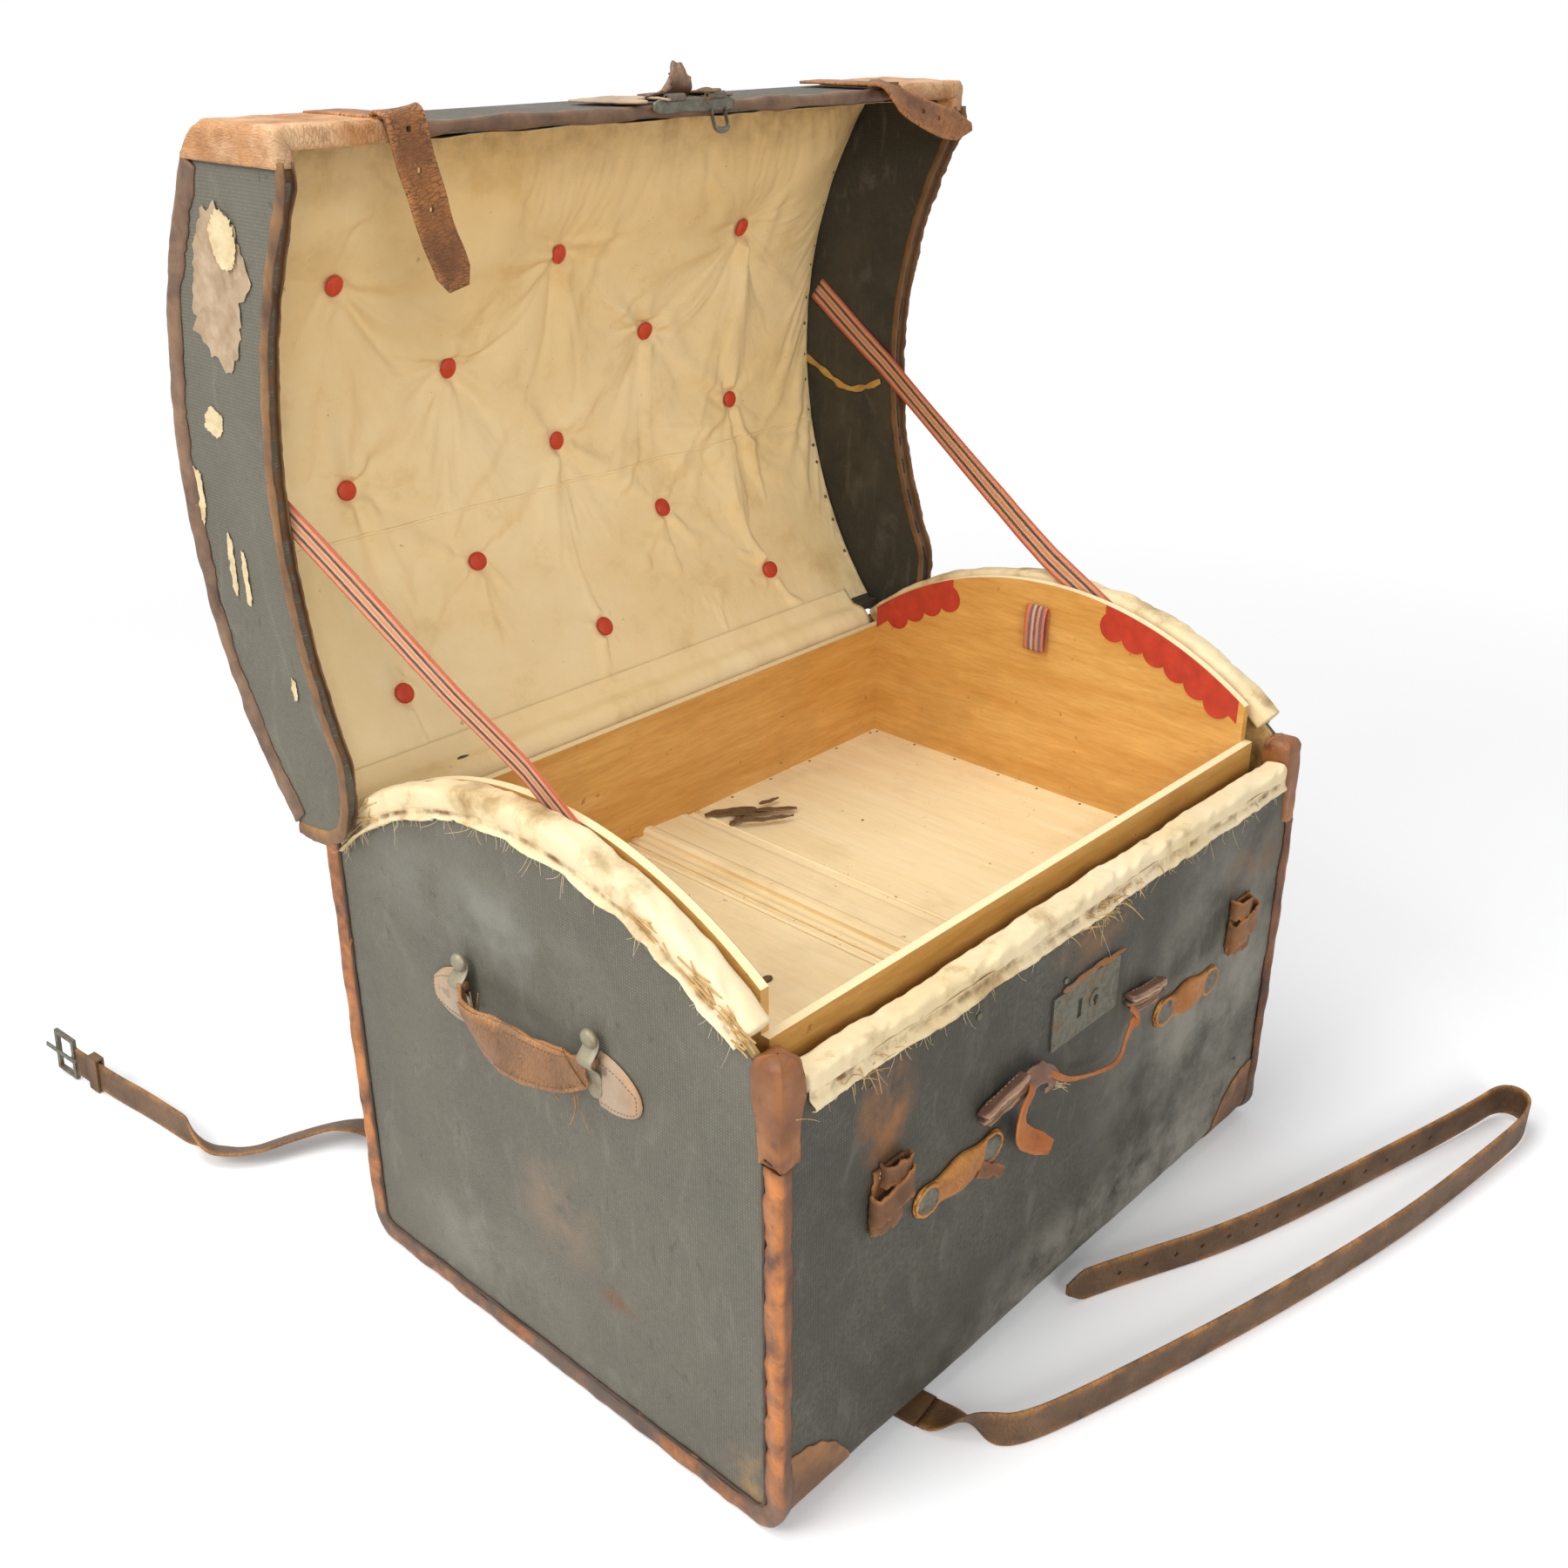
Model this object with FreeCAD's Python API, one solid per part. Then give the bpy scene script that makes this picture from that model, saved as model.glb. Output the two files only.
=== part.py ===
"""Dome top travelling trunk with a lift-out tray, drawn with its lid open.

Millimetres, +Z up, +Y towards the hinges, +X to the right of someone facing the lock.
The origin is on the floor, under the middle of the trunk's body.
The lid is drawn closed and then turned back about the hinge pins, so that it still shuts.
"""
import FreeCAD, Part
import math
import os

from FreeCAD import Vector

os.makedirs("parts", exist_ok=True)

# ---------------------------------------------------------------- driving dimensions
# body of the trunk
BODY_LENGTH = 720.0
BODY_DEPTH = 520.0
HINGE_HEIGHT = 436.0
FRONT_WALL_DROP = 12.0
BACK_WALL_DROP = 6.0
BOTTOM_RADIUS = 28.0
CANVAS = 1.5
WICKER = 9.0
CLOTH = 1.5
SEAT_GAP = 0.2

# arched ends and their padded rims
RIM_PEAK_RISE = 100.0
RIM_CORNER_RISE = 4.0
RIM_SPAN_INSET = 6.0
RIM_HEIGHT = 22.0
RIM_WIDTH = 24.0
RIM_OVERHANG = 2.0
RIM_ROUND = 8.0
RIM_BACK_INSET = 13.0
FRONT_RIM_HEIGHT = 16.0
FRONT_RIM_LIP = 16.0

# runners, leather on the body
RUNNER_HEIGHT = 4.0
RUNNER_WIDTH = 30.0
RUNNER_INSET = 7.0
RUNNER_SPACING = 300.0
BINDING_THICK = 2.5
BINDING_WIDTH = 16.0
CAP_THICK = 1.5
CAP_DROP = 74.0
CAP_RISE = 17.0
CAP_LENGTH = 26.0
CAP_DEPTH = 28.0
PATCH_THICK = 1.2
PATCH_LENGTH = 70.0
PATCH_HEIGHT = 80.0

# lid
LID_OPEN_ANGLE = 90.0
HINGE_OFFSET = 4.0
LID_OVERHANG = 22.0
LID_RISE = 116.0
LID_BACK_RISE = 14.0
LID_FRONT_RISE = 26.0
LID_WALL = 7.0
LID_SKIRT_WALL = 9.0
LID_BACK_WALL = 8.0
LID_SKIRT_DROP = 78.0
LID_FRONT_ROUND = 14.0
LID_END_GAP = 6.0
LID_END_WALL = 9.0
LID_SEAT = 0.8
LID_EDGE_PEAK = -12.0
LID_EDGE_SHIFT = 2.0
LID_EDGE_RADIUS = 452.0
LID_EDGE_INSET = 36.0
LID_LOBE_START = 75.0
LID_LOBE_CORNER = -18.0
LID_BINDING_WIDTH = 12.0
LID_BINDING_INNER = 14.0
LID_PATCH_THICK = 2.8
LID_PATCH_LENGTH = 44.0
LID_PATCH_WRAP = 40.0

# quilting buttons of the lid lining
BUTTON_RADIUS = 9.5
BUTTON_THICK = 4.0
BUTTON_PITCH_LENGTH = 238.0
BUTTON_PITCH_ARC = 88.0
BUTTON_FIRST_ROW = 62.0
BUTTON_ROWS = 5

# hinges
HINGE_SPACING = 220.0
HINGE_WIDTH = 34.0
HINGE_LEAF = 2.0
HINGE_LEAF_LENGTH = 56.0
KNUCKLE_RADIUS = 4.2
PIN_RADIUS = 2.0
PIN_CLEARANCE = 0.05
KNUCKLE_GAP = 0.4
KNUCKLE_RELIEF = 0.9

# tray
TRAY_SIDE_GAP = 28.0
TRAY_FRONT_GAP = 36.0
TRAY_BACK_GAP = 24.0
TRAY_BOARD = 8.0
TRAY_DROP = 135.7
TRAY_RISE = 4.0
TRAY_ARCH_DROP = 5.0
CLEAT_HEIGHT = 14.0
CLEAT_LENGTH = 400.0
CLEAT_WIDTH = 18.0
TRAY_SEAT_GAP = 0.3
BATTEN_LEFT = -33.0
BATTEN_WIDTH = 60.0
BATTEN_HEIGHT = 8.0
BATTEN_BEAD = 3.0
TRIM_THICK = 0.8
SCALLOP_RADIUS = 15.0
SCALLOP_DROP = 4.0
TRIM_BACK_SPAN = (19.5, 37.0)
TRIM_FRONT_SPAN = (-33.5, -9.0)
TRAY_LOOP_Y = 17.0
TRAY_LOOP_WIDTH = 24.0
TRAY_LOOP_RISE = 72.0
TRAY_LOOP_LENGTH = 48.0
TRAY_LOOP_GAP = 6.0
WEBBING = 1.4

# fittings on the front wall
LOCK_X = 12.0
LOCK_Z = 308.0
LOCK_LENGTH = 98.0
LOCK_HEIGHT = 52.0
LOCK_PLATE = 2.0
LOCK_CASE_LENGTH = 56.0
LOCK_CASE_HEIGHT = 36.0
LOCK_CASE_DEPTH = 8.0
LOCK_SLOT_X = -10.0
LOCK_SLOT_WIDTH = 6.0
LOCK_SLOT_HEIGHT = 18.0
LOCK_KEY_X = 12.0
LOCK_KEY_RADIUS = 3.5
LOCK_BOSS_RADIUS = 8.0
LOCK_BOSS_THICK = 1.2
LID_STRAP_X = (-246.0, 270.0)
STRAP_LOOP_X = (-242.0, 274.0)
LEATHER = 2.5
LOOP_BOTTOM = 215.0
LOOP_TOP = 315.0
LOOP_WIDTH = 46.0
LOOP_BAND_LOW = 262.0
LOOP_BAND_HEIGHT = 36.0
LOOP_BAND_GAP = 9.0
LOOP_TONGUE_TOP = 254.0
CHAPE_X = (-156.0, 188.0)
CHAPE_Z = 231.0
CHAPE_LENGTH = 112.0
CHAPE_HEIGHT = 38.0
CHAPE_THICK = 4.0
CHAPE_CAP_SPACING = 74.0
CHAPE_CAP_LENGTH = 27.0
CHAPE_CAP_HEIGHT = 24.0
CHAPE_CAP_THICK = 3.0

# remains of the broken front handle, in the plane of the front wall (x, z)
STUB_THICK = 4.5
LEFT_STUB = ((-124.0, 229.0), (-48.0, 268.0))
LEFT_STUB_HEIGHT = 21.0
TONGUE = ((-80.0, 250.0), (-56.0, 192.0))
TONGUE_WIDTH = 24.0
RIGHT_STUB = ((84.0, 270.0), (150.0, 246.0))
RIGHT_STUB_HEIGHT = 22.0
STRAND = ((-52.0, 263.0), (-12.0, 243.0), (34.0, 226.0), (76.0, 222.0), (94.0, 240.0), (98.0, 262.0))
STRAND_WIDTH = 6.0
STRAND_THICK = 3.0

# carrying handle on each end
HANDLE_Z = 360.0
HANDLE_HALF = 77.0
TAB_LENGTH = 70.0
TAB_HEIGHT = 40.0
TAB_THICK = 4.0
TAB_INNER = 66.0
TAB_DROP = 16.0
EYE_RADIUS = 5.0
EYE_LENGTH = 16.0
EYE_CLEARANCE = 0.4
SADDLE_THICK = 1.8
SADDLE_WIDTH = 9.0
SADDLE_FOOT = 16.0
GRIP_THICK = 6.0
GRIP_BULGE = 18.0
GRIP_SAG = 18.0
GRIP_HEIGHT = 40.0
GRIP_TOP = 3.0

# webbing stays between the body's ends and the lid's ends
STAY_WIDTH = 25.0
STAY_START = -78.0
STAY_RISE = 61.0
STAY_BENDS = (110.0, 400.0)
STAY_LENGTH = 516.0
STAY_SLOPE = 32.5
STAY_CLEARANCE = 0.3

# hasp and lid straps, which hang from the lid's front edge
EDGE_PIVOT_OUT = 6.0
EDGE_PIVOT_DROP = 86.0
HASP_X = 12.0
HASP_WIDTH = 66.0
HASP_LENGTH = 50.0
HASP_THICK = 2.5
HASP_EYE = 3.2
HASP_PIN = 1.6
HASP_TONGUE_WIDTH = 26.0
STAPLE_HEIGHT = 16.0
STAPLE_REACH = 22.0
STAPLE_ROD = 4.0
STAPLE_UP = 12.0
HASP_PLATE_HEIGHT = 40.0
LID_STRAP_WIDTH = 32.0
LID_STRAP_THICK = 3.0
LID_STRAP_LENGTH = 118.0
LID_STRAP_TAPER = 34.0
LID_STRAP_TIP = 16.0
LID_STRAP_EYE = 2.0
RIGHT_STRAP_LEAN = 70.0
RIGHT_STRAP_LENGTH = 124.0
ANCHOR_LENGTH = 118.0
HOLE_RADIUS = 2.2
HOLE_PITCH = 27.0
LID_STRAP_HOLES = 3

# long strap that lies under the trunk: routes on the floor (x, y)
STRAP_WIDTH = 36.0
STRAP_THICK = 3.2
FLOOR_GAP = 0.4
STRAP_FRONT_EXIT = (-187.0, -264.0)
STRAP_BACK_EXIT = (-254.0, 264.0)
STRAP_TWIST_END = (-176.0, -330.0)
STRAP_FRONT_ROUTE = (
    (-176.0, -330.0), (-150.0, -346.0), (-104.0, -362.0), (-30.0, -384.0), (66.0, -411.0),
    (176.0, -438.0), (292.0, -463.0), (398.0, -478.0), (466.0, -487.0), (506.0, -490.0),
    (533.0, -483.0), (541.0, -466.0), (530.0, -451.0), (500.0, -445.0), (440.0, -430.0),
    (344.0, -403.0), (236.0, -374.0), (150.0, -346.0), (82.0, -315.0), (28.0, -291.0), (-4.0, -279.0))
STRAP_BACK_FLAT = (
    (-254.0, 264.0), (-260.0, 312.0), (-270.0, 360.0), (-300.0, 404.0), (-350.0, 428.0), (-380.0, 440.0))
STRAP_BACK_EDGE = ((-411.0, 476.0), (-419.0, 526.0), (-423.0, 576.0), (-430.0, 626.0))
STRAP_END_LENGTH = 74.0
STRAP_END_RISE = 7.0
FRONT_STRAP_HOLES = 14
FRONT_STRAP_HOLE_START = 0.12
BUCKLE_WIDTH = 52.0
BUCKLE_LENGTH = 32.0
BUCKLE_ROD = 4.4
PRONG_LENGTH = 44.0
PRONG_EYE = 4.4
PRONG_WIDTH = 5.0
KEEPER_WIDTH = 15.0
KEEPER_GAP = 1.0
FOLD_LENGTH = 24.0

# ---------------------------------------------------------------- derived sizes
HALF_LENGTH = BODY_LENGTH / 2
HALF_DEPTH = BODY_DEPTH / 2
FRONT = -HALF_DEPTH
CORE = CANVAS + WICKER
INNER_LENGTH = HALF_LENGTH - CORE - CLOTH
INNER_DEPTH = HALF_DEPTH - CORE - CLOTH
RIM_HALF_SPAN = HALF_DEPTH - RIM_SPAN_INSET
RIM_BACK_END = HALF_DEPTH - RIM_BACK_INSET
RIM_SAGITTA = RIM_PEAK_RISE - RIM_CORNER_RISE
RIM_RADIUS = (RIM_HALF_SPAN ** 2 + RIM_SAGITTA ** 2) / (2 * RIM_SAGITTA)
RIM_CENTRE_Z = HINGE_HEIGHT + RIM_PEAK_RISE - RIM_RADIUS
WALL_ARCH = RIM_RADIUS - RIM_HEIGHT
HINGE_Y = HALF_DEPTH + HINGE_OFFSET
LID_INNER_HALF = HALF_LENGTH + LID_END_GAP
LID_OUTER_HALF = LID_INNER_HALF + LID_END_WALL
HINGE_XS = (-HINGE_SPACING, 0.0, HINGE_SPACING)
TRAY_HALF = HALF_LENGTH - TRAY_SIDE_GAP
TRAY_FRONT = -HALF_DEPTH + TRAY_FRONT_GAP
TRAY_BACK = HALF_DEPTH - TRAY_BACK_GAP
LID_DEPTH = BODY_DEPTH + HINGE_OFFSET + LID_OVERHANG
HIGH = HINGE_HEIGHT + LID_DEPTH
FRONT_WALL_TOP = HINGE_HEIGHT - FRONT_WALL_DROP
BACK_WALL_TOP = HINGE_HEIGHT - BACK_WALL_DROP
CAP_BOTTOM = FRONT_WALL_TOP - CAP_DROP
CAP_TOP = FRONT_WALL_TOP + CAP_RISE
LID_EDGE_CENTRE = LID_DEPTH / 2 + LID_EDGE_SHIFT
LID_EDGE_FRONT = LID_DEPTH - LID_EDGE_INSET
LID_PATCH_START = LID_DEPTH - LID_PATCH_LENGTH
TRAY_BOTTOM = HINGE_HEIGHT - TRAY_DROP
TRAY_FRONT_TOP = FRONT_WALL_TOP + TRAY_RISE
TRAY_BACK_TOP = BACK_WALL_TOP + TRAY_RISE
TRAY_LOOP_TOP = HINGE_HEIGHT + TRAY_LOOP_RISE
STAY_LOW = (STAY_START, HINGE_HEIGHT + STAY_RISE)


def arch_through(back_rise, front_rise, span, peak):
    """Circle through (0, back_rise) and (span, front_rise) whose top is at peak: centre s, t, radius."""
    low, high = span / 2, 20 * span
    for _ in range(60):
        radius = (low + high) / 2
        left = math.sqrt(max(2 * radius * (peak - back_rise) - (peak - back_rise) ** 2, 0))
        right = math.sqrt(max(2 * radius * (peak - front_rise) - (peak - front_rise) ** 2, 0))
        if left + right < span:
            low = radius
        else:
            high = radius
    return left, peak - radius, radius


LID_CENTRE_S, LID_CENTRE_T, LID_RADIUS = arch_through(LID_BACK_RISE, LID_FRONT_RISE, LID_DEPTH, LID_RISE)


# ---------------------------------------------------------------- small helpers
def box(x0, x1, y0, y1, z0, z1):
    """Box between two corners."""
    return Part.makeBox(x1 - x0, y1 - y0, z1 - z0, Vector(x0, y0, z0))


def line(a, b):
    return Part.LineSegment(a, b).toShape()


def arc(a, middle, b):
    return Part.Arc(a, middle, b).toShape()


def face(edges):
    """Flat face inside a closed loop of edges."""
    return Part.Face(Part.Wire(Part.__sortEdges__(edges)))


def polygon(points):
    return Part.Face(Part.makePolygon(list(points) + [points[0]]))


def along_x(flat, x0, x1):
    """Extrude a face drawn in the YZ plane from x0 to x1."""
    solid = flat.extrude(Vector(x1 - x0, 0, 0))
    solid.translate(Vector(x0, 0, 0))
    return solid


def mirrored(shape):
    return shape.mirror(Vector(0, 0, 0), Vector(1, 0, 0))


def open_lid(shape):
    """Turn a piece drawn on the closed lid back to where the stays hold it."""
    turned = shape.copy()
    turned.rotate(Vector(0, HINGE_Y, HINGE_HEIGHT), Vector(-1, 0, 0), LID_OPEN_ANGLE)
    return turned


def lid_point(s, t, x=0.0):
    """Point of the closed lid: s forward from the hinge pins, t above them."""
    return Vector(x, HINGE_Y - s, HINGE_HEIGHT + t)


def lid_box(x0, x1, s0, s1, t0, t1):
    return box(x0, x1, HINGE_Y - s1, HINGE_Y - s0, HINGE_HEIGHT + t0, HINGE_HEIGHT + t1)


def save(name, shape):
    """Write one node, and say how many solids and what volume it has."""
    if isinstance(shape, (list, tuple)):
        shape = Part.makeCompound([solid for piece in shape for solid in piece.Solids])
    else:
        shape = Part.makeCompound(shape.Solids)
    if not shape.isValid():
        print("invalid", name)
    shape.exportStep("parts/" + name + ".step")
    print("%-24s %2d solids %12.0f mm3" % (name, len(shape.Solids), shape.Volume))


# ---------------------------------------------------------------- outline of the body's ends
def tub_edges(inset, front_top, back_top):
    """Front, bottom and back of the body seen from its end, with rounded bottom corners."""
    front, back = FRONT + inset, HALF_DEPTH - inset
    bottom = RUNNER_HEIGHT + inset
    r = max(BOTTOM_RADIUS - inset, 2.0)
    k = r * (1 - math.sqrt(0.5))
    return [
        line(Vector(0, front, front_top), Vector(0, front, bottom + r)),
        arc(Vector(0, front, bottom + r), Vector(0, front + k, bottom + k), Vector(0, front + r, bottom)),
        line(Vector(0, front + r, bottom), Vector(0, back - r, bottom)),
        arc(Vector(0, back - r, bottom), Vector(0, back - k, bottom + k), Vector(0, back, bottom + r)),
        line(Vector(0, back, bottom + r), Vector(0, back, back_top)),
    ]


def tub(inset, front_top, back_top):
    """Tub outline closed by a level top with a step in the middle."""
    top = [line(Vector(0, HALF_DEPTH - inset, back_top), Vector(0, 0, back_top)),
           line(Vector(0, 0, front_top), Vector(0, FRONT + inset, front_top))]
    if back_top > front_top:
        top.append(line(Vector(0, 0, back_top), Vector(0, 0, front_top)))
    return face(tub_edges(inset, front_top, back_top) + top)


def arch_y(z):
    """Half the width of the end wall's arch at height z."""
    return math.sqrt(WALL_ARCH ** 2 - (z - RIM_CENTRE_Z) ** 2)


def arched_end(inset):
    """Tub outline closed by the arch of the end walls."""
    front_y, back_y = -arch_y(FRONT_WALL_TOP), arch_y(BACK_WALL_TOP)
    top = [
        line(Vector(0, HALF_DEPTH - inset, BACK_WALL_TOP), Vector(0, back_y, BACK_WALL_TOP)),
        arc(Vector(0, back_y, BACK_WALL_TOP), Vector(0, 0, RIM_CENTRE_Z + WALL_ARCH),
            Vector(0, front_y, FRONT_WALL_TOP)),
        line(Vector(0, front_y, FRONT_WALL_TOP), Vector(0, FRONT + inset, FRONT_WALL_TOP)),
    ]
    return face(tub_edges(inset, FRONT_WALL_TOP, BACK_WALL_TOP) + top)


# ---------------------------------------------------------------- body walls, canvas and lining
def lock_recess():
    """Room for the lock's case behind its plate."""
    return box(LOCK_X - LOCK_CASE_LENGTH / 2, LOCK_X + LOCK_CASE_LENGTH / 2, FRONT, FRONT + LOCK_CASE_DEPTH,
               LOCK_Z - LOCK_CASE_HEIGHT / 2, LOCK_Z + LOCK_CASE_HEIGHT / 2)


def body_walls():
    """Wicker front, floor and back bent round the ends, and the two arched ends between them."""
    half = HALF_LENGTH - CANVAS
    shell = along_x(tub(CANVAS, FRONT_WALL_TOP, BACK_WALL_TOP), -half, half)
    shell = shell.cut(along_x(tub(CORE, HIGH, HIGH), -half, half))
    bend = HALF_DEPTH - BOTTOM_RADIUS
    save("front_panel", shell.common(box(-half, half, FRONT, -bend, 0, HIGH)).cut(lock_recess()))
    save("floor_panel", shell.common(box(-half, half, -bend, bend, 0, HIGH)))
    save("back_panel", shell.common(box(-half, half, bend, HALF_DEPTH, 0, HIGH)))
    end = along_x(arched_end(CORE), HALF_LENGTH - CORE, half)
    save("end_panel_right", end)
    save("end_panel_left", mirrored(end))


def body_canvas():
    """Canvas in one sheet down the front, under the floor and up the back, and a piece on each end."""
    wrap = along_x(tub(0.0, FRONT_WALL_TOP, BACK_WALL_TOP), -HALF_LENGTH, HALF_LENGTH)
    wrap = wrap.cut(along_x(tub(CANVAS, HIGH, HIGH), -HALF_LENGTH, HALF_LENGTH))
    save("canvas_wrap", wrap.cut(lock_recess()))
    end = along_x(arched_end(CANVAS), HALF_LENGTH - CANVAS, HALF_LENGTH)
    save("canvas_end_right", end)
    save("canvas_end_left", mirrored(end))


def body_lining():
    """Cloth lining of the inside."""
    half = HALF_LENGTH - CORE
    lining = along_x(arched_end(CORE), -half, half)
    save("body_lining", lining.cut(along_x(tub(CORE + CLOTH, HIGH, HIGH), -half + CLOTH, half - CLOTH)))


def rims():
    """Padded rolls on top of the two arched ends and the front wall."""
    outer, inner = HALF_LENGTH + RIM_OVERHANG, HALF_LENGTH + RIM_OVERHANG - RIM_WIDTH
    centre = Vector(inner, 0, RIM_CENTRE_Z)
    ring = Part.makeCylinder(RIM_RADIUS, RIM_WIDTH, centre, Vector(1, 0, 0))
    ring = ring.makeChamfer(RIM_ROUND * 0.6, [e for e in ring.Edges if isinstance(e.Curve, Part.Circle)])
    ring = ring.cut(Part.makeCylinder(WALL_ARCH + SEAT_GAP, RIM_WIDTH, centre, Vector(1, 0, 0)))
    front_end = FRONT + CAP_DEPTH + 2.0
    ring = ring.common(box(inner, outer, front_end, RIM_BACK_END, FRONT_WALL_TOP, HIGH))
    behind = arch_y(BACK_WALL_TOP) - RIM_ROUND
    ring = ring.cut(box(inner, outer, behind, HALF_DEPTH, 0, BACK_WALL_TOP + SEAT_GAP))
    save("rim_right", ring)
    save("rim_left", mirrored(ring))

    length = HALF_LENGTH - CAP_LENGTH - 2.0
    y0, y1 = FRONT - RIM_OVERHANG, FRONT - RIM_OVERHANG + RIM_WIDTH
    top = FRONT_WALL_TOP + FRONT_RIM_HEIGHT
    roll = box(-length, length, y0, y1, FRONT_WALL_TOP, top)
    roll = roll.makeFillet(RIM_ROUND * 0.9, [e for e in roll.Edges if abs(e.Vertexes[0].Z - top) < 1e-6
                                           and abs(e.Vertexes[1].Z - top) < 1e-6 and e.Length > length])
    lip = box(-length, length, y0, FRONT - SEAT_GAP, FRONT_WALL_TOP - FRONT_RIM_LIP, FRONT_WALL_TOP)
    save("rim_front", roll.fuse(lip).removeSplitter())


def body_leather():
    """Leather binding round each end, caps on the top front corners and patches on the bottom corners."""
    inner, outer = HALF_LENGTH - BINDING_WIDTH, HALF_LENGTH + BINDING_THICK
    binding = along_x(tub(-BINDING_THICK, CAP_BOTTOM, BACK_WALL_TOP), inner, outer)
    binding = binding.cut(along_x(tub(0.0, HIGH, HIGH), inner, HALF_LENGTH))
    binding = binding.cut(along_x(tub(BINDING_WIDTH, HIGH, HIGH), HALF_LENGTH, outer))
    save("binding_right", binding)
    save("binding_left", mirrored(binding))

    cap = box(HALF_LENGTH - CAP_LENGTH, HALF_LENGTH + CAP_THICK, FRONT - CAP_THICK, FRONT + CAP_DEPTH,
              CAP_BOTTOM + SEAT_GAP, CAP_TOP)
    upright = [e for e in cap.Edges if abs(e.Vertexes[0].X - e.Vertexes[1].X) < 1e-6
               and abs(e.Vertexes[0].Y - e.Vertexes[1].Y) < 1e-6
               and e.Vertexes[0].X > HALF_LENGTH and e.Vertexes[0].Y < FRONT]
    cap = cap.makeFillet(CAP_THICK, upright)
    cap = cap.cut(along_x(arched_end(0.0), 0.0, HALF_LENGTH))
    save("front_caps", [cap, mirrored(cap)])

    x1 = HALF_LENGTH - BINDING_WIDTH - SEAT_GAP
    skin = along_x(tub(-PATCH_THICK, HIGH, HIGH), x1 - PATCH_LENGTH, x1)
    skin = skin.cut(along_x(tub(0.0, HIGH, HIGH), x1 - PATCH_LENGTH, x1))
    low = RUNNER_HEIGHT - PATCH_THICK
    reach = HALF_DEPTH - BOTTOM_RADIUS
    bow = Vector(x1 - PATCH_LENGTH * 0.36, 0, low + PATCH_HEIGHT * 0.36)
    a, b, c = Vector(x1, 0, low), Vector(x1 - PATCH_LENGTH, 0, low), Vector(x1, 0, low + PATCH_HEIGHT)
    mask = face([line(a, b), arc(b, bow, c), line(c, a)]).extrude(Vector(0, HALF_DEPTH - reach + PATCH_THICK, 0))
    patches = []
    for start in (-HALF_DEPTH - PATCH_THICK, reach):
        placed = mask.copy()
        placed.translate(Vector(0, start, 0))
        patch = skin.common(placed)
        patches += [patch, mirrored(patch)]
    save("corner_patches", patches)


def runners():
    """Three wooden runners under the floor and the cleats that carry the tray."""
    half = HALF_DEPTH - BOTTOM_RADIUS - RUNNER_INSET
    save("runners", [box(x - RUNNER_WIDTH / 2, x + RUNNER_WIDTH / 2, -half, half, 0, RUNNER_HEIGHT)
                     for x in (-RUNNER_SPACING, 0.0, RUNNER_SPACING)])
    top = TRAY_BOTTOM - TRAY_SEAT_GAP
    cleat = box(INNER_LENGTH - CLEAT_WIDTH, INNER_LENGTH, -CLEAT_LENGTH / 2, CLEAT_LENGTH / 2,
                top - CLEAT_HEIGHT, top)
    save("tray_cleats", [cleat, mirrored(cleat)])


# ---------------------------------------------------------------- lid
def lid_arc(radius, s0, s1):
    """Arc about the dome's centre line from s0 to s1."""
    def at(s):
        return lid_point(s, LID_CENTRE_T + math.sqrt(radius ** 2 - (s - LID_CENTRE_S) ** 2))
    return at(s0), arc(at(s0), at((s0 + s1) / 2), at(s1)), at(s1)


def edge_t(s, grow=0.0):
    """Height of the free edge of the lid's ends at s."""
    radius = LID_EDGE_RADIUS - grow
    return LID_EDGE_PEAK - LID_EDGE_RADIUS + math.sqrt(radius ** 2 - (s - LID_EDGE_CENTRE) ** 2)


def lid_end_outline(grow):
    """Crescent of a lid end: dome above, front skirt, concave free edge and rounded back lobe."""
    start, dome, front_top = lid_arc(LID_RADIUS + grow, -grow, LID_DEPTH + grow)
    low = lid_point(LID_DEPTH + grow, -LID_SKIRT_DROP - grow)
    corner = lid_point(LID_EDGE_FRONT, -LID_SKIRT_DROP - grow)
    edge_front = lid_point(LID_EDGE_FRONT, edge_t(LID_EDGE_FRONT, grow))
    middle = (LID_EDGE_FRONT + LID_LOBE_START) / 2
    edge_back = lid_point(LID_LOBE_START, edge_t(LID_LOBE_START, grow))
    lobe = lid_point(-grow, LID_LOBE_CORNER)
    lobe_t = edge_t(LID_LOBE_START)
    lobe_middle = lid_point(LID_LOBE_START * 0.24 - grow * 0.7, lobe_t * 0.86 - grow * 0.7)
    edges = [
        dome,
        line(front_top, low),
        line(low, corner),
        arc(edge_front, lid_point(middle, edge_t(middle, grow)), edge_back),
        arc(edge_back, lobe_middle, lobe),
        line(lobe, start),
    ]
    if corner.sub(edge_front).Length > 1e-6:
        edges.append(line(corner, edge_front))
    return face(edges)


def lid_void(x0, x1):
    """Everything under the dome and inside the skirt, where no leather goes."""
    under = lid_box(x0, x1, -20.0, LID_DEPTH, -HINGE_HEIGHT, LID_SEAT)
    return under.fuse(lid_box(x0, x1, LID_DEPTH - 1.0, LID_DEPTH + 20.0, -HINGE_HEIGHT, -LID_SKIRT_DROP))


def rounded_front(solid):
    """Round the long corner between the dome and the skirt."""
    corner = lid_arc(LID_RADIUS, 0.0, LID_DEPTH)[2]
    edges = [e for e in solid.Edges
             if all(abs(v.Y - corner.y) < 0.01 and abs(v.Z - corner.z) < 0.01 for v in e.Vertexes)]
    return solid.makeFillet(LID_FRONT_ROUND, edges) if edges else solid


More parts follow.
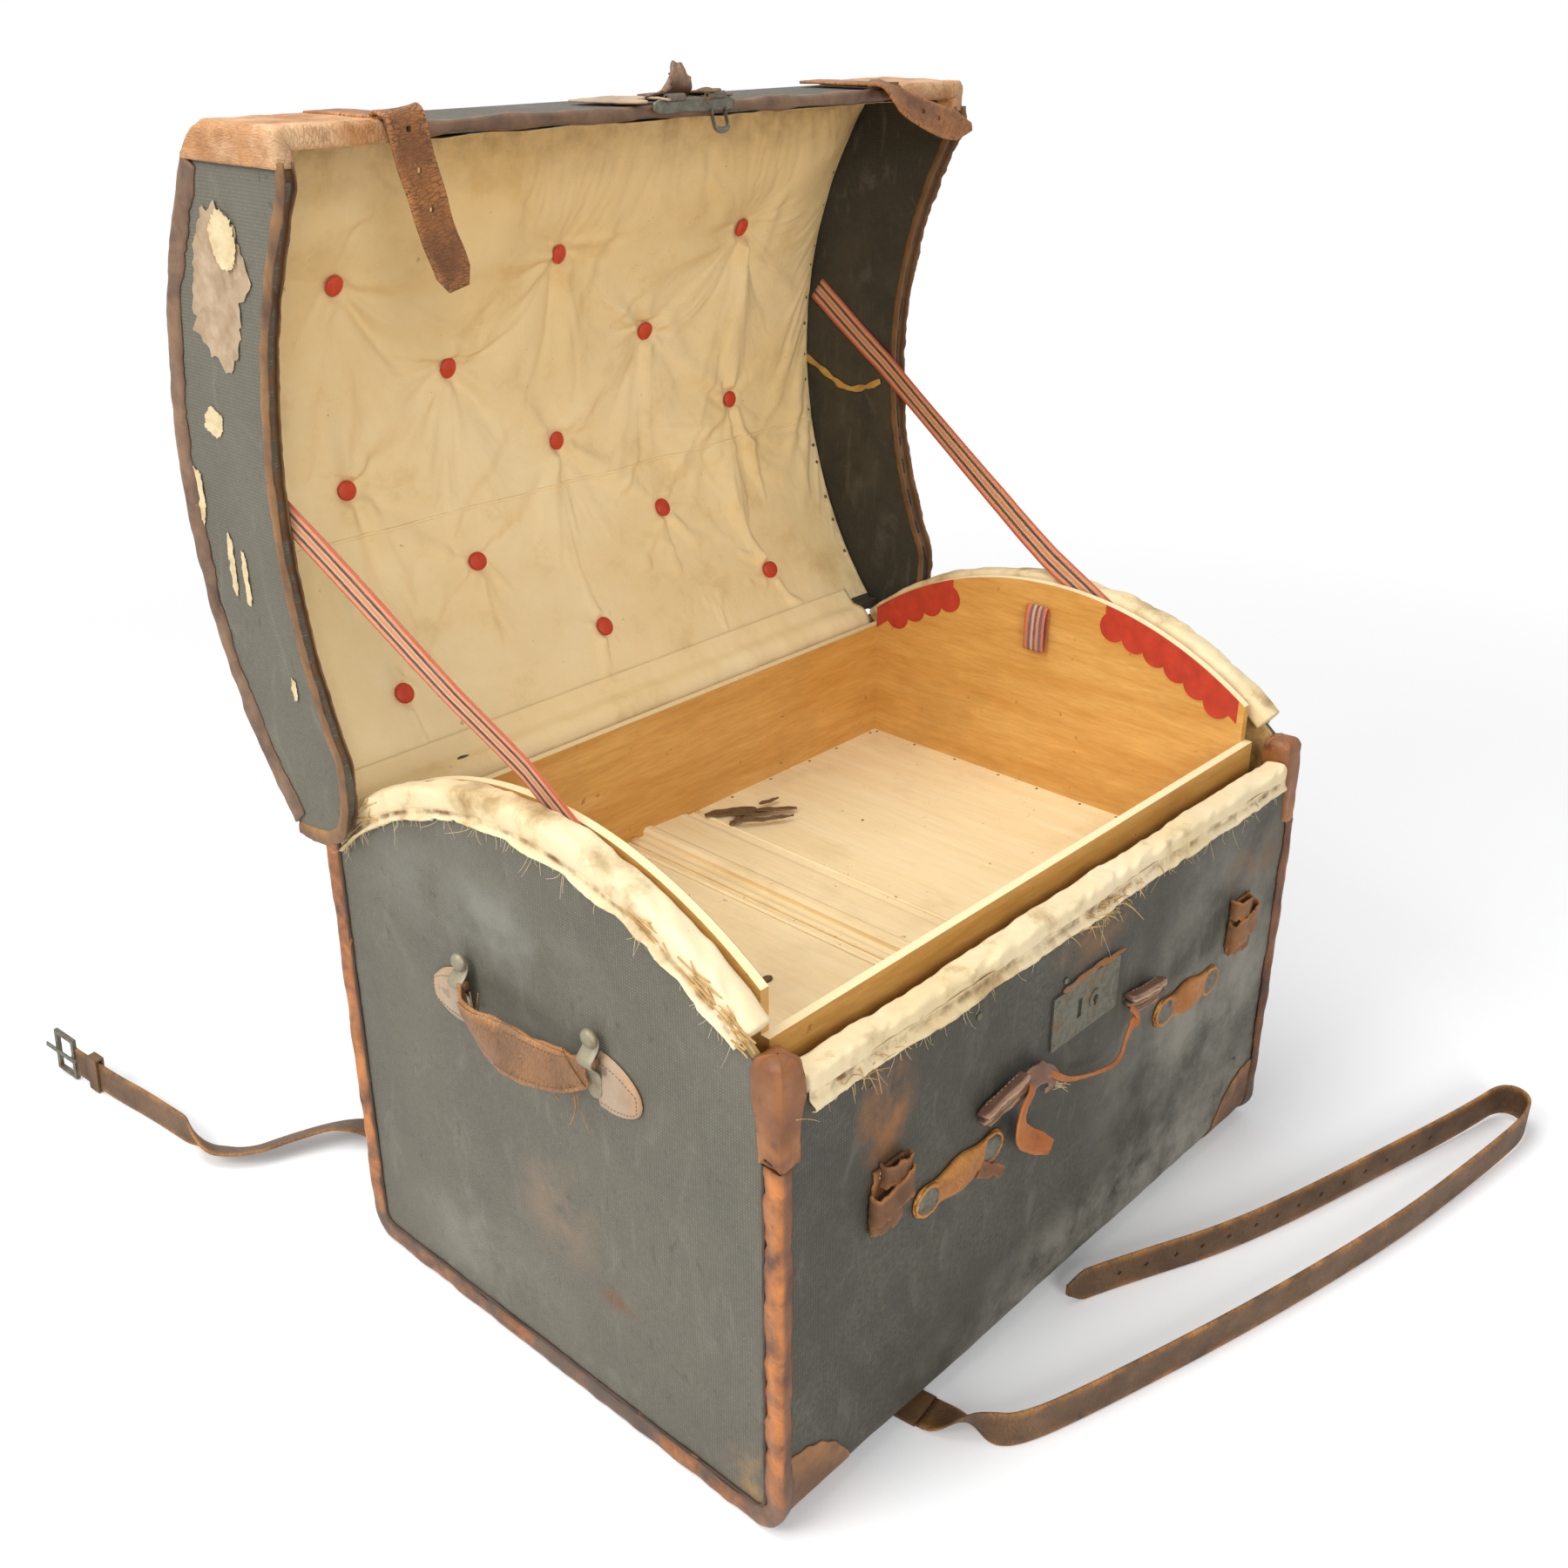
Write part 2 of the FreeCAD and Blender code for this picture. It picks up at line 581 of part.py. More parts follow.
def lid_shell():
    """Dome and front skirt in one wicker sheet covered with canvas, and the arched ends."""
    skirt = LID_DEPTH - LID_SKIRT_WALL
    start, dome, front_top = lid_arc(LID_RADIUS, 0.0, LID_DEPTH)
    inner_back, inner, inner_front = lid_arc(LID_RADIUS - LID_WALL, LID_BACK_WALL, skirt)
    back_low, back_in = lid_point(0.0, LID_SEAT), lid_point(LID_BACK_WALL, LID_SEAT)
    skirt_out, skirt_in = lid_point(LID_DEPTH, -LID_SKIRT_DROP), lid_point(skirt, -LID_SKIRT_DROP)
    profile = face([line(back_low, start), dome, line(front_top, skirt_out), line(skirt_out, skirt_in),
                    line(skirt_in, inner_front), inner, line(inner_back, back_in), line(back_in, back_low)])
    shell = rounded_front(along_x(profile, -LID_INNER_HALF, LID_INNER_HALF))
    for x in HINGE_XS:
        width = HINGE_WIDTH + 2 * KNUCKLE_RELIEF
        shell = shell.cut(Part.makeCylinder(KNUCKLE_RADIUS + KNUCKLE_RELIEF, width,
                                            lid_point(0.0, 0.0, x - width / 2), Vector(1, 0, 0)))
    save("lid_dome", open_lid(shell))
    end = rounded_front(along_x(lid_end_outline(0.0), LID_INNER_HALF, LID_OUTER_HALF))
    save("lid_end_right", open_lid(end))
    save("lid_end_left", open_lid(mirrored(end)))


def lid_lining():
    """Cloth lining of the dome with its quilting buttons."""
    outer = LID_RADIUS - LID_WALL - SEAT_GAP
    inner = outer - CLOTH
    half = LID_INNER_HALF - SEAT_GAP
    centre = lid_point(LID_CENTRE_S, LID_CENTRE_T, -half)
    sheet = Part.makeCylinder(outer, 2 * half, centre, Vector(1, 0, 0))
    sheet = sheet.cut(Part.makeCylinder(inner, 2 * half, centre, Vector(1, 0, 0)))
    s0, s1 = LID_BACK_WALL + 4.0, LID_DEPTH - LID_SKIRT_WALL - 4.0
    sheet = sheet.common(lid_box(-half, half, s0, s1, 0.0, LID_RISE))
    save("lid_lining", open_lid(sheet))

    buttons = []
    for row in range(BUTTON_ROWS):
        s = BUTTON_FIRST_ROW + row * BUTTON_PITCH_ARC
        columns = (-1.0, 0.0, 1.0) if row % 2 == 0 else (-0.5, 0.5)
        rise = math.sqrt(inner ** 2 - (s - LID_CENTRE_S) ** 2)
        outward = Vector(0, -(s - LID_CENTRE_S), rise)
        outward.normalize()
        foot = inner - SEAT_GAP - BUTTON_THICK
        for column in columns:
            base = lid_point(LID_CENTRE_S, LID_CENTRE_T, column * BUTTON_PITCH_LENGTH).add(outward * foot)
            button = Part.makeCylinder(BUTTON_RADIUS, BUTTON_THICK, base, outward)
            rim = [e for e in button.Edges if isinstance(e.Curve, Part.Circle)
                   and e.Curve.Center.sub(base).Length < 1e-6]
            buttons.append(button.makeChamfer(BUTTON_THICK * 0.45, rim))
    save("lid_buttons", [open_lid(b) for b in buttons])


def lid_leather():
    """Leather binding round the lid's ends and along its skirt, and the patches on its corners."""
    outer = LID_OUTER_HALF + BINDING_THICK
    inner = LID_INNER_HALF - LID_BINDING_INNER
    edge = along_x(lid_end_outline(BINDING_THICK), inner, outer)
    edge = edge.cut(along_x(lid_end_outline(0.0), inner, LID_OUTER_HALF))
    edge = edge.cut(along_x(lid_end_outline(-LID_BINDING_WIDTH), LID_OUTER_HALF, outer))
    edge = edge.cut(lid_void(inner, LID_INNER_HALF))
    edge = edge.cut(lid_box(inner, outer, LID_PATCH_START, LID_DEPTH + 20.0, -HINGE_HEIGHT, LID_RISE))
    half = LID_INNER_HALF - LID_PATCH_WRAP
    s0, s1 = LID_DEPTH - LID_SKIRT_WALL, LID_DEPTH
    channel = lid_box(-half, half, s0 - BINDING_THICK, s1 + BINDING_THICK,
                      -LID_SKIRT_DROP - BINDING_THICK, -LID_SKIRT_DROP + LID_BINDING_WIDTH)
    channel = channel.cut(lid_box(-half, half, s0, s1, -LID_SKIRT_DROP, 0.0))
    save("lid_binding", [open_lid(p) for p in (edge, mirrored(edge), channel)])

    outer = LID_OUTER_HALF + LID_PATCH_THICK
    patch = along_x(lid_end_outline(LID_PATCH_THICK), half + SEAT_GAP, outer)
    patch = patch.cut(rounded_front(along_x(lid_end_outline(0.0), 0.0, LID_OUTER_HALF)))
    patch = patch.cut(lid_void(0.0, LID_INNER_HALF))
    patch = patch.common(lid_box(0.0, outer, LID_PATCH_START + SEAT_GAP, LID_DEPTH + 20.0, -HINGE_HEIGHT, LID_RISE))
    save("lid_patches", [open_lid(patch), open_lid(mirrored(patch))])


# ---------------------------------------------------------------- hinges
def knuckle(x0, x1):
    """Tube round the pin between x0 and x1."""
    tube = Part.makeCylinder(KNUCKLE_RADIUS, x1 - x0, lid_point(0, 0, x0), Vector(1, 0, 0))
    bore = Part.makeCylinder(PIN_RADIUS + PIN_CLEARANCE, x1 - x0, lid_point(0, 0, x0), Vector(1, 0, 0))
    return tube, bore


def hinges():
    """Three strap hinges: a leaf on the back wall, one bent over the dome, and a pin through both."""
    body_leaves, lid_leaves, pins = [], [], []
    for x in HINGE_XS:
        x0, x1 = x - HINGE_WIDTH / 2, x + HINGE_WIDTH / 2
        third = HINGE_WIDTH / 3
        leaf = box(x0, x1, HALF_DEPTH, HALF_DEPTH + HINGE_LEAF, HINGE_HEIGHT - HINGE_LEAF_LENGTH, HINGE_HEIGHT)
        leaf = leaf.cut(box(x0 + third - KNUCKLE_GAP, x1 - third + KNUCKLE_GAP, FRONT, HINGE_Y + 20,
                            HINGE_HEIGHT - KNUCKLE_RADIUS - KNUCKLE_GAP, HIGH))
        for a, b in ((x0, x0 + third - KNUCKLE_GAP), (x1 - third + KNUCKLE_GAP, x1)):
            tube, bore = knuckle(a, b)
            leaf = leaf.fuse(tube).cut(bore)
        body_leaves.append(leaf)

        a, b = x0 + third, x1 - third
        strip = along_x(lid_end_outline(HINGE_LEAF + SEAT_GAP), x0, x1)
        strip = strip.cut(along_x(lid_end_outline(SEAT_GAP), x0, x1))
        strip = strip.common(lid_box(x0, x1, -10.0, HINGE_LEAF_LENGTH, KNUCKLE_RADIUS + KNUCKLE_GAP, LID_RISE))
        root = lid_box(a, b, -HINGE_LEAF - SEAT_GAP, -SEAT_GAP, 0.0, KNUCKLE_RADIUS + 2.0)
        tube, bore = knuckle(a, b)
        lid_leaves.append(open_lid(strip.fuse(root).fuse(tube).cut(bore)))
        pins.append(Part.makeCylinder(PIN_RADIUS, HINGE_WIDTH, lid_point(0, 0, x0), Vector(1, 0, 0)))
    save("hinge_body_leaves", body_leaves)
    save("hinge_lid_leaves", lid_leaves)
    save("hinge_pins", pins)


# ---------------------------------------------------------------- tray
def tray():
    """Lift-out tray of thin boards with arched ends, a moulding across its floor and paper trim."""
    z0 = TRAY_BOTTOM
    y0, y1 = TRAY_FRONT + TRAY_BOARD, TRAY_BACK - TRAY_BOARD
    x1 = TRAY_HALF - TRAY_BOARD
    floor_top = z0 + TRAY_BOARD
    save("tray_floor", box(-x1, x1, y0, y1, z0, floor_top))
    save("tray_front", box(-TRAY_HALF, TRAY_HALF, TRAY_FRONT, y0, z0, TRAY_FRONT_TOP))
    save("tray_back", box(-TRAY_HALF, TRAY_HALF, y1, TRAY_BACK, z0, TRAY_BACK_TOP))

    radius = RIM_RADIUS - TRAY_ARCH_DROP
    end = Part.makeCylinder(radius, TRAY_BOARD, Vector(x1, 0, RIM_CENTRE_Z), Vector(1, 0, 0))
    end = end.common(box(x1, TRAY_HALF, y0, y1, z0, HIGH))
    save("tray_end_right", end)
    save("tray_end_left", mirrored(end))

    left, right = BATTEN_LEFT, BATTEN_LEFT + BATTEN_WIDTH
    top = floor_top + BATTEN_HEIGHT
    profile = [Vector(left, 0, floor_top), Vector(right, 0, floor_top), Vector(right, 0, floor_top + 2.0),
               Vector(right - BATTEN_BEAD * 2, 0, floor_top + BATTEN_HEIGHT * 0.45),
               Vector(left + BATTEN_BEAD * 5, 0, top - BATTEN_BEAD),
               Vector(left + BATTEN_BEAD * 3, 0, top), Vector(left + BATTEN_BEAD, 0, top),
               Vector(left, 0, top - BATTEN_BEAD)]
    batten = polygon(profile).extrude(Vector(0, y1 - y0, 0))
    batten.translate(Vector(0, y0, 0))
    save("tray_batten", batten)

    trims = []
    for low, high in (TRIM_BACK_SPAN, TRIM_FRONT_SPAN):
        turn = math.degrees(2 * SCALLOP_RADIUS * 0.9 / radius)
        count = int((high - low) / turn)
        for i in range(count):
            angle = math.radians(low + turn * (i + 0.5))
            reach = radius - SCALLOP_DROP - SCALLOP_RADIUS
            at = Vector(x1 - TRIM_THICK, reach * math.sin(angle), RIM_CENTRE_Z + reach * math.cos(angle))
            disc = Part.makeCylinder(SCALLOP_RADIUS, TRIM_THICK, at, Vector(1, 0, 0))
            trims.append(disc)
        band = Part.makeCylinder(radius - 0.5, TRIM_THICK, Vector(x1 - TRIM_THICK, 0, RIM_CENTRE_Z), Vector(1, 0, 0))
        band = band.cut(Part.makeCylinder(radius - SCALLOP_DROP - SCALLOP_RADIUS, TRIM_THICK,
                                          Vector(x1 - TRIM_THICK, 0, RIM_CENTRE_Z), Vector(1, 0, 0)))
        a, b = radius * math.sin(math.radians(low)), radius * math.sin(math.radians(high))
        trims.append(band.common(box(x1 - TRIM_THICK, x1, max(a, y0), min(b, y1), z0, HIGH)))
    inside = box(x1 - TRIM_THICK, x1, y0, y1, floor_top, HIGH)
    trim = trims[0].multiFuse(trims[1:]).common(inside).removeSplitter()
    save("tray_trim", [trim, mirrored(trim)])

    loops = []
    outer = TRAY_LOOP_GAP + 2 * WEBBING
    a = x1 - SEAT_GAP
    low = TRAY_LOOP_TOP - TRAY_LOOP_LENGTH
    ya, yb = TRAY_LOOP_Y - TRAY_LOOP_WIDTH / 2, TRAY_LOOP_Y + TRAY_LOOP_WIDTH / 2
    loop = box(a - outer, a, ya, yb, low, TRAY_LOOP_TOP)
    loop = loop.makeFillet(outer * 0.45, [e for e in loop.Edges if e.Length > TRAY_LOOP_WIDTH - 0.01
                                         and abs(e.Vertexes[0].X - e.Vertexes[1].X) < 1e-6
                                         and abs(e.Vertexes[0].Z - e.Vertexes[1].Z) < 1e-6])
    hole = box(a - outer + WEBBING, a - WEBBING, ya, yb, low + WEBBING, TRAY_LOOP_TOP - WEBBING)
    loop = loop.cut(hole)
    loops += [loop, mirrored(loop)]
    save("tray_loops", loops)


# ---------------------------------------------------------------- fittings on the front wall
def lock():
    """Lock plate with the case behind it, a slot for the hasp's staple and a keyhole."""
    plate = box(LOCK_X - LOCK_LENGTH / 2, LOCK_X + LOCK_LENGTH / 2, FRONT - LOCK_PLATE, FRONT,
                LOCK_Z - LOCK_HEIGHT / 2, LOCK_Z + LOCK_HEIGHT / 2)
    corners = [e for e in plate.Edges if abs(e.Length - LOCK_PLATE) < 1e-6]
    lock_body = plate.makeFillet(3.0, corners).fuse(lock_recess())
    lock_body = lock_body.fuse(Part.makeCylinder(LOCK_BOSS_RADIUS, LOCK_BOSS_THICK + LOCK_PLATE,
                                                 Vector(LOCK_X + LOCK_KEY_X, FRONT, LOCK_Z), Vector(0, -1, 0)))
    slot = box(LOCK_X + LOCK_SLOT_X - LOCK_SLOT_WIDTH / 2, LOCK_X + LOCK_SLOT_X + LOCK_SLOT_WIDTH / 2,
               FRONT - LOCK_PLATE, FRONT + LOCK_CASE_DEPTH - LOCK_PLATE,
               LOCK_Z - LOCK_SLOT_HEIGHT / 2, LOCK_Z + LOCK_SLOT_HEIGHT / 2)
    mouth = FRONT - LOCK_PLATE - LOCK_BOSS_THICK
    deep = LOCK_CASE_DEPTH + LOCK_BOSS_THICK
    key = Part.makeCylinder(LOCK_KEY_RADIUS, deep, Vector(LOCK_X + LOCK_KEY_X, mouth, LOCK_Z), Vector(0, 1, 0))
    ward = box(LOCK_X + LOCK_KEY_X - LOCK_KEY_RADIUS * 0.5, LOCK_X + LOCK_KEY_X + LOCK_KEY_RADIUS * 0.5,
               mouth, mouth + deep, LOCK_Z - LOCK_KEY_RADIUS * 2, LOCK_Z)
    save("lock", lock_body.cut(slot).cut(key.fuse(ward)).removeSplitter())


def strap_loops():
    """Leather loops that the lid straps pass through, each with its backing strip and tongue."""
    loops = []
    for x in STRAP_LOOP_X:
        a, b = x - LOOP_WIDTH / 2, x + LOOP_WIDTH / 2
        back = FRONT - LEATHER
        strip = box(a, b, back, FRONT, LOOP_BOTTOM, LOOP_TOP)
        band = box(a, b, back - LOOP_BAND_GAP - LEATHER, back, LOOP_BAND_LOW, LOOP_BAND_LOW + LOOP_BAND_HEIGHT)
        band = band.cut(box(a + LEATHER, b - LEATHER, back - LOOP_BAND_GAP, back, LOOP_BAND_LOW,
                            LOOP_BAND_LOW + LOOP_BAND_HEIGHT))
        tongue = box(a + 2.0, b - 2.0, back - LEATHER, back, LOOP_BOTTOM + 6.0, LOOP_TONGUE_TOP)
        loops.append(strip.fuse(band).fuse(tongue).removeSplitter())
    save("strap_loops", loops)


def oval(x, z, length, height, y0, y1):
    """Oval plate with its long axis along X, from y0 out to y1."""
    curve = Part.Ellipse(Vector(x, y0, z), length / 2, height / 2)
    curve.Axis = Vector(0, -1, 0)
    curve.XAxis = Vector(1, 0, 0)
    return Part.Face(Part.Wire(curve.toShape())).extrude(Vector(0, y1 - y0, 0))


def front_chapes():
    """Leather chapes that held the front handle, with an oval metal cap at each end."""
    chapes, caps = [], []
    for x in CHAPE_X:
        half, high = CHAPE_LENGTH / 2, CHAPE_HEIGHT / 2
        waist = high * 0.72
        points = [(-half, 0), (-half * 0.72, high), (0, waist), (half * 0.72, high), (half, 0),
                  (half * 0.72, -high), (0, -waist), (-half * 0.72, -high)]
        at = [Vector(x + px, FRONT, CHAPE_Z + pz) for px, pz in points]
        edges = [arc(at[7], at[0], at[1]), arc(at[1], at[2], at[3]), arc(at[3], at[4], at[5]),
                 arc(at[5], at[6], at[7])]
        chapes.append(face(edges).extrude(Vector(0, -CHAPE_THICK, 0)))
        for side in (-1, 1):
            cap = oval(x + side * CHAPE_CAP_SPACING / 2, CHAPE_Z, CHAPE_CAP_LENGTH, CHAPE_CAP_HEIGHT,
                       FRONT - CHAPE_THICK, FRONT - CHAPE_THICK - CHAPE_CAP_THICK)
            rim = [e for e in cap.Edges if min(v.Y for v in e.Vertexes) < FRONT - CHAPE_THICK - CHAPE_CAP_THICK + 1e-6
                   and max(v.Y for v in e.Vertexes) < FRONT - CHAPE_THICK - CHAPE_CAP_THICK + 1e-6]
            caps.append(cap.makeChamfer(CHAPE_CAP_THICK * 0.5, rim))
    save("front_chapes", chapes)
    save("front_chape_caps", caps)


def slanted_strip(a, b, height, y0, y1):
    """Flat strip in the plane of the front wall from a to b, height wide, between y0 and y1."""
    run = Vector(b[0] - a[0], 0, b[1] - a[1])
    side = Vector(-run.z, 0, run.x)
    side.normalize()
    side = side * (height / 2)
    start, end = Vector(a[0], y0, a[1]), Vector(b[0], y0, b[1])
    return polygon([start.sub(side), end.sub(side), end.add(side), start.add(side)]).extrude(Vector(0, y1 - y0, 0))


def broken_handle():
    """What is left of the front handle: a stub by each chape and the torn strand between them."""
    rest = FRONT - CHAPE_THICK - CHAPE_CAP_THICK - SEAT_GAP
    y = rest - STUB_THICK - SEAT_GAP
    outline = ribbon_outline(STRAND, STRAND_WIDTH / 2, lambda p: Vector(p[0], y, p[1]))
    strand = outline.extrude(Vector(0, -STRAND_THICK, 0))
    left = slanted_strip(LEFT_STUB[0], LEFT_STUB[1], LEFT_STUB_HEIGHT, rest, rest - STUB_THICK)
    tongue = slanted_strip(TONGUE[0], TONGUE[1], TONGUE_WIDTH, rest, rest - STRAND_THICK)
    save("front_handle_left", [left.fuse(tongue).removeSplitter(), strand])
    right = slanted_strip(RIGHT_STUB[0], RIGHT_STUB[1], RIGHT_STUB_HEIGHT, rest, rest - STUB_THICK)
    save("front_handle_right", right)


# ---------------------------------------------------------------- carrying handles
def tab_outline(y_inner, y_outer, z, height):
    """Leather tab in the plane of the end wall: square inner end, pointed round outer end."""
    h = height / 2
    shoulder = y_inner + (y_outer - y_inner) * 0.35
    turn = y_inner + (y_outer - y_inner) * 0.75
    corners = [Vector(0, y_inner, z - h * 0.8), Vector(0, shoulder, z - h), Vector(0, shoulder, z + h),
               Vector(0, y_inner, z + h * 0.8)]
    tip = Vector(0, y_outer, z)
    lower, upper = Vector(0, turn, z - h * 0.72), Vector(0, turn, z + h * 0.72)
    return face([line(corners[0], corners[1]), arc(corners[1], lower, tip), arc(tip, upper, corners[2]),
                 line(corners[2], corners[3]), line(corners[3], corners[0])])


def end_handles():
    """On each end: two riveted tabs, a metal saddle over each eye and the leather grip between them."""
    tabs, saddles = [], []
    wall = HALF_LENGTH
    eye_x = wall + TAB_THICK + EYE_RADIUS + EYE_CLEARANCE
    for side in (-1, 1):
        outline = tab_outline(side * TAB_INNER, side * (TAB_INNER + TAB_LENGTH), HANDLE_Z - TAB_DROP, TAB_HEIGHT)
        tabs.append(along_x(outline, wall, wall + TAB_THICK))
        y0 = side * HANDLE_HALF - SADDLE_WIDTH / 2
        hole = EYE_RADIUS + EYE_CLEARANCE
        arch = Part.makeCylinder(hole + SADDLE_THICK, SADDLE_WIDTH, Vector(eye_x, y0, HANDLE_Z), Vector(0, 1, 0))
        block = box(wall + TAB_THICK, eye_x, y0, y0 + SADDLE_WIDTH, HANDLE_Z - hole - SADDLE_THICK,
                    HANDLE_Z + hole + SADDLE_THICK)
        foot = hole + SADDLE_THICK + SADDLE_FOOT
        feet = box(wall + TAB_THICK, wall + TAB_THICK + SADDLE_THICK, y0, y0 + SADDLE_WIDTH,
                   HANDLE_Z - foot, HANDLE_Z + foot - SADDLE_FOOT * 0.4)
        saddle = arch.fuse(block).fuse(feet)
        saddle = saddle.cut(Part.makeCylinder(hole, SADDLE_WIDTH, Vector(eye_x, y0, HANDLE_Z), Vector(0, 1, 0)))
        saddle = saddle.cut(box(wall, eye_x, y0, y0 + SADDLE_WIDTH, HANDLE_Z - hole, HANDLE_Z + hole))
        saddle = saddle.common(box(wall + TAB_THICK, wall + 60, y0, y0 + SADDLE_WIDTH, 0, HIGH))
        saddles.append(saddle.removeSplitter())
    save("handle_tabs", tabs + [mirrored(t) for t in tabs])
    save("handle_saddles", saddles + [mirrored(s) for s in saddles])

    reach = HANDLE_HALF - EYE_LENGTH / 2 + 2.0
    top = HANDLE_Z + GRIP_TOP
    upper = arc(Vector(0, -reach, top), Vector(0, 0, top - GRIP_SAG), Vector(0, reach, top))
    lower = arc(Vector(0, -reach, top - GRIP_HEIGHT), Vector(0, 0, top - GRIP_SAG - GRIP_HEIGHT),
                Vector(0, reach, top - GRIP_HEIGHT))
    sides = [line(Vector(0, y, top - GRIP_HEIGHT), Vector(0, y, top)) for y in (-reach, reach)]
    blank = along_x(face([upper, lower] + sides), wall, wall + 60.0)
    inner, outer = eye_x - GRIP_THICK / 2, eye_x + GRIP_THICK / 2
    bow_in = arc(Vector(inner, -reach, 0), Vector(inner + GRIP_BULGE, 0, 0), Vector(inner, reach, 0))
    bow_out = arc(Vector(outer, -reach, 0), Vector(outer + GRIP_BULGE, 0, 0), Vector(outer, reach, 0))
    ends = [line(Vector(inner, y, 0), Vector(outer, y, 0)) for y in (-reach, reach)]
    bowed = face([bow_in, bow_out] + ends).extrude(Vector(0, 0, HIGH))
    grip = blank.common(bowed)
    for side in (-1, 1):
        y = side * HANDLE_HALF - EYE_LENGTH / 2
        grip = grip.fuse(Part.makeCylinder(EYE_RADIUS, EYE_LENGTH, Vector(eye_x, y, HANDLE_Z), Vector(0, 1, 0)))
    grip = grip.removeSplitter()
    save("handle_grip_right", grip)
    save("handle_grip_left", mirrored(grip))


# ---------------------------------------------------------------- stays
def stays():
    """Webbing stays: up inside the rim, out past it, then flat against the lid's end as far as the lining."""
    low_x = HALF_LENGTH + RIM_OVERHANG - RIM_WIDTH - STAY_CLEARANCE - WEBBING
    high_x = LID_INNER_HALF - STAY_CLEARANCE - WEBBING
    route = [(0.0, low_x), (STAY_BENDS[0], low_x), (STAY_BENDS[1], high_x), (STAY_LENGTH, high_x)]
    ring = [Vector(x, u, 0) for u, x in route] + [Vector(x + WEBBING, u, 0) for u, x in reversed(route)]
    stay = polygon(ring).extrude(Vector(0, 0, STAY_WIDTH))
    stay.translate(Vector(0, 0, -STAY_WIDTH / 2))
    stay.rotate(Vector(0, 0, 0), Vector(1, 0, 0), STAY_SLOPE)
    stay.translate(Vector(0, *STAY_LOW))
    save("stay_right", stay)
    save("stay_left", mirrored(stay))


# ---------------------------------------------------------------- hasp and lid straps
def edge_pivot(x=0.0):
    """Line along the lid's front edge where the hasp and the straps hang from."""
    return lid_point(LID_DEPTH + EDGE_PIVOT_OUT, -EDGE_PIVOT_DROP, x)


def hasp():
    """Hasp plate on the skirt, and the hasp with its staple hanging from it."""
    at = open_lid(Part.Vertex(edge_pivot())).Point
    back = LID_DEPTH + BINDING_THICK + SEAT_GAP
    x0, x1 = HASP_X - HASP_WIDTH / 2, HASP_X + HASP_WIDTH / 2
    side = (HASP_WIDTH - HASP_TONGUE_WIDTH) / 2
    pivot = edge_pivot()
    plate = lid_box(x0, x1, back, back + HASP_THICK, -EDGE_PIVOT_DROP + HASP_EYE + 2.0,
                    -EDGE_PIVOT_DROP + HASP_PLATE_HEIGHT)
    for a, b in ((x0, x0 + side - KNUCKLE_GAP), (x1 - side + KNUCKLE_GAP, x1)):
        arm = lid_box(a, b, back, LID_DEPTH + EDGE_PIVOT_OUT, -EDGE_PIVOT_DROP, -EDGE_PIVOT_DROP + HASP_EYE + 4.0)
        eye = Part.makeCylinder(HASP_EYE, b - a, Vector(a, pivot.y, pivot.z), Vector(1, 0, 0))
        plate = plate.fuse(arm).fuse(eye)
    plate = plate.cut(Part.makeCylinder(HASP_PIN + PIN_CLEARANCE, HASP_WIDTH, Vector(x0, pivot.y, pivot.z),
                                        Vector(1, 0, 0)))
    save("hasp_plate", open_lid(plate))

    a, b = x0 + side, x1 - side
    tongue = box(a, b, at.y - HASP_THICK / 2, at.y + HASP_THICK / 2, at.z - HASP_LENGTH, at.z)
    tongue = tongue.fuse(Part.makeCylinder(HASP_EYE, b - a, Vector(a, at.y, at.z), Vector(1, 0, 0)))
    pin = Part.makeCylinder(HASP_PIN, HASP_WIDTH, Vector(x0, at.y, at.z), Vector(1, 0, 0))
    z = at.z - HASP_LENGTH + STAPLE_UP
    c, d = z - STAPLE_HEIGHT / 2, z + STAPLE_HEIGHT / 2
    x = HASP_X + LOCK_SLOT_X
    staple = box(x - STAPLE_ROD / 2, x + STAPLE_ROD / 2, at.y, at.y + STAPLE_REACH, c, d)
    staple = staple.cut(box(x - 20, x + 20, at.y, at.y + STAPLE_REACH - STAPLE_ROD, c + STAPLE_ROD, d - STAPLE_ROD))
    save("hasp", tongue.fuse(pin).fuse(staple).removeSplitter())


def hanging_strap(length):
    """Strap hanging straight down from the origin in the XZ plane, with a tapered tip and holes."""
    half, tip = LID_STRAP_WIDTH / 2, LID_STRAP_TIP / 2
    y0, y1 = -LID_STRAP_THICK / 2, LID_STRAP_THICK / 2
    outline = [Vector(-half, y0, 0), Vector(-half, y0, -length + LID_STRAP_TAPER), Vector(-tip, y0, -length),
               Vector(tip, y0, -length), Vector(half, y0, -length + LID_STRAP_TAPER), Vector(half, y0, 0)]
    strap = polygon(outline).extrude(Vector(0, y1 - y0, 0))
    for i in range(LID_STRAP_HOLES):
        z = -HOLE_PITCH * (i + 0.6)
        strap = strap.cut(Part.makeCylinder(HOLE_RADIUS, 2 * LID_STRAP_THICK, Vector(0, y0 - 1, z), Vector(0, 1, 0)))
    return strap


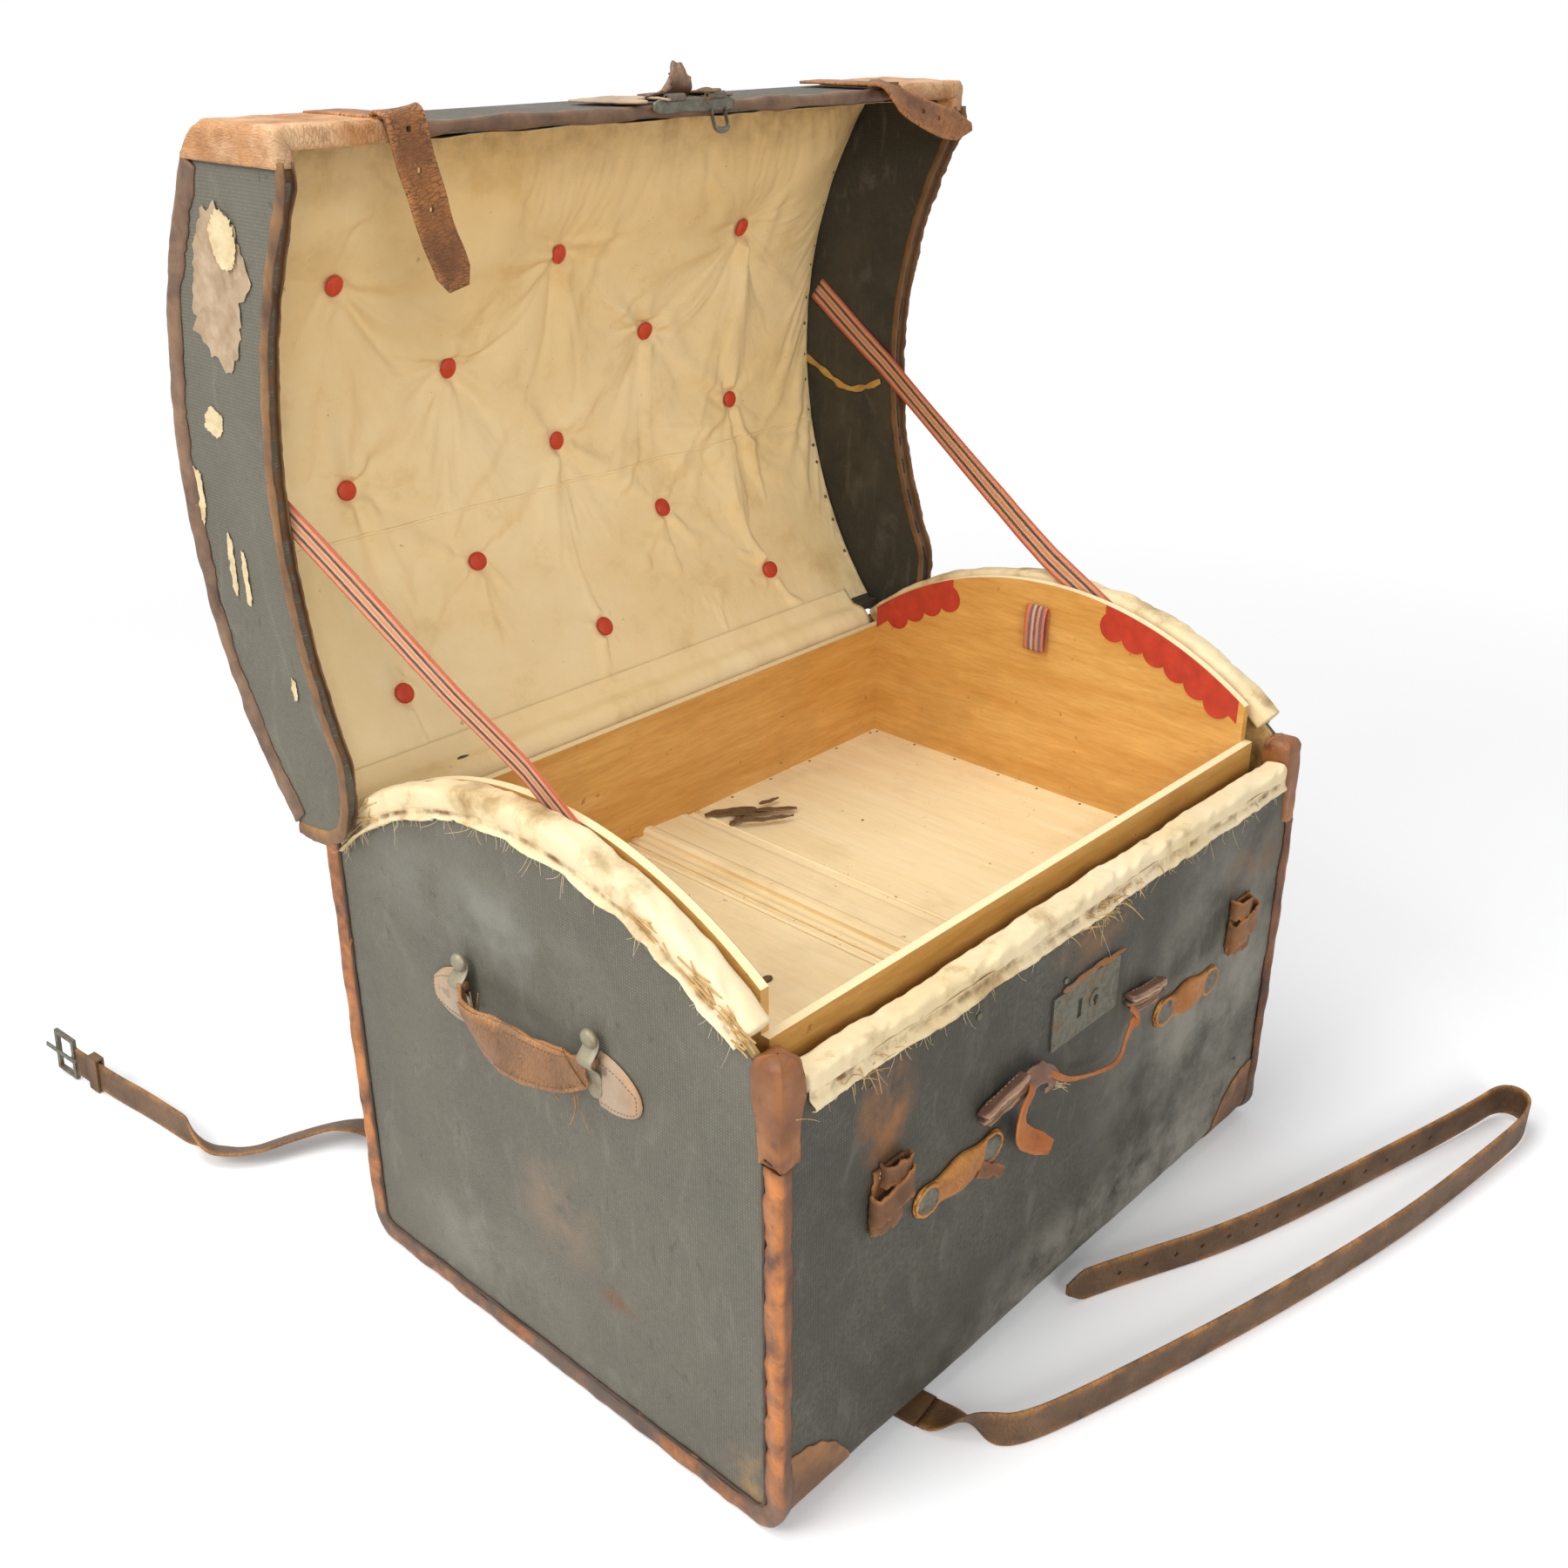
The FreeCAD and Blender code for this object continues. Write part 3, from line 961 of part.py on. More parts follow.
def lid_straps():
    """Two straps over the lid's front edge: the parts fixed to the skirt and the free ends."""
    back = LID_DEPTH + BINDING_THICK + SEAT_GAP
    anchors = []
    for x in LID_STRAP_X:
        a, b = x - LID_STRAP_WIDTH / 2, x + LID_STRAP_WIDTH / 2
        low = -EDGE_PIVOT_DROP + LID_STRAP_EYE
        anchors.append(lid_box(a, b, back, back + LID_STRAP_THICK, low, low + ANCHOR_LENGTH * 0.8))
    save("lid_strap_anchors", [open_lid(s) for s in anchors])

    at = open_lid(Part.Vertex(edge_pivot())).Point
    left = hanging_strap(LID_STRAP_LENGTH)
    left.translate(Vector(LID_STRAP_X[0], at.y, at.z))
    save("lid_strap_left", left)
    right = hanging_strap(RIGHT_STRAP_LENGTH)
    right.rotate(Vector(0, 0, -LID_STRAP_WIDTH / 2), Vector(0, -1, 0), RIGHT_STRAP_LEAN)
    right = right.cut(box(-50, 50, -10, 10, 0, 50))
    right.translate(Vector(LID_STRAP_X[1] - LID_STRAP_WIDTH / 2, at.y, at.z))
    save("lid_strap_right", right)


# ---------------------------------------------------------------- long strap on the floor
def ribbon_outline(points, half, place):
    """Flat ribbon of half-width half along a route: straight runs joined by tangent arcs."""
    def unit(p, q):
        length = math.hypot(q[0] - p[0], q[1] - p[1])
        return ((q[0] - p[0]) / length, (q[1] - p[1]) / length), length

    runs = [unit(points[i], points[i + 1]) for i in range(len(points) - 1)]
    sides = {1: [], -1: []}
    last = {1: None, -1: None}
    for s in (1, -1):
        d = runs[0][0]
        last[s] = (points[0][0] - s * half * d[1], points[0][1] + s * half * d[0])
    first = dict(last)
    radii = []
    for i in range(1, len(points) - 1):
        (d0, l0), (d1, l1) = runs[i - 1], runs[i]
        turn = math.atan2(d0[0] * d1[1] - d0[1] * d1[0], d0[0] * d1[0] + d0[1] * d1[1])
        cut = 0.45 * min(l0, l1)
        radius = cut / math.tan(abs(turn) / 2)
        radii.append(radius)
        way = 1 if turn > 0 else -1
        p0 = (points[i][0] - cut * d0[0], points[i][1] - cut * d0[1])
        p1 = (points[i][0] + cut * d1[0], points[i][1] + cut * d1[1])
        centre = (p0[0] - way * radius * d0[1], p0[1] + way * radius * d0[0])
        bisect = unit(centre, points[i])[0]
        for s in (1, -1):
            r = radius - way * s * half
            a = (p0[0] - s * half * d0[1], p0[1] + s * half * d0[0])
            b = (p1[0] - s * half * d1[1], p1[1] + s * half * d1[0])
            m = (centre[0] + r * bisect[0], centre[1] + r * bisect[1])
            sides[s].append(line(place(last[s]), place(a)))
            sides[s].append(arc(place(a), place(m), place(b)))
            last[s] = b
    for s in (1, -1):
        d = runs[-1][0]
        end = (points[-1][0] - s * half * d[1], points[-1][1] + s * half * d[0])
        sides[s].append(line(place(last[s]), place(end)))
        last[s] = end
    caps = [line(place(first[1]), place(first[-1])), line(place(last[1]), place(last[-1]))]
    print("route of %d points, smallest radius %.1f mm" % (len(points), min(radii)))
    return face(sides[1] + sides[-1] + caps)


def on_floor(p):
    return Vector(p[0], p[1], FLOOR_GAP)


def cross_section(at, direction, width, thick, upright):
    """Strap section at a floor point: lying flat, or standing on edge."""
    length = math.hypot(*direction)
    side = Vector(-direction[1] / length, direction[0] / length, 0)
    base = Vector(at[0], at[1], FLOOR_GAP)
    if upright:
        a = side * (thick / 2)
        up = Vector(0, 0, width)
        ring = [base.sub(a), base.sub(a).add(up), base.add(a).add(up), base.add(a)]
    else:
        a = side * (width / 2)
        up = Vector(0, 0, thick)
        ring = [base.sub(a), base.add(a), base.add(a).add(up), base.sub(a).add(up)]
        ring = [ring[1], ring[0], ring[3], ring[2]]
    return Part.makePolygon(ring + [ring[0]])


def long_strap():
    """Strap under the trunk: flat beneath it, on edge in front, flat behind, with its buckle."""
    half = STRAP_WIDTH / 2
    a, b = STRAP_FRONT_EXIT, STRAP_BACK_EXIT
    d = (a[0] - b[0], a[1] - b[1])
    length = math.hypot(*d)
    n = (-d[1] / length * half, d[0] / length * half)
    a = (a[0] - d[0] / length * SEAT_GAP, a[1] - d[1] / length * SEAT_GAP)
    b = (b[0] + d[0] / length * SEAT_GAP, b[1] + d[1] / length * SEAT_GAP)
    ring = [on_floor((a[0] + n[0], a[1] + n[1])), on_floor((b[0] + n[0], b[1] + n[1])),
            on_floor((b[0] - n[0], b[1] - n[1])), on_floor((a[0] - n[0], a[1] - n[1]))]
    save("strap_under", polygon(ring).extrude(Vector(0, 0, STRAP_THICK)))

    route = STRAP_FRONT_ROUTE
    first_run = (route[1][0] - route[0][0], route[1][1] - route[0][1])
    twist = Part.makeLoft([cross_section(STRAP_FRONT_EXIT, d, STRAP_WIDTH, STRAP_THICK, False),
                           cross_section(route[0], first_run, STRAP_WIDTH, STRAP_THICK, True)], True, True)
    band = ribbon_outline(route, STRAP_THICK / 2, on_floor).extrude(Vector(0, 0, STRAP_WIDTH))
    tip, before = route[-1], route[-2]
    back = (before[0] - tip[0], before[1] - tip[1])
    reach = math.hypot(*back)
    for corner in (0, 1):
        z = FLOOR_GAP + corner * STRAP_WIDTH
        rise = STRAP_WIDTH / 3 * (-1 if corner else 1)
        p = Vector(tip[0], tip[1], z)
        q = Vector(tip[0] + back[0] / reach * half, tip[1] + back[1] / reach * half, z)
        wedge = polygon([p, q, p.add(Vector(0, 0, rise))])
        side = Vector(-back[1] / reach, back[0] / reach, 0) * STRAP_THICK
        band = band.cut(wedge.extrude(side * 2).fuse(wedge.extrude(side * -2)))
    holes = []
    start = int(len(route) * 0.62)
    far = [route[i] for i in range(start, len(route))]
    total = sum(math.dist(far[i], far[i + 1]) for i in range(len(far) - 1))
    for i in range(FRONT_STRAP_HOLES):
        want = total * (FRONT_STRAP_HOLE_START + (0.97 - FRONT_STRAP_HOLE_START) * i / FRONT_STRAP_HOLES)
        k = 0
        while want > math.dist(far[k], far[k + 1]):
            want -= math.dist(far[k], far[k + 1])
            k += 1
        run = math.dist(far[k], far[k + 1])
        u = ((far[k + 1][0] - far[k][0]) / run, (far[k + 1][1] - far[k][1]) / run)
        at = Vector(far[k][0] + u[0] * want, far[k][1] + u[1] * want, FLOOR_GAP + half)
        normal = Vector(-u[1], u[0], 0)
        holes.append(Part.makeCylinder(HOLE_RADIUS, 30.0, at.sub(normal * 15.0), normal))
    band = band.cut(Part.makeCompound(holes))
    save("strap_front", [twist, band])

    flat, edge = STRAP_BACK_FLAT, STRAP_BACK_EDGE
    strap = ribbon_outline(flat, half, on_floor).extrude(Vector(0, 0, STRAP_THICK))
    last_flat = (flat[-1][0] - flat[-2][0], flat[-1][1] - flat[-2][1])
    first_edge = (edge[1][0] - edge[0][0], edge[1][1] - edge[0][1])
    twist = Part.makeLoft([cross_section(flat[-1], last_flat, STRAP_WIDTH, STRAP_THICK, False),
                           cross_section(edge[0], first_edge, STRAP_WIDTH, STRAP_THICK, True)], True, True)
    band = ribbon_outline(edge, STRAP_THICK / 2, on_floor).extrude(Vector(0, 0, STRAP_WIDTH))
    end = strap_end(edge[-1], (edge[-1][0] - edge[-2][0], edge[-1][1] - edge[-2][1]))
    save("strap_back", [strap, twist, band, end])


def strap_end(at, direction):
    """Folded end of the strap with its keeper, buckle and prong, drawn along +Y on edge and set in place."""
    turn = -math.degrees(math.atan2(direction[0], direction[1]))
    start = Vector(at[0], at[1], FLOOR_GAP)

    def placed(shape):
        shape.rotate(Vector(0, 0, 0), Vector(1, 0, 0), STRAP_END_RISE)
        shape.rotate(Vector(0, 0, 0), Vector(0, 0, 1), turn)
        shape.translate(start)
        return shape

    t, length, middle, rod = STRAP_THICK, STRAP_END_LENGTH, STRAP_WIDTH / 2, BUCKLE_ROD / 2
    lead = STRAP_WIDTH * math.tan(math.radians(STRAP_END_RISE)) + 0.2
    strip = box(-t / 2, t / 2, lead, length, 0, STRAP_WIDTH)
    fold = box(-t * 1.5, -t / 2, length - FOLD_LENGTH, length, 0, STRAP_WIDTH)
    slot = PRONG_WIDTH / 2 + 0.6
    folded = strip.fuse(fold).cut(box(-20, 20, length - PRONG_EYE + 1.0, length + 1, middle - slot, middle + slot))
    folded = placed(folded.removeSplitter())

    x, y = -t / 2, length + rod + 0.4
    low, high = middle - BUCKLE_WIDTH / 2, middle + BUCKLE_WIDTH / 2
    frame = box(x - rod, x + rod, y - rod, y - rod + BUCKLE_LENGTH, low, high)
    frame = frame.cut(box(x - 20, x + 20, y + rod, y - rod + BUCKLE_LENGTH - BUCKLE_ROD,
                          low + BUCKLE_ROD, high - BUCKLE_ROD))
    gap = PRONG_WIDTH / 2 + 0.5
    frame = frame.cut(box(x - 20, x + 20, y - rod, y + rod, middle - gap, middle + gap))
    bar = Part.makeCylinder(rod * 0.9, 2 * gap, Vector(x, y, middle - gap), Vector(0, 0, 1))
    save("buckle_frame", placed(frame.fuse(bar).removeSplitter()))

    bottom = middle - PRONG_WIDTH / 2
    prong = Part.makeCylinder(PRONG_EYE, PRONG_WIDTH, Vector(x, y, bottom), Vector(0, 0, 1))
    prong = prong.fuse(box(x - PRONG_EYE, x - rod - 0.4, y, y + PRONG_LENGTH, bottom, bottom + PRONG_WIDTH))
    prong = prong.cut(Part.makeCylinder(rod * 0.9 + 0.1, PRONG_WIDTH, Vector(x, y, bottom), Vector(0, 0, 1)))
    save("buckle_prong", placed(prong.removeSplitter()))
    for name, spot in (("prong axis from", Vector(x, y, 0)), ("prong axis to", Vector(x, y, STRAP_WIDTH))):
        print(name, [round(c, 3) for c in placed(Part.Vertex(spot)).Point])

    y1 = length - FOLD_LENGTH - 1.0
    gap = KEEPER_GAP
    keeper = box(-t / 2 - gap - LEATHER, t / 2 + gap + LEATHER, y1 - KEEPER_WIDTH, y1,
                 -gap - LEATHER, STRAP_WIDTH + gap + LEATHER)
    keeper = keeper.cut(box(-t / 2 - gap, t / 2 + gap, y1 - KEEPER_WIDTH, y1, -gap, STRAP_WIDTH + gap))
    save("buckle_keeper", placed(keeper))
    return folded


body_walls()
body_canvas()
body_lining()
rims()
body_leather()
runners()
lid_shell()
lid_lining()
lid_leather()
hinges()
tray()
lock()
strap_loops()
front_chapes()
broken_handle()
end_handles()
stays()
hasp()
lid_straps()
long_strap()
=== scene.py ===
"""Dome top trunk, dressed around its CAD frame: tarred canvas, leather edges, a quilted lid lining,
a wooden tray, webbing stays and a long floor strap. Lengths are in millimetres until a mesh is made."""
import math

import bmesh
import bpy
import numpy as np
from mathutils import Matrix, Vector


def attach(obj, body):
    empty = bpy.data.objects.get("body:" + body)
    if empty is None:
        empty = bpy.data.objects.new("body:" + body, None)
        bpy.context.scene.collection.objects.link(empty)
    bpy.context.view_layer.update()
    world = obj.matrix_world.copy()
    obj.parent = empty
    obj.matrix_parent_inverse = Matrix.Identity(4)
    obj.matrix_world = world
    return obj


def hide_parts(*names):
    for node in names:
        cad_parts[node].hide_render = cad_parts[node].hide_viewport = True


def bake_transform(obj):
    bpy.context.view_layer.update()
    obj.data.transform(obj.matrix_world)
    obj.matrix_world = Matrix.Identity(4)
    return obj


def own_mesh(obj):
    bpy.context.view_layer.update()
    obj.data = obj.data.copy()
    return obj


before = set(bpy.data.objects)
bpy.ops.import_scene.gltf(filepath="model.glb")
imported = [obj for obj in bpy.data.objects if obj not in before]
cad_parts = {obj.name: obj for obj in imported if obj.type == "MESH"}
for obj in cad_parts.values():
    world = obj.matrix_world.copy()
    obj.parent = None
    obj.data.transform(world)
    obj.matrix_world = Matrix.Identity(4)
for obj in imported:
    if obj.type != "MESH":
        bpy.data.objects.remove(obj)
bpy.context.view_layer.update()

MM = 0.001
TAU = 2 * math.pi

# ---------------------------------------------------------------- sizes shared with the frame, in mm
HALF_LENGTH, HALF_DEPTH, FLOOR_LINE = 360.0, 260.0, 4.0
FRONT_TOP, BACK_TOP, WALL_CORE = 399.0, 430.0, 5.2
HINGE_Y, HINGE_Z = 264.0, 436.0
RIM_INNER, RIM_MIDDLE, RIM_CENTRE_Z = 362.0, 373.0, 152.0
BOTTOM_RADIUS = 28.0
DOME_S, DOME_T, DOME_RADIUS = 280.49, -320.65, 436.65
SKIRT_DROP = 78.0
LID_OUTER_HALF = 375.0
EDGE_S, EDGE_PEAK, EDGE_RADIUS = 275.0, -12.0, 452.0
LOOP_X = (-242.0, 274.0)
LID_STRAP_X = (-246.0, 270.0)
CHAPE_X, CHAPE_Z = (-156.0, 188.0), 231.0
EYE_X, EYE_Y, EYE_Z = 369.4, 77.0, 360.0
TRAY_TOP = 308.4
STRAP_WIDE, STRAP_THICK = 35.0, 3.2
SIDES, ENDS = ((-1, "left"), (1, "right")), ((-1, "front"), (1, "back"))
FACE = np.array([0.0, -1.0, 0.0])


# ---------------------------------------------------------------- lines and fields
def unit(vectors):
    """Rows scaled to length 1."""
    return vectors / np.maximum(np.linalg.norm(vectors, axis=-1, keepdims=True), 1e-9)


def joined(*parts):
    """Numbers and arrays made the same shape and put side by side along a last axis."""
    return np.stack(np.broadcast_arrays(*parts), -1)


def lengths(line):
    """How far along a line each of its points is."""
    return np.concatenate([[0], np.cumsum(np.linalg.norm(np.diff(line, axis=0), axis=1))])


def read_off(want, along, rows):
    """Rows of numbers known at the places along, read off at the places wanted."""
    return np.stack([np.interp(want, along, column) for column in rows.T], -1)


def directions(spine):
    """Unit tangents of a line of points."""
    return unit(np.gradient(spine, axis=0))


def waves(points, length, seed, octaves=3):
    """Smooth random field: sums of sines in random directions, each octave half as long and half as high."""
    rng = np.random.default_rng(seed)
    total = np.zeros(points.shape[:-1])
    for octave in range(octaves):
        turn = rng.normal(size=(7, 3))
        turn *= (TAU / length * 2 ** octave) / np.linalg.norm(turn, axis=1, keepdims=True)
        total += np.sin(points @ turn.T + rng.uniform(0, TAU, 7)).sum(-1) / 3.7 / 2 ** octave
    return total


def pinches(points, length, seed):
    """Sharp folds: one minus the absolute value of a smooth random field, with its mean taken off."""
    return 0.55 - np.abs(waves(points, length, seed, 2))


def smooth_line(points, count):
    """Even points on the curve that passes through the given ones (Catmull-Rom, resampled by length)."""
    p = np.asarray(points, float)
    p = np.vstack([2 * p[0] - p[1], p, 2 * p[-1] - p[-2]])
    t = np.linspace(0, 1, 24, endpoint=False)[:, None]
    spans = [0.5 * (2 * b + (c - a) * t + (2 * a - 5 * b + 4 * c - d) * t ** 2 + (3 * b - a - 3 * c + d) * t ** 3)
             for a, b, c, d in zip(p, p[1:], p[2:], p[3:])]
    line = np.vstack(spans + [p[-2:-1]])
    along = lengths(line)
    return read_off(np.linspace(0, along[-1], count), along, line)


def oval(half_wide, half_high, count):
    """Points round an ellipse: (a cos, b sin)."""
    turn = np.linspace(0, TAU, count, endpoint=False)
    return joined(half_wide * np.cos(turn), half_high * np.sin(turn))


def blunt(turn, power):
    """Points round a square with rounded corners: sign(cos) |cos|^power, and the same with sin."""
    return joined(*[np.sign(wave) * np.abs(wave) ** power for wave in (np.cos(turn), np.sin(turn))])


def strap_ring(width, thick):
    """Section of a strap: flat faces, rounded edges, offsets (across, through) in order round it."""
    u = np.linspace(-1, 1, 9)
    half, t = width / 2, thick / 2
    right = np.array([[half, t * 0.35], [half, -t * 0.35]])
    return np.vstack([joined(u * (half - 0.8), t), right, joined(u[::-1] * (half - 0.8), -t), -right])


def at_x(x, flat):
    """Points (y, z) put at one x, or at an array of them."""
    return np.concatenate([np.broadcast_to(x, flat.shape[:-1])[..., None], flat], -1)


def tub_path(proud, front_top, back_top, step=7.0):
    """Body's outline seen from its end, set proud of the canvas: points (y, z) down the front, round the bottom
    and up the back, and their outward normals. Corners are quarter circles: centre - R * (cos, sin)."""
    reach, bend = HALF_DEPTH - BOTTOM_RADIUS, FLOOR_LINE + BOTTOM_RADIUS
    turn = np.linspace(0, math.pi / 2, 9)[1:-1]
    down = np.linspace(front_top, bend, int((front_top - bend) / step))
    level = np.linspace(-reach, reach, int(2 * reach / step))
    up = np.linspace(bend, back_top, int((back_top - bend) / step))
    one = [np.ones(len(a)) for a in (down, level, up)]
    ny = np.concatenate([-one[0], -np.cos(turn), 0 * one[1], np.sin(turn), one[2]])
    nz = np.concatenate([0 * one[0], -np.sin(turn), -one[1], -np.cos(turn), 0 * one[2]])
    y = np.concatenate([-HALF_DEPTH * one[0], -reach - BOTTOM_RADIUS * np.cos(turn), level,
                        reach + BOTTOM_RADIUS * np.sin(turn), HALF_DEPTH * one[2]])
    z = np.concatenate([down, bend - BOTTOM_RADIUS * np.sin(turn), FLOOR_LINE * one[1],
                        bend - BOTTOM_RADIUS * np.cos(turn), up])
    return joined(y + proud * ny, z + proud * nz), joined(ny, nz)


# ---------------------------------------------------------------- meshes from arrays
def mesh_piece(name, points, faces, material, body, uv=None, edge=None, replaces=()):
    """Put points (mm) and faces in a mesh that rides on a body, with a map in metres and an edge-wear value."""
    mesh = bpy.data.meshes.new(name)
    mesh.from_pydata((np.asarray(points, float) * MM).tolist(), [], [list(f) for f in faces])
    loops = np.zeros(len(mesh.loops), np.int32)
    mesh.loops.foreach_get("vertex_index", loops)
    flat = np.zeros((len(points), 2)) if uv is None else np.asarray(uv, float) * MM
    mesh.uv_layers.new(name="UVMap").uv.foreach_set("vector", flat[loops].astype(np.float32).ravel())
    worn = np.zeros(len(points)) if edge is None else np.clip(edge, 0, 1)
    mesh.attributes.new("wear", "FLOAT", "POINT").data.foreach_set("value", worn.astype(np.float32))
    mesh.polygons.foreach_set("use_smooth", np.full(len(mesh.polygons), True))
    mesh.materials.append(material)
    mesh.update()
    piece = bpy.data.objects.new(name, mesh)
    bpy.context.scene.collection.objects.link(piece)
    if body:
        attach(piece, body)
    if replaces:
        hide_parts(*replaces)
    return piece


def lattice(rows, columns, wrap_rows=False, wrap_columns=False, flip=False):
    """Quads of a grid of points, as one index array."""
    i = np.arange(rows if wrap_rows else rows - 1)
    j = np.arange(columns if wrap_columns else columns - 1)
    i, j = [a.ravel() for a in np.meshgrid(i, j, indexing="ij")]
    a, b = i * columns + j, (i + 1) % rows * columns + j
    c, d = (i + 1) % rows * columns + (j + 1) % columns, i * columns + (j + 1) % columns
    quads = joined(a, b, c, d)
    return quads[:, ::-1] if flip else quads


def tube(rows, columns):
    """Faces of a tube of rings, closed at both ends."""
    return [*lattice(rows, columns, False, True), range(columns),
            range(rows * columns - 1, (rows - 1) * columns - 1, -1)]


def outward(piece):
    """Turn the faces of a closed piece outwards."""
    b = bmesh.new()
    b.from_mesh(piece.data)
    bmesh.ops.recalc_face_normals(b, faces=b.faces)
    b.to_mesh(piece.data)
    b.free()
    return piece


def settle(piece):
    """Apply a piece's modifiers to its mesh."""
    evaluated = piece.evaluated_get(bpy.context.evaluated_depsgraph_get())
    mesh = bpy.data.meshes.new_from_object(evaluated, preserve_all_data_layers=True,
                                           depsgraph=bpy.context.evaluated_depsgraph_get())
    piece.modifiers.clear()
    piece.data = mesh


def smooth_finish(piece):
    """Subdivision surface, the same in views and renders."""
    soften = piece.modifiers.new("smooth", "SUBSURF")
    soften.levels = soften.render_levels = 1


def sheet_piece(name, grid, uv, material, body, thick=0.0, flip=False, edge=None, replaces=()):
    """A grid of points (rows, columns, 3) as a surface, given a wall on its inner side where thick is set."""
    rows, columns = grid.shape[:2]
    piece = mesh_piece(name, grid.reshape(-1, 3), lattice(rows, columns, flip=flip), material, body,
                       uv.reshape(-1, 2), None if edge is None else np.broadcast_to(edge, (rows, columns)).ravel(),
                       replaces=replaces)
    if thick:
        wall = piece.modifiers.new("wall", "SOLIDIFY")
        wall.thickness, wall.offset = thick * MM, -1
    return piece


def swept_piece(name, spine, side, out, profile, material, body, closed=False, lump=None, wear=0.0, replaces=()):
    """Closed profile carried along a spine: point = spine + across * side + through * out. The profile is
    (points, 2) or (spine, points, 2). A closed spine joins up with itself. lump (height, length, seed) pushes the
    surface out and in by a smooth random field."""
    rings = np.broadcast_to(profile, (len(spine),) + np.shape(profile)[-2:])
    side, out = np.broadcast_to(side, spine.shape), np.broadcast_to(out, spine.shape)
    grid = spine[:, None] + rings[..., :1] * side[:, None] + rings[..., 1:] * out[:, None]
    if lump:
        height, length, seed = lump
        away = unit(rings - rings.mean(1, keepdims=True))
        push = away[..., :1] * side[:, None] + away[..., 1:] * out[:, None]
        grid = grid + push * (waves(grid, length, seed) * height)[..., None]
    rows, columns = grid.shape[:2]
    uv = joined(lengths(spine)[:, None], rings[..., 0])
    faces = lattice(rows, columns, True, True) if closed else tube(rows, columns)
    return outward(mesh_piece(name, grid.reshape(-1, 3), faces, material, body, uv.reshape(-1, 2),
                              np.broadcast_to(wear, (rows, columns)).ravel(), replaces=replaces))


def strap_piece(name, spine, face_way, width, thick, material, body, taper=1.0, lump=(0.25, 60, 1), cup=0.0,
                replaces=()):
    """Strap along a spine. face_way points out of its face, taper is the share of the width at each point, and
    cup bends its edges off its middle."""
    forward = directions(spine)
    side = unit(np.cross(face_way, forward))
    ring = strap_ring(width, thick)
    rings = np.repeat(ring[None], len(spine), 0)
    rings[..., 0] *= np.broadcast_to(taper, len(spine))[:, None]
    rings[..., 1] += cup * (rings[..., 0] / (width / 2)) ** 2
    wear = np.abs(ring[:, 0]) / (width / 2)
    return swept_piece(name, spine, side, np.cross(forward, side), rings, material, body, wear=wear ** 3, lump=lump,
                       replaces=replaces)


def scattered(name, shape, places, axes, material, body, replaces=()):
    """One small shape repeated: each copy's points are place + point * its own three axes (rows of axes)."""
    points, faces = shape
    places = np.asarray(places, float)
    copies = places[:, None] + np.einsum("pk,nkc->npc", points, np.asarray(axes, float))
    start = (np.arange(len(places)) * len(points))[:, None]
    whole = [f for face in faces for f in np.array(face) + start]
    return outward(mesh_piece(name, copies.reshape(-1, 3), whole, material, body, replaces=replaces))


def bead(around=6, levels=4):
    """Low ellipsoid of radius 1: points (cos a cos b, sin a cos b, sin b) with closed poles, and its faces."""
    b = np.linspace(-math.pi / 2, math.pi / 2, levels + 1)[1:-1]
    a = np.linspace(0, TAU, around, endpoint=False)
    b, a = [v.ravel() for v in np.meshgrid(b, a, indexing="ij")]
    points = np.vstack([joined(np.cos(a) * np.cos(b), np.sin(a) * np.cos(b), np.sin(b)), [[0, 0, -1], [0, 0, 1]]])
    last = (levels - 2) * around
    faces = [*lattice(levels - 1, around, False, True)]
    faces += [((i + 1) % around, i, len(points) - 2) for i in range(around)]
    faces += [(last + i, last + (i + 1) % around, len(points) - 1) for i in range(around)]
    return points, faces


def strands(name, lines, radius, material, body, thin_end=0.5):
    """Threads or straws: lines (n, points, 3) with a small square section that thins towards its end."""
    count, steps = lines.shape[:2]
    forward = unit(np.gradient(lines, axis=1))
    side = unit(np.cross(forward, [0.31, 0.52, 0.8]))
    out = np.cross(forward, side)
    turn = np.linspace(0, TAU, 4, endpoint=False)
    size = np.linspace(1, thin_end, steps)[:, None, None] * np.broadcast_to(radius, (count,))[:, None, None, None]
    ring = np.cos(turn)[:, None] * side[:, :, None] + np.sin(turn)[:, None] * out[:, :, None]
    ends = np.array([range(4)[::-1], range(steps * 4 - 4, steps * 4)])
    faces = np.vstack([lattice(steps, 4, False, True), ends]) + (np.arange(count) * steps * 4)[:, None, None]
    return outward(mesh_piece(name, (lines[:, :, None] + ring * size).reshape(-1, 3), faces.reshape(-1, 4),
                              material, body))


def seam(name, line, normal, pitch, length, width, material, body):
    """Stitches along a line: beads laid end to end, lying on the surface whose normal is given."""
    along = lengths(line)
    want = np.arange(pitch / 2, along[-1], pitch)
    places, ahead = read_off(want, along, line), unit(read_off(want, along, directions(line)))
    up = unit(np.broadcast_to(normal, places.shape))
    axes = np.stack([ahead * length / 2, np.cross(up, ahead) * width / 2, up * width / 2], 1)
    return scattered(name, bead(), places, axes, material, body)


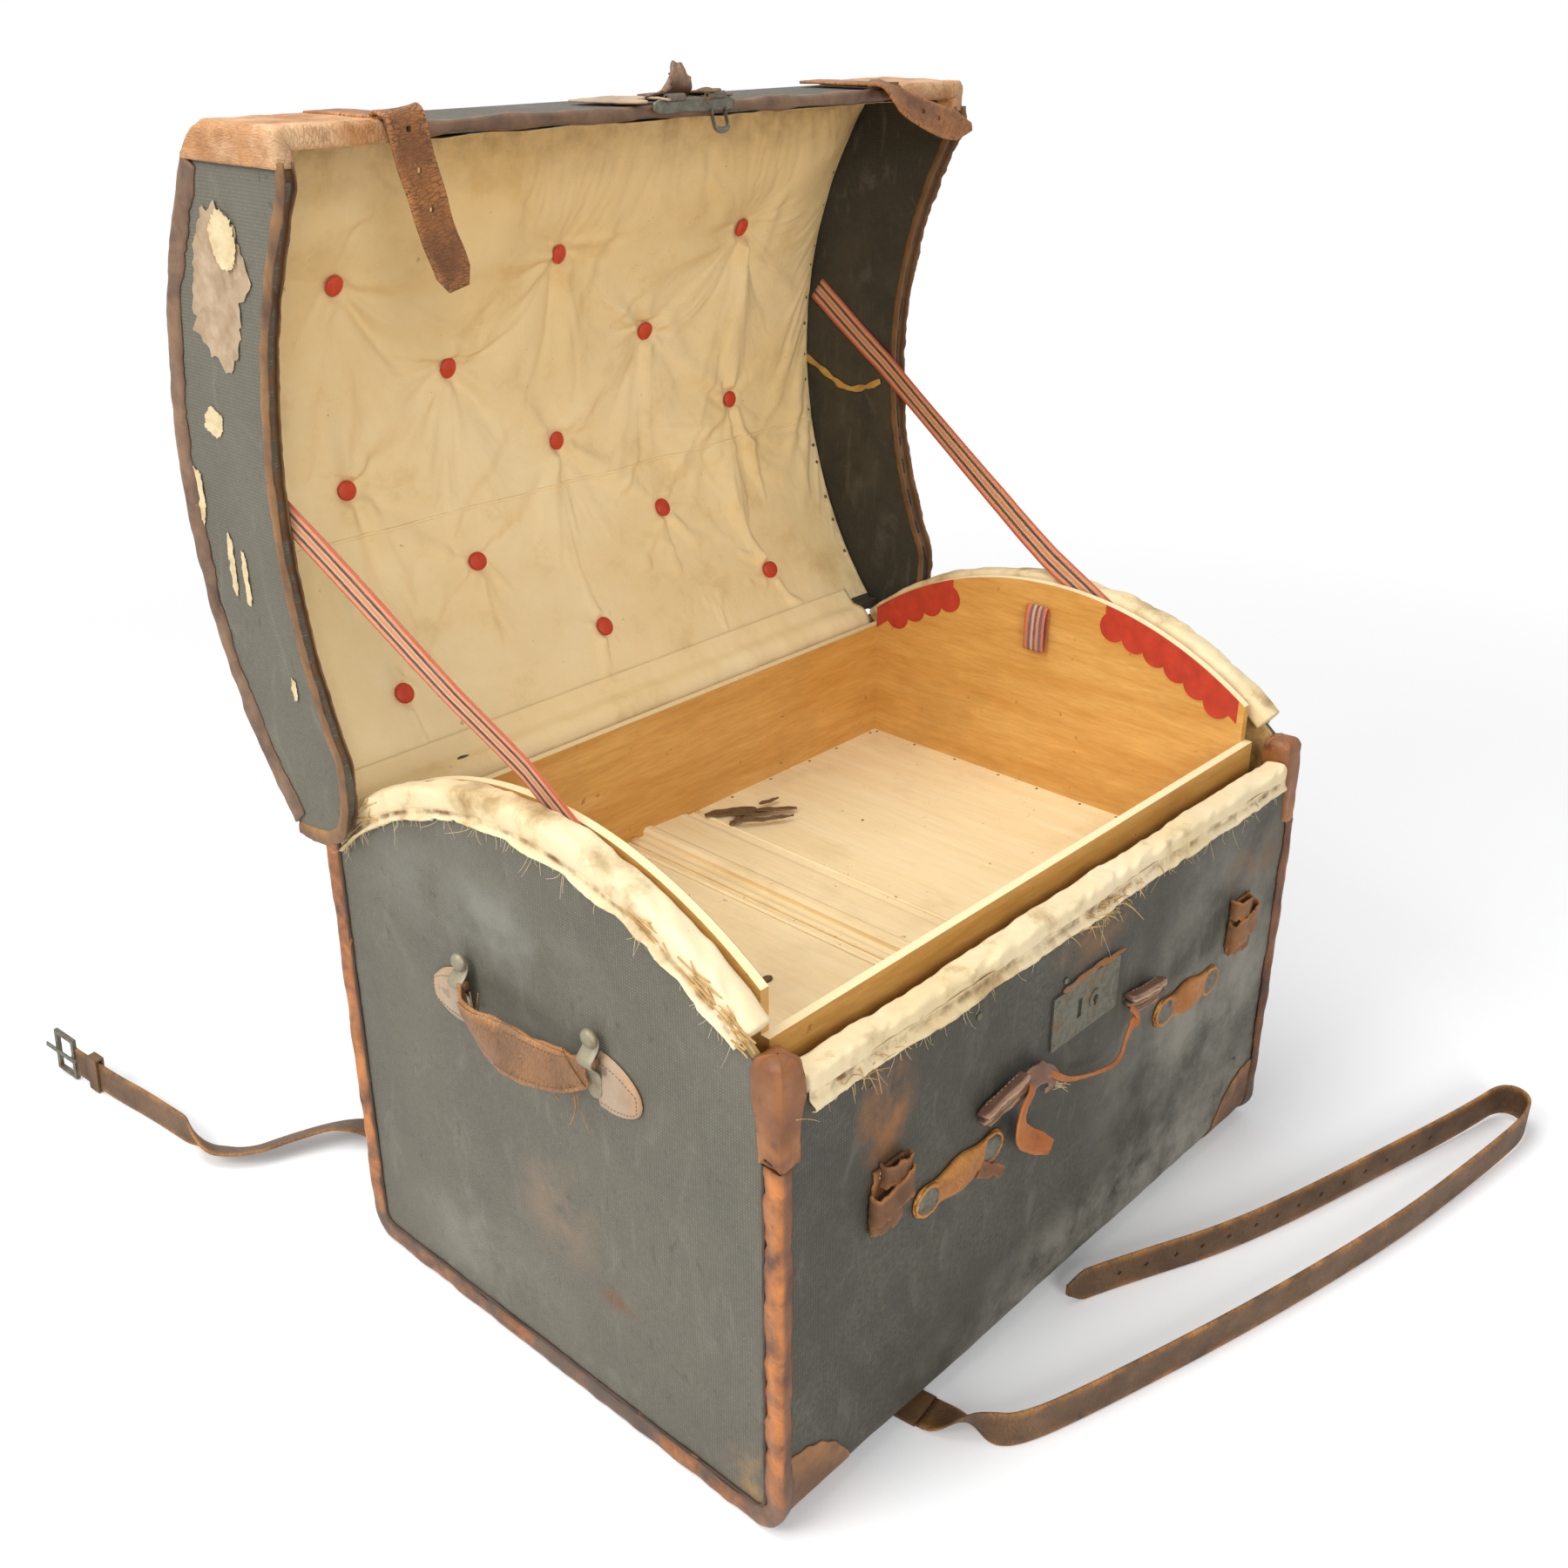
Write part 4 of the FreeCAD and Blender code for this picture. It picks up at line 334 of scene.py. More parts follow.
def punched(piece, places, ways, radius):
    """Punch round holes through a piece: a 10-sided cutter at each place, along each way, then applied."""
    turn = np.linspace(0, TAU, 10, endpoint=False)
    ways = unit(np.broadcast_to(np.asarray(ways, float), (len(places), 3)))
    side = unit(np.cross(ways, [0.3, 0.2, 0.93]))
    out = np.cross(ways, side)
    ring = radius * (np.cos(turn)[:, None] * side[:, None] + np.sin(turn)[:, None] * out[:, None])
    ends = np.stack([np.asarray(places, float)[:, None] + ring + ways[:, None] * h for h in (-8.0, 8.0)], 1)
    faces = [*lattice(2, 10, False, True), range(9, -1, -1), range(10, 20)]
    mesh = bpy.data.meshes.new("punch")
    mesh.from_pydata((ends.reshape(-1, 3) * MM).tolist(), [],
                     [[int(j) + 20 * i for j in face] for i in range(len(places)) for face in faces])
    punch = outward(bpy.data.objects.new("punch", mesh))
    bpy.context.scene.collection.objects.link(punch)
    cut = piece.modifiers.new("holes", "BOOLEAN")
    cut.operation, cut.object, cut.solver = "DIFFERENCE", punch, "EXACT"
    settle(piece)
    bpy.data.objects.remove(punch)


# ---------------------------------------------------------------- materials
def srgb(hex_colour):
    """A hex colour as linear red, green, blue and 1."""
    parts = [int(hex_colour[i:i + 2], 16) / 255 for i in (1, 3, 5)]
    return [c / 12.92 if c <= 0.04045 else ((c + 0.055) / 1.055) ** 2.4 for c in parts] + [1.0]


def plug(tree, node, inputs):
    """Give a node's inputs, by name or number, their values or link them to other nodes' outputs."""
    for key, value in inputs.items():
        if isinstance(value, bpy.types.NodeSocket):
            tree.links.new(value, node.inputs[key])
        else:
            node.inputs[key].default_value = value


def add(tree, kind, inputs=None, stops=None, **settings):
    """Add a node with its settings and inputs; stops are a colour ramp's (place, colour)."""
    node = tree.nodes.new(kind)
    for key, value in settings.items():
        setattr(node, key, value)
    plug(tree, node, inputs or {})
    if stops:
        while len(node.color_ramp.elements) < len(stops):
            node.color_ramp.elements.new(0.5)
        for element, (place, colour) in zip(node.color_ramp.elements, stops):
            element.position, element.color = place, srgb(colour)
    return node


def finish_of(name, slot):
    """An empty node material with its shader, and the record's slot that it stands for."""
    material = bpy.data.materials.new(name)
    material.use_nodes = True
    material["slot"] = slot
    tree = material.node_tree
    tree.nodes.clear()
    shader = add(tree, "ShaderNodeBsdfPrincipled")
    add(tree, "ShaderNodeOutputMaterial", {"Surface": shader.outputs[0]})
    return material, tree, shader


def coats(tree, colour, layers):
    """A colour with layers laid over it in turn, each (shares, tint). The shares are multiplied, and the tint
    covers what is under it by their product."""
    for shares, tint in layers:
        cover = shares[0]
        for share in shares[1:]:
            cover = add(tree, "ShaderNodeMath", {0: cover, 1: share}, operation="MULTIPLY").outputs[0]
        colour = add(tree, "ShaderNodeMix", {0: cover, 6: colour, 7: srgb(tint)}, data_type="RGBA").outputs[2]
    return colour


def relief(tree, shader, layers):
    """Fine relief of a surface in layers, each (height, distance in metres, strength), the lowest one first."""
    under = {}
    for height, distance, strength in layers:
        raised = add(tree, "ShaderNodeBump", {"Height": height, "Distance": distance, "Strength": strength, **under})
        under = {"Normal": raised.outputs[0]}
    plug(tree, shader, under)


def spots(tree, place, scale, low, high, detail=6.0, distortion=0.0, stretch=None):
    """Patches between 0 and 1: noise cut between low and high."""
    if stretch:
        place = add(tree, "ShaderNodeMapping", {"Vector": place, "Scale": stretch}).outputs[0]
    noise = add(tree, "ShaderNodeTexNoise", {"Vector": place, "Scale": scale, "Detail": detail,
                                             "Roughness": 0.62, "Distortion": distortion})
    return add(tree, "ShaderNodeMapRange", {0: noise.outputs[0], 1: low, 2: high}, clamp=True).outputs[0]


def weave(tree, place, pitch, ways="XY"):
    """Plain weave: crossed wave patterns with one thread every pitch metres, one pattern for each way."""
    total = None
    for way in ways:
        wave = add(tree, "ShaderNodeTexWave", {"Vector": place, "Scale": 0.314 / pitch, "Distortion": 0.6,
                                               "Detail Scale": 1.5}, bands_direction=way).outputs[1]
        total = wave if total is None else add(tree, "ShaderNodeMath", {0: total, 1: wave}).outputs[0]
    return total


def zone(tree, place, centre, radii, ragged):
    """Patch round a centre (mm) that fades out at its radii, eaten away by noise."""
    scale = [1000.0 / r for r in radii]
    offset = [-c * MM * k for c, k in zip(centre, scale)]
    near = add(tree, "ShaderNodeMapping", {"Vector": place, "Scale": scale, "Location": offset}).outputs[0]
    away = add(tree, "ShaderNodeVectorMath", {0: near}, operation="LENGTH").outputs["Value"]
    inside = add(tree, "ShaderNodeMapRange", {0: away, 1: 1.1, 2: 0.35}, clamp=True).outputs[0]
    eaten = spots(tree, place, ragged, 0.36, 0.60, detail=10.0)
    return add(tree, "ShaderNodeMath", {0: inside, 1: eaten}, operation="MULTIPLY").outputs[0]


def canvas_finish(name, slot, base, light, dark, zones, ways="XYZ"):
    """Tarred canvas: the weave shows as pale rubbed threads through a matt grey coat that is cloudy, smeared, scratched
    and flecked. Zones are patches of another colour, stains and paler areas, each (centre, radii, colour, share, size
    of its specks)."""
    material, tree, shader = finish_of(name, slot)
    place = add(tree, "ShaderNodeTexCoord").outputs["Object"]
    cloudy = spots(tree, place, 8.0, 0.28, 0.72, detail=8.0)
    threads = weave(tree, place, 0.0026, ways)
    crossed = add(tree, "ShaderNodeMapRange", {0: threads, 1: 0.9, 2: 2.2}).outputs[0]
    grain = spots(tree, place, 240.0, 0.3, 0.7)
    smears = spots(tree, place, 34.0, 0.56, 0.80, detail=10.0, distortion=1.2, stretch=(1.0, 1.0, 0.4))
    flecks = spots(tree, place, 640.0, 0.52, 0.70, detail=4.0)
    scratches = spots(tree, place, 60.0, 0.62, 0.67, detail=12.0, distortion=2.0, stretch=(1.0, 1.0, 0.45))
    layers = [([cloudy], base), ([crossed, grain, 0.75], light), ([smears, 0.15], "#b9b3a2"),
              ([flecks, 0.45], dark), ([scratches, 0.55], "#4a443a")]
    layers += [([zone(tree, place, centre, radii, size), share], tint) for centre, radii, tint, share, size in zones]
    rough = add(tree, "ShaderNodeMapRange", {0: cloudy, 3: 0.55, 4: 0.75}).outputs[0]
    plug(tree, shader, {"Base Color": coats(tree, srgb(dark), layers), "Roughness": rough})
    relief(tree, shader, [(crossed, 0.0004, 0.6), (grain, 0.0003, 0.4)])
    return material


def leather_finish(name, slot, dark, middle, worn, wear=0.6, cracks=0.0, rough=0.5, crack_colour="#35211a",
                   grimed=0.0, burns=0.55):
    """Vegetable-tanned leather, dyed and waxed: dark and blotched, rubbed to a warm light colour at its edges
    and folds, grimed near the floor, with fine dark cracks across the strap where it has dried."""
    material, tree, shader = finish_of(name, slot)
    where = add(tree, "ShaderNodeTexCoord")
    place, along = where.outputs["Object"], where.outputs["UV"]
    edge = add(tree, "ShaderNodeAttribute", attribute_name="wear").outputs["Fac"]
    near_edge = add(tree, "ShaderNodeMapRange", {0: edge, 1: 0.2, 2: 0.9, 3: 0.12, 4: 1.0}).outputs[0]
    blotch = spots(tree, place, 24.0, 0.34, 0.66, detail=10.0)
    rub = spots(tree, place, 30.0, 0.36, 0.62, detail=12.0, distortion=0.3)
    burnt = spots(tree, place, 52.0, 0.60, 0.72, detail=12.0)
    layers = [([blotch], middle), ([rub, near_edge, wear], worn), ([burnt, burns], crack_colour)]
    if grimed:
        level = add(tree, "ShaderNodeSeparateXYZ", {0: place}).outputs[2]
        low = add(tree, "ShaderNodeMapRange", {0: level, 1: 0.085, 2: 0.024}, clamp=True).outputs[0]
        layers.append(([low, spots(tree, place, 26.0, 0.30, 0.52, detail=10.0), grimed], "#4d453b"))
    height = spots(tree, place, 420.0, 0.2, 0.8, detail=4.0)
    if cracks:
        bent = add(tree, "ShaderNodeTexNoise", {"Vector": along, "Scale": 190.0, "Detail": 3.0})
        shift = add(tree, "ShaderNodeVectorMath", {0: bent.outputs[1], 1: (0.0022, 0.0022, 0.0)},
                    operation="MULTIPLY").outputs[0]
        lines = add(tree, "ShaderNodeVectorMath", {0: along, 1: shift}, operation="ADD").outputs[0]
        lines = add(tree, "ShaderNodeMapping", {"Vector": lines, "Scale": (1.0, 0.32, 1.0)}).outputs[0]
        cells = add(tree, "ShaderNodeTexVoronoi", {"Vector": lines, "Scale": 420.0}, feature="DISTANCE_TO_EDGE")
        crazed = add(tree, "ShaderNodeMapRange", {0: cells.outputs["Distance"], 1: 0.11, 2: 0.02},
                     clamp=True).outputs[0]
        layers.append(([crazed, spots(tree, place, 60.0, 0.3, 0.6), cracks], crack_colour))
        height = add(tree, "ShaderNodeMath", {0: height, 1: crazed}, operation="SUBTRACT").outputs[0]
    gloss = add(tree, "ShaderNodeMapRange", {0: blotch, 3: rough + 0.15, 4: rough}).outputs[0]
    plug(tree, shader, {"Base Color": coats(tree, srgb(dark), layers), "Roughness": gloss})
    relief(tree, shader, [(height, 0.0004, 0.7)])
    return material


def cloth_finish(name, slot, base, shade, stain, stained=0.5, top_z=None):
    """Unbleached cotton, aged: a fine weave, cloudy yellowing, a tint that deepens between the two heights of top_z
    (part yellowing, part painted shade), brown water stains, specks, and soil along worn edges."""
    material, tree, shader = finish_of(name, slot)
    where = add(tree, "ShaderNodeTexCoord")
    place = where.outputs["Object"]
    layers = [([spots(tree, place, 7.0, 0.3, 0.7, detail=7.0)], shade)]
    # above top_z the stain colour darkens the cloth: yellowing, and painted shade at the top of the open lid
    if top_z:
        height = add(tree, "ShaderNodeSeparateXYZ", {0: place}).outputs[2]
        high = add(tree, "ShaderNodeMapRange", {0: height, 1: top_z[0], 2: top_z[1]}).outputs[0]
        layers.append(([high, 0.55], stain))
    edge = add(tree, "ShaderNodeAttribute", attribute_name="wear").outputs["Fac"]
    layers += [([spots(tree, place, 14.0, 0.55, 0.72, detail=9.0), stained], stain),
               ([spots(tree, place, 75.0, 0.72, 0.76, detail=3.0), 0.45], "#8a6a40"),
               # soil along worn edges; the hems' edge values make this painted shadow under the rolls, and on the lid
               # lining it is partly painted shade at the top
               ([edge, spots(tree, place, 42.0, 0.42, 0.62, detail=9.0)], "#7a5a34")]
    plug(tree, shader, {"Base Color": coats(tree, srgb(base), layers), "Roughness": 0.85})
    crumple = spots(tree, place, 34.0, 0.2, 0.8, detail=3.0, distortion=0.7)
    relief(tree, shader, [(weave(tree, where.outputs["UV"], 0.0022), 0.00015, 0.35), (crumple, 0.0012, 0.35)])
    return material


def wood_finish(name, slot, pale, deep, stretch, rough=0.5, stain=0.3, coat=0.0, fleck=0.25, top=None):
    """Thin pine or poplar board, sawn and varnished: long grain, dirt and specks, and where top is given, a pale colour
    on faces that point up, painted light on the top edges of the boards."""
    material, tree, shader = finish_of(name, slot)
    place = add(tree, "ShaderNodeTexCoord").outputs["Object"]
    grain = spots(tree, place, 30.0, 0.3, 0.7, detail=10.0, distortion=0.5, stretch=stretch)
    fine = spots(tree, place, 160.0, 0.35, 0.7, detail=4.0, stretch=stretch)
    dirt = spots(tree, place, 11.0, 0.55, 0.8, detail=12.0)
    specks = spots(tree, place, 95.0, 0.70, 0.74, detail=3.0)
    layers = [([grain], deep), ([fine, fleck], "#8a6228"), ([dirt, stain], "#a07a3e"), ([specks, 0.6], "#7a5a34")]
    # painted light: faces that point up take the pale top colour
    if top:
        facing = add(tree, "ShaderNodeNewGeometry").outputs["Normal"]
        up = add(tree, "ShaderNodeSeparateXYZ", {0: facing}).outputs[2]
        level = add(tree, "ShaderNodeMapRange", {0: up, 1: 0.6, 2: 0.8}, clamp=True).outputs[0]
        layers.append(([level], top))
    plug(tree, shader, {"Base Color": coats(tree, srgb(pale), layers), "Roughness": rough, "Coat Weight": coat})
    relief(tree, shader, [(fine, 0.0002, 0.4)])
    return material


def metal_finish(name, slot, base, rust, spread, rough=0.45, metallic=0.85):
    """Stamped iron plate, tinned or japanned long ago: dull grey shine, with matt rust over a share of it."""
    material, tree, shader = finish_of(name, slot)
    place = add(tree, "ShaderNodeTexCoord").outputs["Object"]
    patches = spots(tree, place, 70.0, 0.62 - spread * 0.3, 0.75 - spread * 0.2, detail=9.0)
    tint = spots(tree, place, 200.0, 0.3, 0.7)
    colour = coats(tree, srgb(base), [([tint, 0.5], "#8f8f84"), ([patches], rust)])
    dull = add(tree, "ShaderNodeMapRange", {0: patches, 3: metallic, 4: 0.1}).outputs[0]
    worn = add(tree, "ShaderNodeMapRange", {0: patches, 3: rough, 4: 0.85}).outputs[0]
    plug(tree, shader, {"Base Color": colour, "Metallic": dull, "Roughness": worn})
    relief(tree, shader, [(tint, 0.0002, 0.5)])
    return material


def webbing_finish(name, slot, stripes):
    """Woven cotton webbing, faded, with its stripes running along it: v of the map goes across the width."""
    material, tree, shader = finish_of(name, slot)
    where = add(tree, "ShaderNodeTexCoord")
    across = add(tree, "ShaderNodeSeparateXYZ", {0: where.outputs["UV"]}).outputs[1]
    wobble = spots(tree, where.outputs["UV"], 160.0, 0.0, 1.0)
    shifted = add(tree, "ShaderNodeMath", {0: wobble, 1: 0.0012, 2: across}, operation="MULTIPLY_ADD").outputs[0]
    share = add(tree, "ShaderNodeMapRange", {0: shifted, 1: -0.0125, 2: 0.0125}).outputs[0]
    bands = add(tree, "ShaderNodeValToRGB", {"Fac": share}, stops=stripes)
    bands.color_ramp.interpolation = "CONSTANT"
    faded = spots(tree, where.outputs["Object"], 40.0, 0.3, 0.8)
    colour = coats(tree, bands.outputs[0], [([faded, 0.35], "#a88468")])
    plug(tree, shader, {"Base Color": colour, "Roughness": 0.9})
    relief(tree, shader, [(weave(tree, where.outputs["UV"], 0.0016), 0.0003, 0.6)])
    return material


def plain_finish(name, slot, base, other, scale, rough, bump=0.0003):
    """Small stuff such as paper, thread, cane and dyed cloth: two mottled tones and a slight tooth."""
    material, tree, shader = finish_of(name, slot)
    place = add(tree, "ShaderNodeTexCoord").outputs["Object"]
    mottle = spots(tree, place, scale, 0.3, 0.7, detail=8.0)
    plug(tree, shader, {"Base Color": coats(tree, srgb(base), [([mottle], other)]), "Roughness": rough})
    relief(tree, shader, [(mottle, bump, 0.5)])
    return material


# One tarred canvas in two copies: the ends' copy below is lighter than the one for the front and the dome. The
# difference is painted light, for the lamps that light the ends more than the front.
CANVAS = canvas_finish("tarred_canvas", "canvas", "#413e33", "#6c6759", "#302d25", [
    # the second zone is a large paler area over the right half of the front, the third a paler band along its bottom
    ((-246, -261, 341), (36, 40, 52), "#94602c", 0.9, 26.0), ((250, -261, 190), (210, 60, 210), "#a9a495", 0.55, 12.0),
    ((120, -261, 40), (330, 60, 62), "#aaa596", 0.6, 24.0), ((-120, -261, 70), (90, 60, 60), "#474334", 0.6, 20.0),
    ((20, -261, 366), (60, 60, 24), "#8f6636", 0.5, 40.0), ((300, -261, 330), (60, 60, 30), "#7d5a34", 0.7, 40.0)])
# lighter copy of the same canvas for the ends: painted light
CANVAS_END_PAINTED_LIGHT = canvas_finish("tarred_canvas_end_painted_light", "canvas", "#676355", "#8d8979", "#504c40", [
    ((-361, -14, 176), (40, 56, 62), "#83705a", 0.7, 34.0), ((-361, -84, 126), (30, 26, 14), "#6e4a30", 0.8, 60.0),
    ((-361, -238, 40), (30, 40, 40), "#9a7a4c", 0.8, 44.0), ((-361, 90, 70), (40, 120, 60), "#9b9788", 0.35, 18.0),
    ((-361, 60, 420), (40, 150, 50), "#8f8d84", 0.5, 14.0)], ways="YZ")
CANVAS_IN = canvas_finish("canvas_back", "canvas", "#2a2923", "#3a382f", "#1f1e19", [
    ((366, 300, 700), (40, 120, 200), "#4e483a", 0.5, 20.0)])
BINDING = leather_finish("bridle_leather", "binding", "#43271a", "#7a4a22", "#c97a34", 0.92, rough=0.40,
                         grimed=0.85, burns=0.85)
PIPING = leather_finish("piping_leather", "binding", "#2c211a", "#4c3626", "#85603c", 0.4, rough=0.5)
LID_BINDING = leather_finish("lid_leather", "lid_leather", "#472f22", "#614634", "#8a6a4c", 0.8, rough=0.42)
EDGE_LEATHER = leather_finish("edge_leather", "lid_leather", "#4e331f", "#70502f", "#a37540", 0.8, rough=0.5)
LID_CORNER = leather_finish("lid_corner_leather", "lid_leather", "#9a622f", "#c9925c", "#e0b88c", 0.8, cracks=0.35,
                            rough=0.5)
CORNER = leather_finish("corner_leather", "cap_leather", "#6e4020", "#8e582c", "#bd7e40", 0.8, rough=0.40)
PATCH = leather_finish("patch_leather", "patch_leather", "#553a26", "#735034", "#ab7642", 0.8, rough=0.5)
STRAP = leather_finish("strap_leather", "strap_leather", "#4a3520", "#6b4d2d", "#b87d3b", 0.95, cracks=0.5, rough=0.5)
LID_STRAP = leather_finish("lid_strap_leather", "strap_leather", "#603816", "#9c622a", "#d08c46", 0.7, cracks=0.95,
                           rough=0.42, crack_colour="#4a2c14")
LOOP = leather_finish("loop_leather", "loop_leather", "#57381f", "#835730", "#b4763a", 0.8, rough=0.6)
STUB = leather_finish("torn_leather", "stub_leather", "#5e4234", "#7e5a46", "#a9866c", 0.8, rough=0.6)
TONGUE = leather_finish("orange_leather", "stub_leather", "#8c4a1c", "#b0642a", "#cf8440", 0.5, rough=0.6)
TAB = leather_finish("tab_leather", "tab_leather", "#8f7c66", "#ab967c", "#bf8f64", 0.9, rough=0.45)
GRIP = leather_finish("grip_leather", "grip_leather", "#6e5036", "#93683f", "#b9814a", 0.8, cracks=0.35, rough=0.42)
# darker towards the top of the open lid, from 0.60 m to 1.0 m: yellowing, and painted shade where the lining gets less
# light
LINING = cloth_finish("lining_cotton", "lining", "#fde8b8", "#f2d496", "#b58d4c", top_z=(0.60, 1.0), stained=0.30)
BODY_LINING = cloth_finish("body_lining_cotton", "lining", "#dccba0", "#c9b27c", "#a5834c")
RIM = cloth_finish("rim_cotton", "rim_cloth", "#ead9b6", "#d8bf8c", "#8e6a38", stained=0.9)
STRAW = plain_finish("split_cane", "wicker", "#d6b070", "#a88248", 90.0, 0.6, 0.0006)
THREAD = plain_finish("linen_thread", "rim_cloth", "#ddcba4", "#b59a6c", 120.0, 0.9)
STITCH = plain_finish("waxed_thread", "loop_leather", "#c8b088", "#a08458", 200.0, 0.8)
# the tray walls' pale top colour on faces that point up is painted light
TRAY_WALL = wood_finish("tray_wood", "tray_wood", "#dfae62", "#c98f40", (0.25, 0.25, 2.2), 0.42, 0.4, 0.1,
                        top="#f0dcae")
TRAY_FLOOR = wood_finish("tray_board", "tray_board", "#f6e4ba", "#eed7a4", (1.8, 0.14, 1.0), 0.6, 0.3, fleck=0.10)
RUNNER = wood_finish("runner_wood", "runner_wood", "#b0905e", "#94744a", (2.4, 0.2, 1.0), 0.8, 0.5)
IRON = metal_finish("iron", "iron", "#5c564a", "#7a5230", 0.5)
LOCK = metal_finish("lock_plate_iron", "lock_metal", "#5a5442", "#7a5c38", 0.25, 0.55, 0.5)
CAP_METAL = metal_finish("tinned_caps", "cap_metal", "#5a5444", "#5b4630", 0.3, 0.45, 0.45)
RED_CLOTH = plain_finish("button_cotton", "button_cloth", "#d0421a", "#b83410", 200.0, 0.5)
RED_PAPER = plain_finish("gummed_paper", "trim_paper", "#c03a24", "#a02c1c", 60.0, 0.5)
OLD_PAPER = plain_finish("torn_paper", "rim_cloth", "#b8a184", "#8c7454", 55.0, 0.85, 0.0006)
PALE_PAPER = plain_finish("bleached_paper", "rim_cloth", "#dccaa2", "#bfa87c", 60.0, 0.85, 0.0005)
OLD_CLOTH = plain_finish("torn_lining", "lining", "#c9a050", "#94702e", 50.0, 0.9, 0.0006)
PALE_THREAD = plain_finish("hemp_thread", "stub_leather", "#b58c5e", "#8a6238", 150.0, 0.8)
DARK_STITCH = plain_finish("dark_waxed_thread", "tab_leather", "#4e3a2c", "#6a5038", 200.0, 0.7)
SCRAP = leather_finish("dry_leather", "stub_leather", "#4a3420", "#6b5032", "#93703f", 0.5, rough=0.6)
RUST = metal_finish("rusted_iron", "iron", "#7a5c38", "#94602f", 0.9, 0.7, 0.2)
SADDLE = metal_finish("saddle_iron", "iron", "#8f8468", "#7a6444", 0.25, 0.5, 0.4)
CHAPE = leather_finish("chape_leather", "loop_leather", "#8a5420", "#bb7630", "#dc9a48", 0.7, cracks=0.35, rough=0.45)
WEBBING = webbing_finish("cotton_webbing", "webbing", [
    (0.0, "#b8583c"), (0.10, "#d8906a"), (0.24, "#3d3a3c"), (0.36, "#dba47c"), (0.44, "#c98a62"), (0.57, "#dba47c"),
    (0.64, "#3d3a3c"), (0.76, "#d8906a"), (0.90, "#b8583c")])
LOOP_WEB = webbing_finish("loop_webbing", "webbing", [
    (0.0, "#c8693c"), (0.16, "#5c5570"), (0.30, "#d98a50"), (0.42, "#55506c"), (0.54, "#e0a070"), (0.66, "#5c5570"),
    (0.80, "#d0703e"), (0.93, "#b85a38")])

# ---------------------------------------------------------------- camera, light and ground
view = bpy.data.cameras.new("view")
view.sensor_width, view.lens = 36.0, 38.247
camera = bpy.data.objects.new("view", view)
camera.location = (-1.0160, -0.8683, 1.0746)
camera.rotation_euler = (math.radians(64.182), 0.0, math.radians(-47.313))
bpy.context.scene.collection.objects.link(camera)
bpy.context.scene.camera = camera
bpy.context.scene.view_settings.view_transform = "Standard"


def lamp(name, place, aim, size, power):
    """Square soft lamp at place, turned to aim."""
    light = bpy.data.lights.new(name, "AREA")
    light.shape, light.size, light.energy = "SQUARE", size, power
    holder = bpy.data.objects.new(name, light)
    holder.location = place
    holder.rotation_euler = (Vector(aim) - Vector(place)).to_track_quat("-Z", "Y").to_euler()
    bpy.context.scene.collection.objects.link(holder)


lamp("key", (-3.0, 0.5, 2.7), (0.0, 0.0, 0.4), 1.8, 74)
lamp("fill", (-1.9, -2.9, 2.0), (0.0, 0.2, 0.6), 1.2, 56)
lamp("top", (-0.7, 0.5, 3.7), (0.0, 0.0, 0.3), 2.0, 70)


def showing_rays(tree):
    """Whether a ray comes from the camera, and whether it shows things: straight, in a shine or through glass."""
    rays = add(tree, "ShaderNodeLightPath").outputs
    seen = add(tree, "ShaderNodeMath", {0: rays["Is Camera Ray"], 1: rays["Is Glossy Ray"]}, operation="MAXIMUM")
    seen = add(tree, "ShaderNodeMath", {0: seen.outputs[0], 1: rays["Is Transmission Ray"]}, operation="MAXIMUM")
    return rays["Is Camera Ray"], seen.outputs[0]


world = bpy.data.worlds.new("studio")
world.use_nodes = True
bpy.context.scene.world = world
sky = world.node_tree
sky.nodes.clear()
seen = showing_rays(sky)[1]
dim = add(sky, "ShaderNodeBackground", {"Color": srgb("#f6f7fa"), "Strength": 0.42})
bright = add(sky, "ShaderNodeBackground", {"Color": srgb("#ffffff"), "Strength": 1.0})
both = add(sky, "ShaderNodeMixShader", {0: seen, 1: dim.outputs[0], 2: bright.outputs[0]})
add(sky, "ShaderNodeOutputWorld", {"Surface": both.outputs[0]})

ground_mesh = bpy.data.meshes.new("ground")
ground_mesh.from_pydata([(-8, -8, 0), (8, -8, 0), (8, 8, 0), (-8, 8, 0)], [], [(0, 1, 2, 3)])
ground = bpy.data.objects.new("ground", ground_mesh)
bpy.context.scene.collection.objects.link(ground)
ground_finish, tree, shader = finish_of("pale_ground", "canvas")
# far off, the floor is as white as the backdrop for every ray that shows it
from_camera, seen = showing_rays(tree)
place = add(tree, "ShaderNodeTexCoord").outputs["Object"]
away = add(tree, "ShaderNodeVectorMath", {0: place}, operation="LENGTH").outputs["Value"]
far_off = add(tree, "ShaderNodeMapRange", {0: away, 1: 0.75, 2: 2.2}, clamp=True).outputs[0]
glow = add(tree, "ShaderNodeMath", {0: from_camera, 1: 0.10}, operation="MULTIPLY").outputs[0]
plug(tree, shader, {"Base Color": srgb("#f7f7f7"), "Roughness": 0.9, "Specular IOR Level": 0.1,
                    "Emission Color": (1.0, 1.0, 1.0, 1.0), "Emission Strength": glow})
backdrop = add(tree, "ShaderNodeEmission", {"Color": (1.0, 1.0, 1.0, 1.0), "Strength": 1.0})
cover = add(tree, "ShaderNodeMath", {0: seen, 1: far_off}, operation="MULTIPLY").outputs[0]
mixed = add(tree, "ShaderNodeMixShader", {0: cover, 1: shader.outputs[0], 2: backdrop.outputs[0]})
output = [node for node in tree.nodes if node.type == "OUTPUT_MATERIAL"][0]
tree.links.new(mixed.outputs[0], output.inputs["Surface"])
ground_mesh.materials.append(ground_finish)


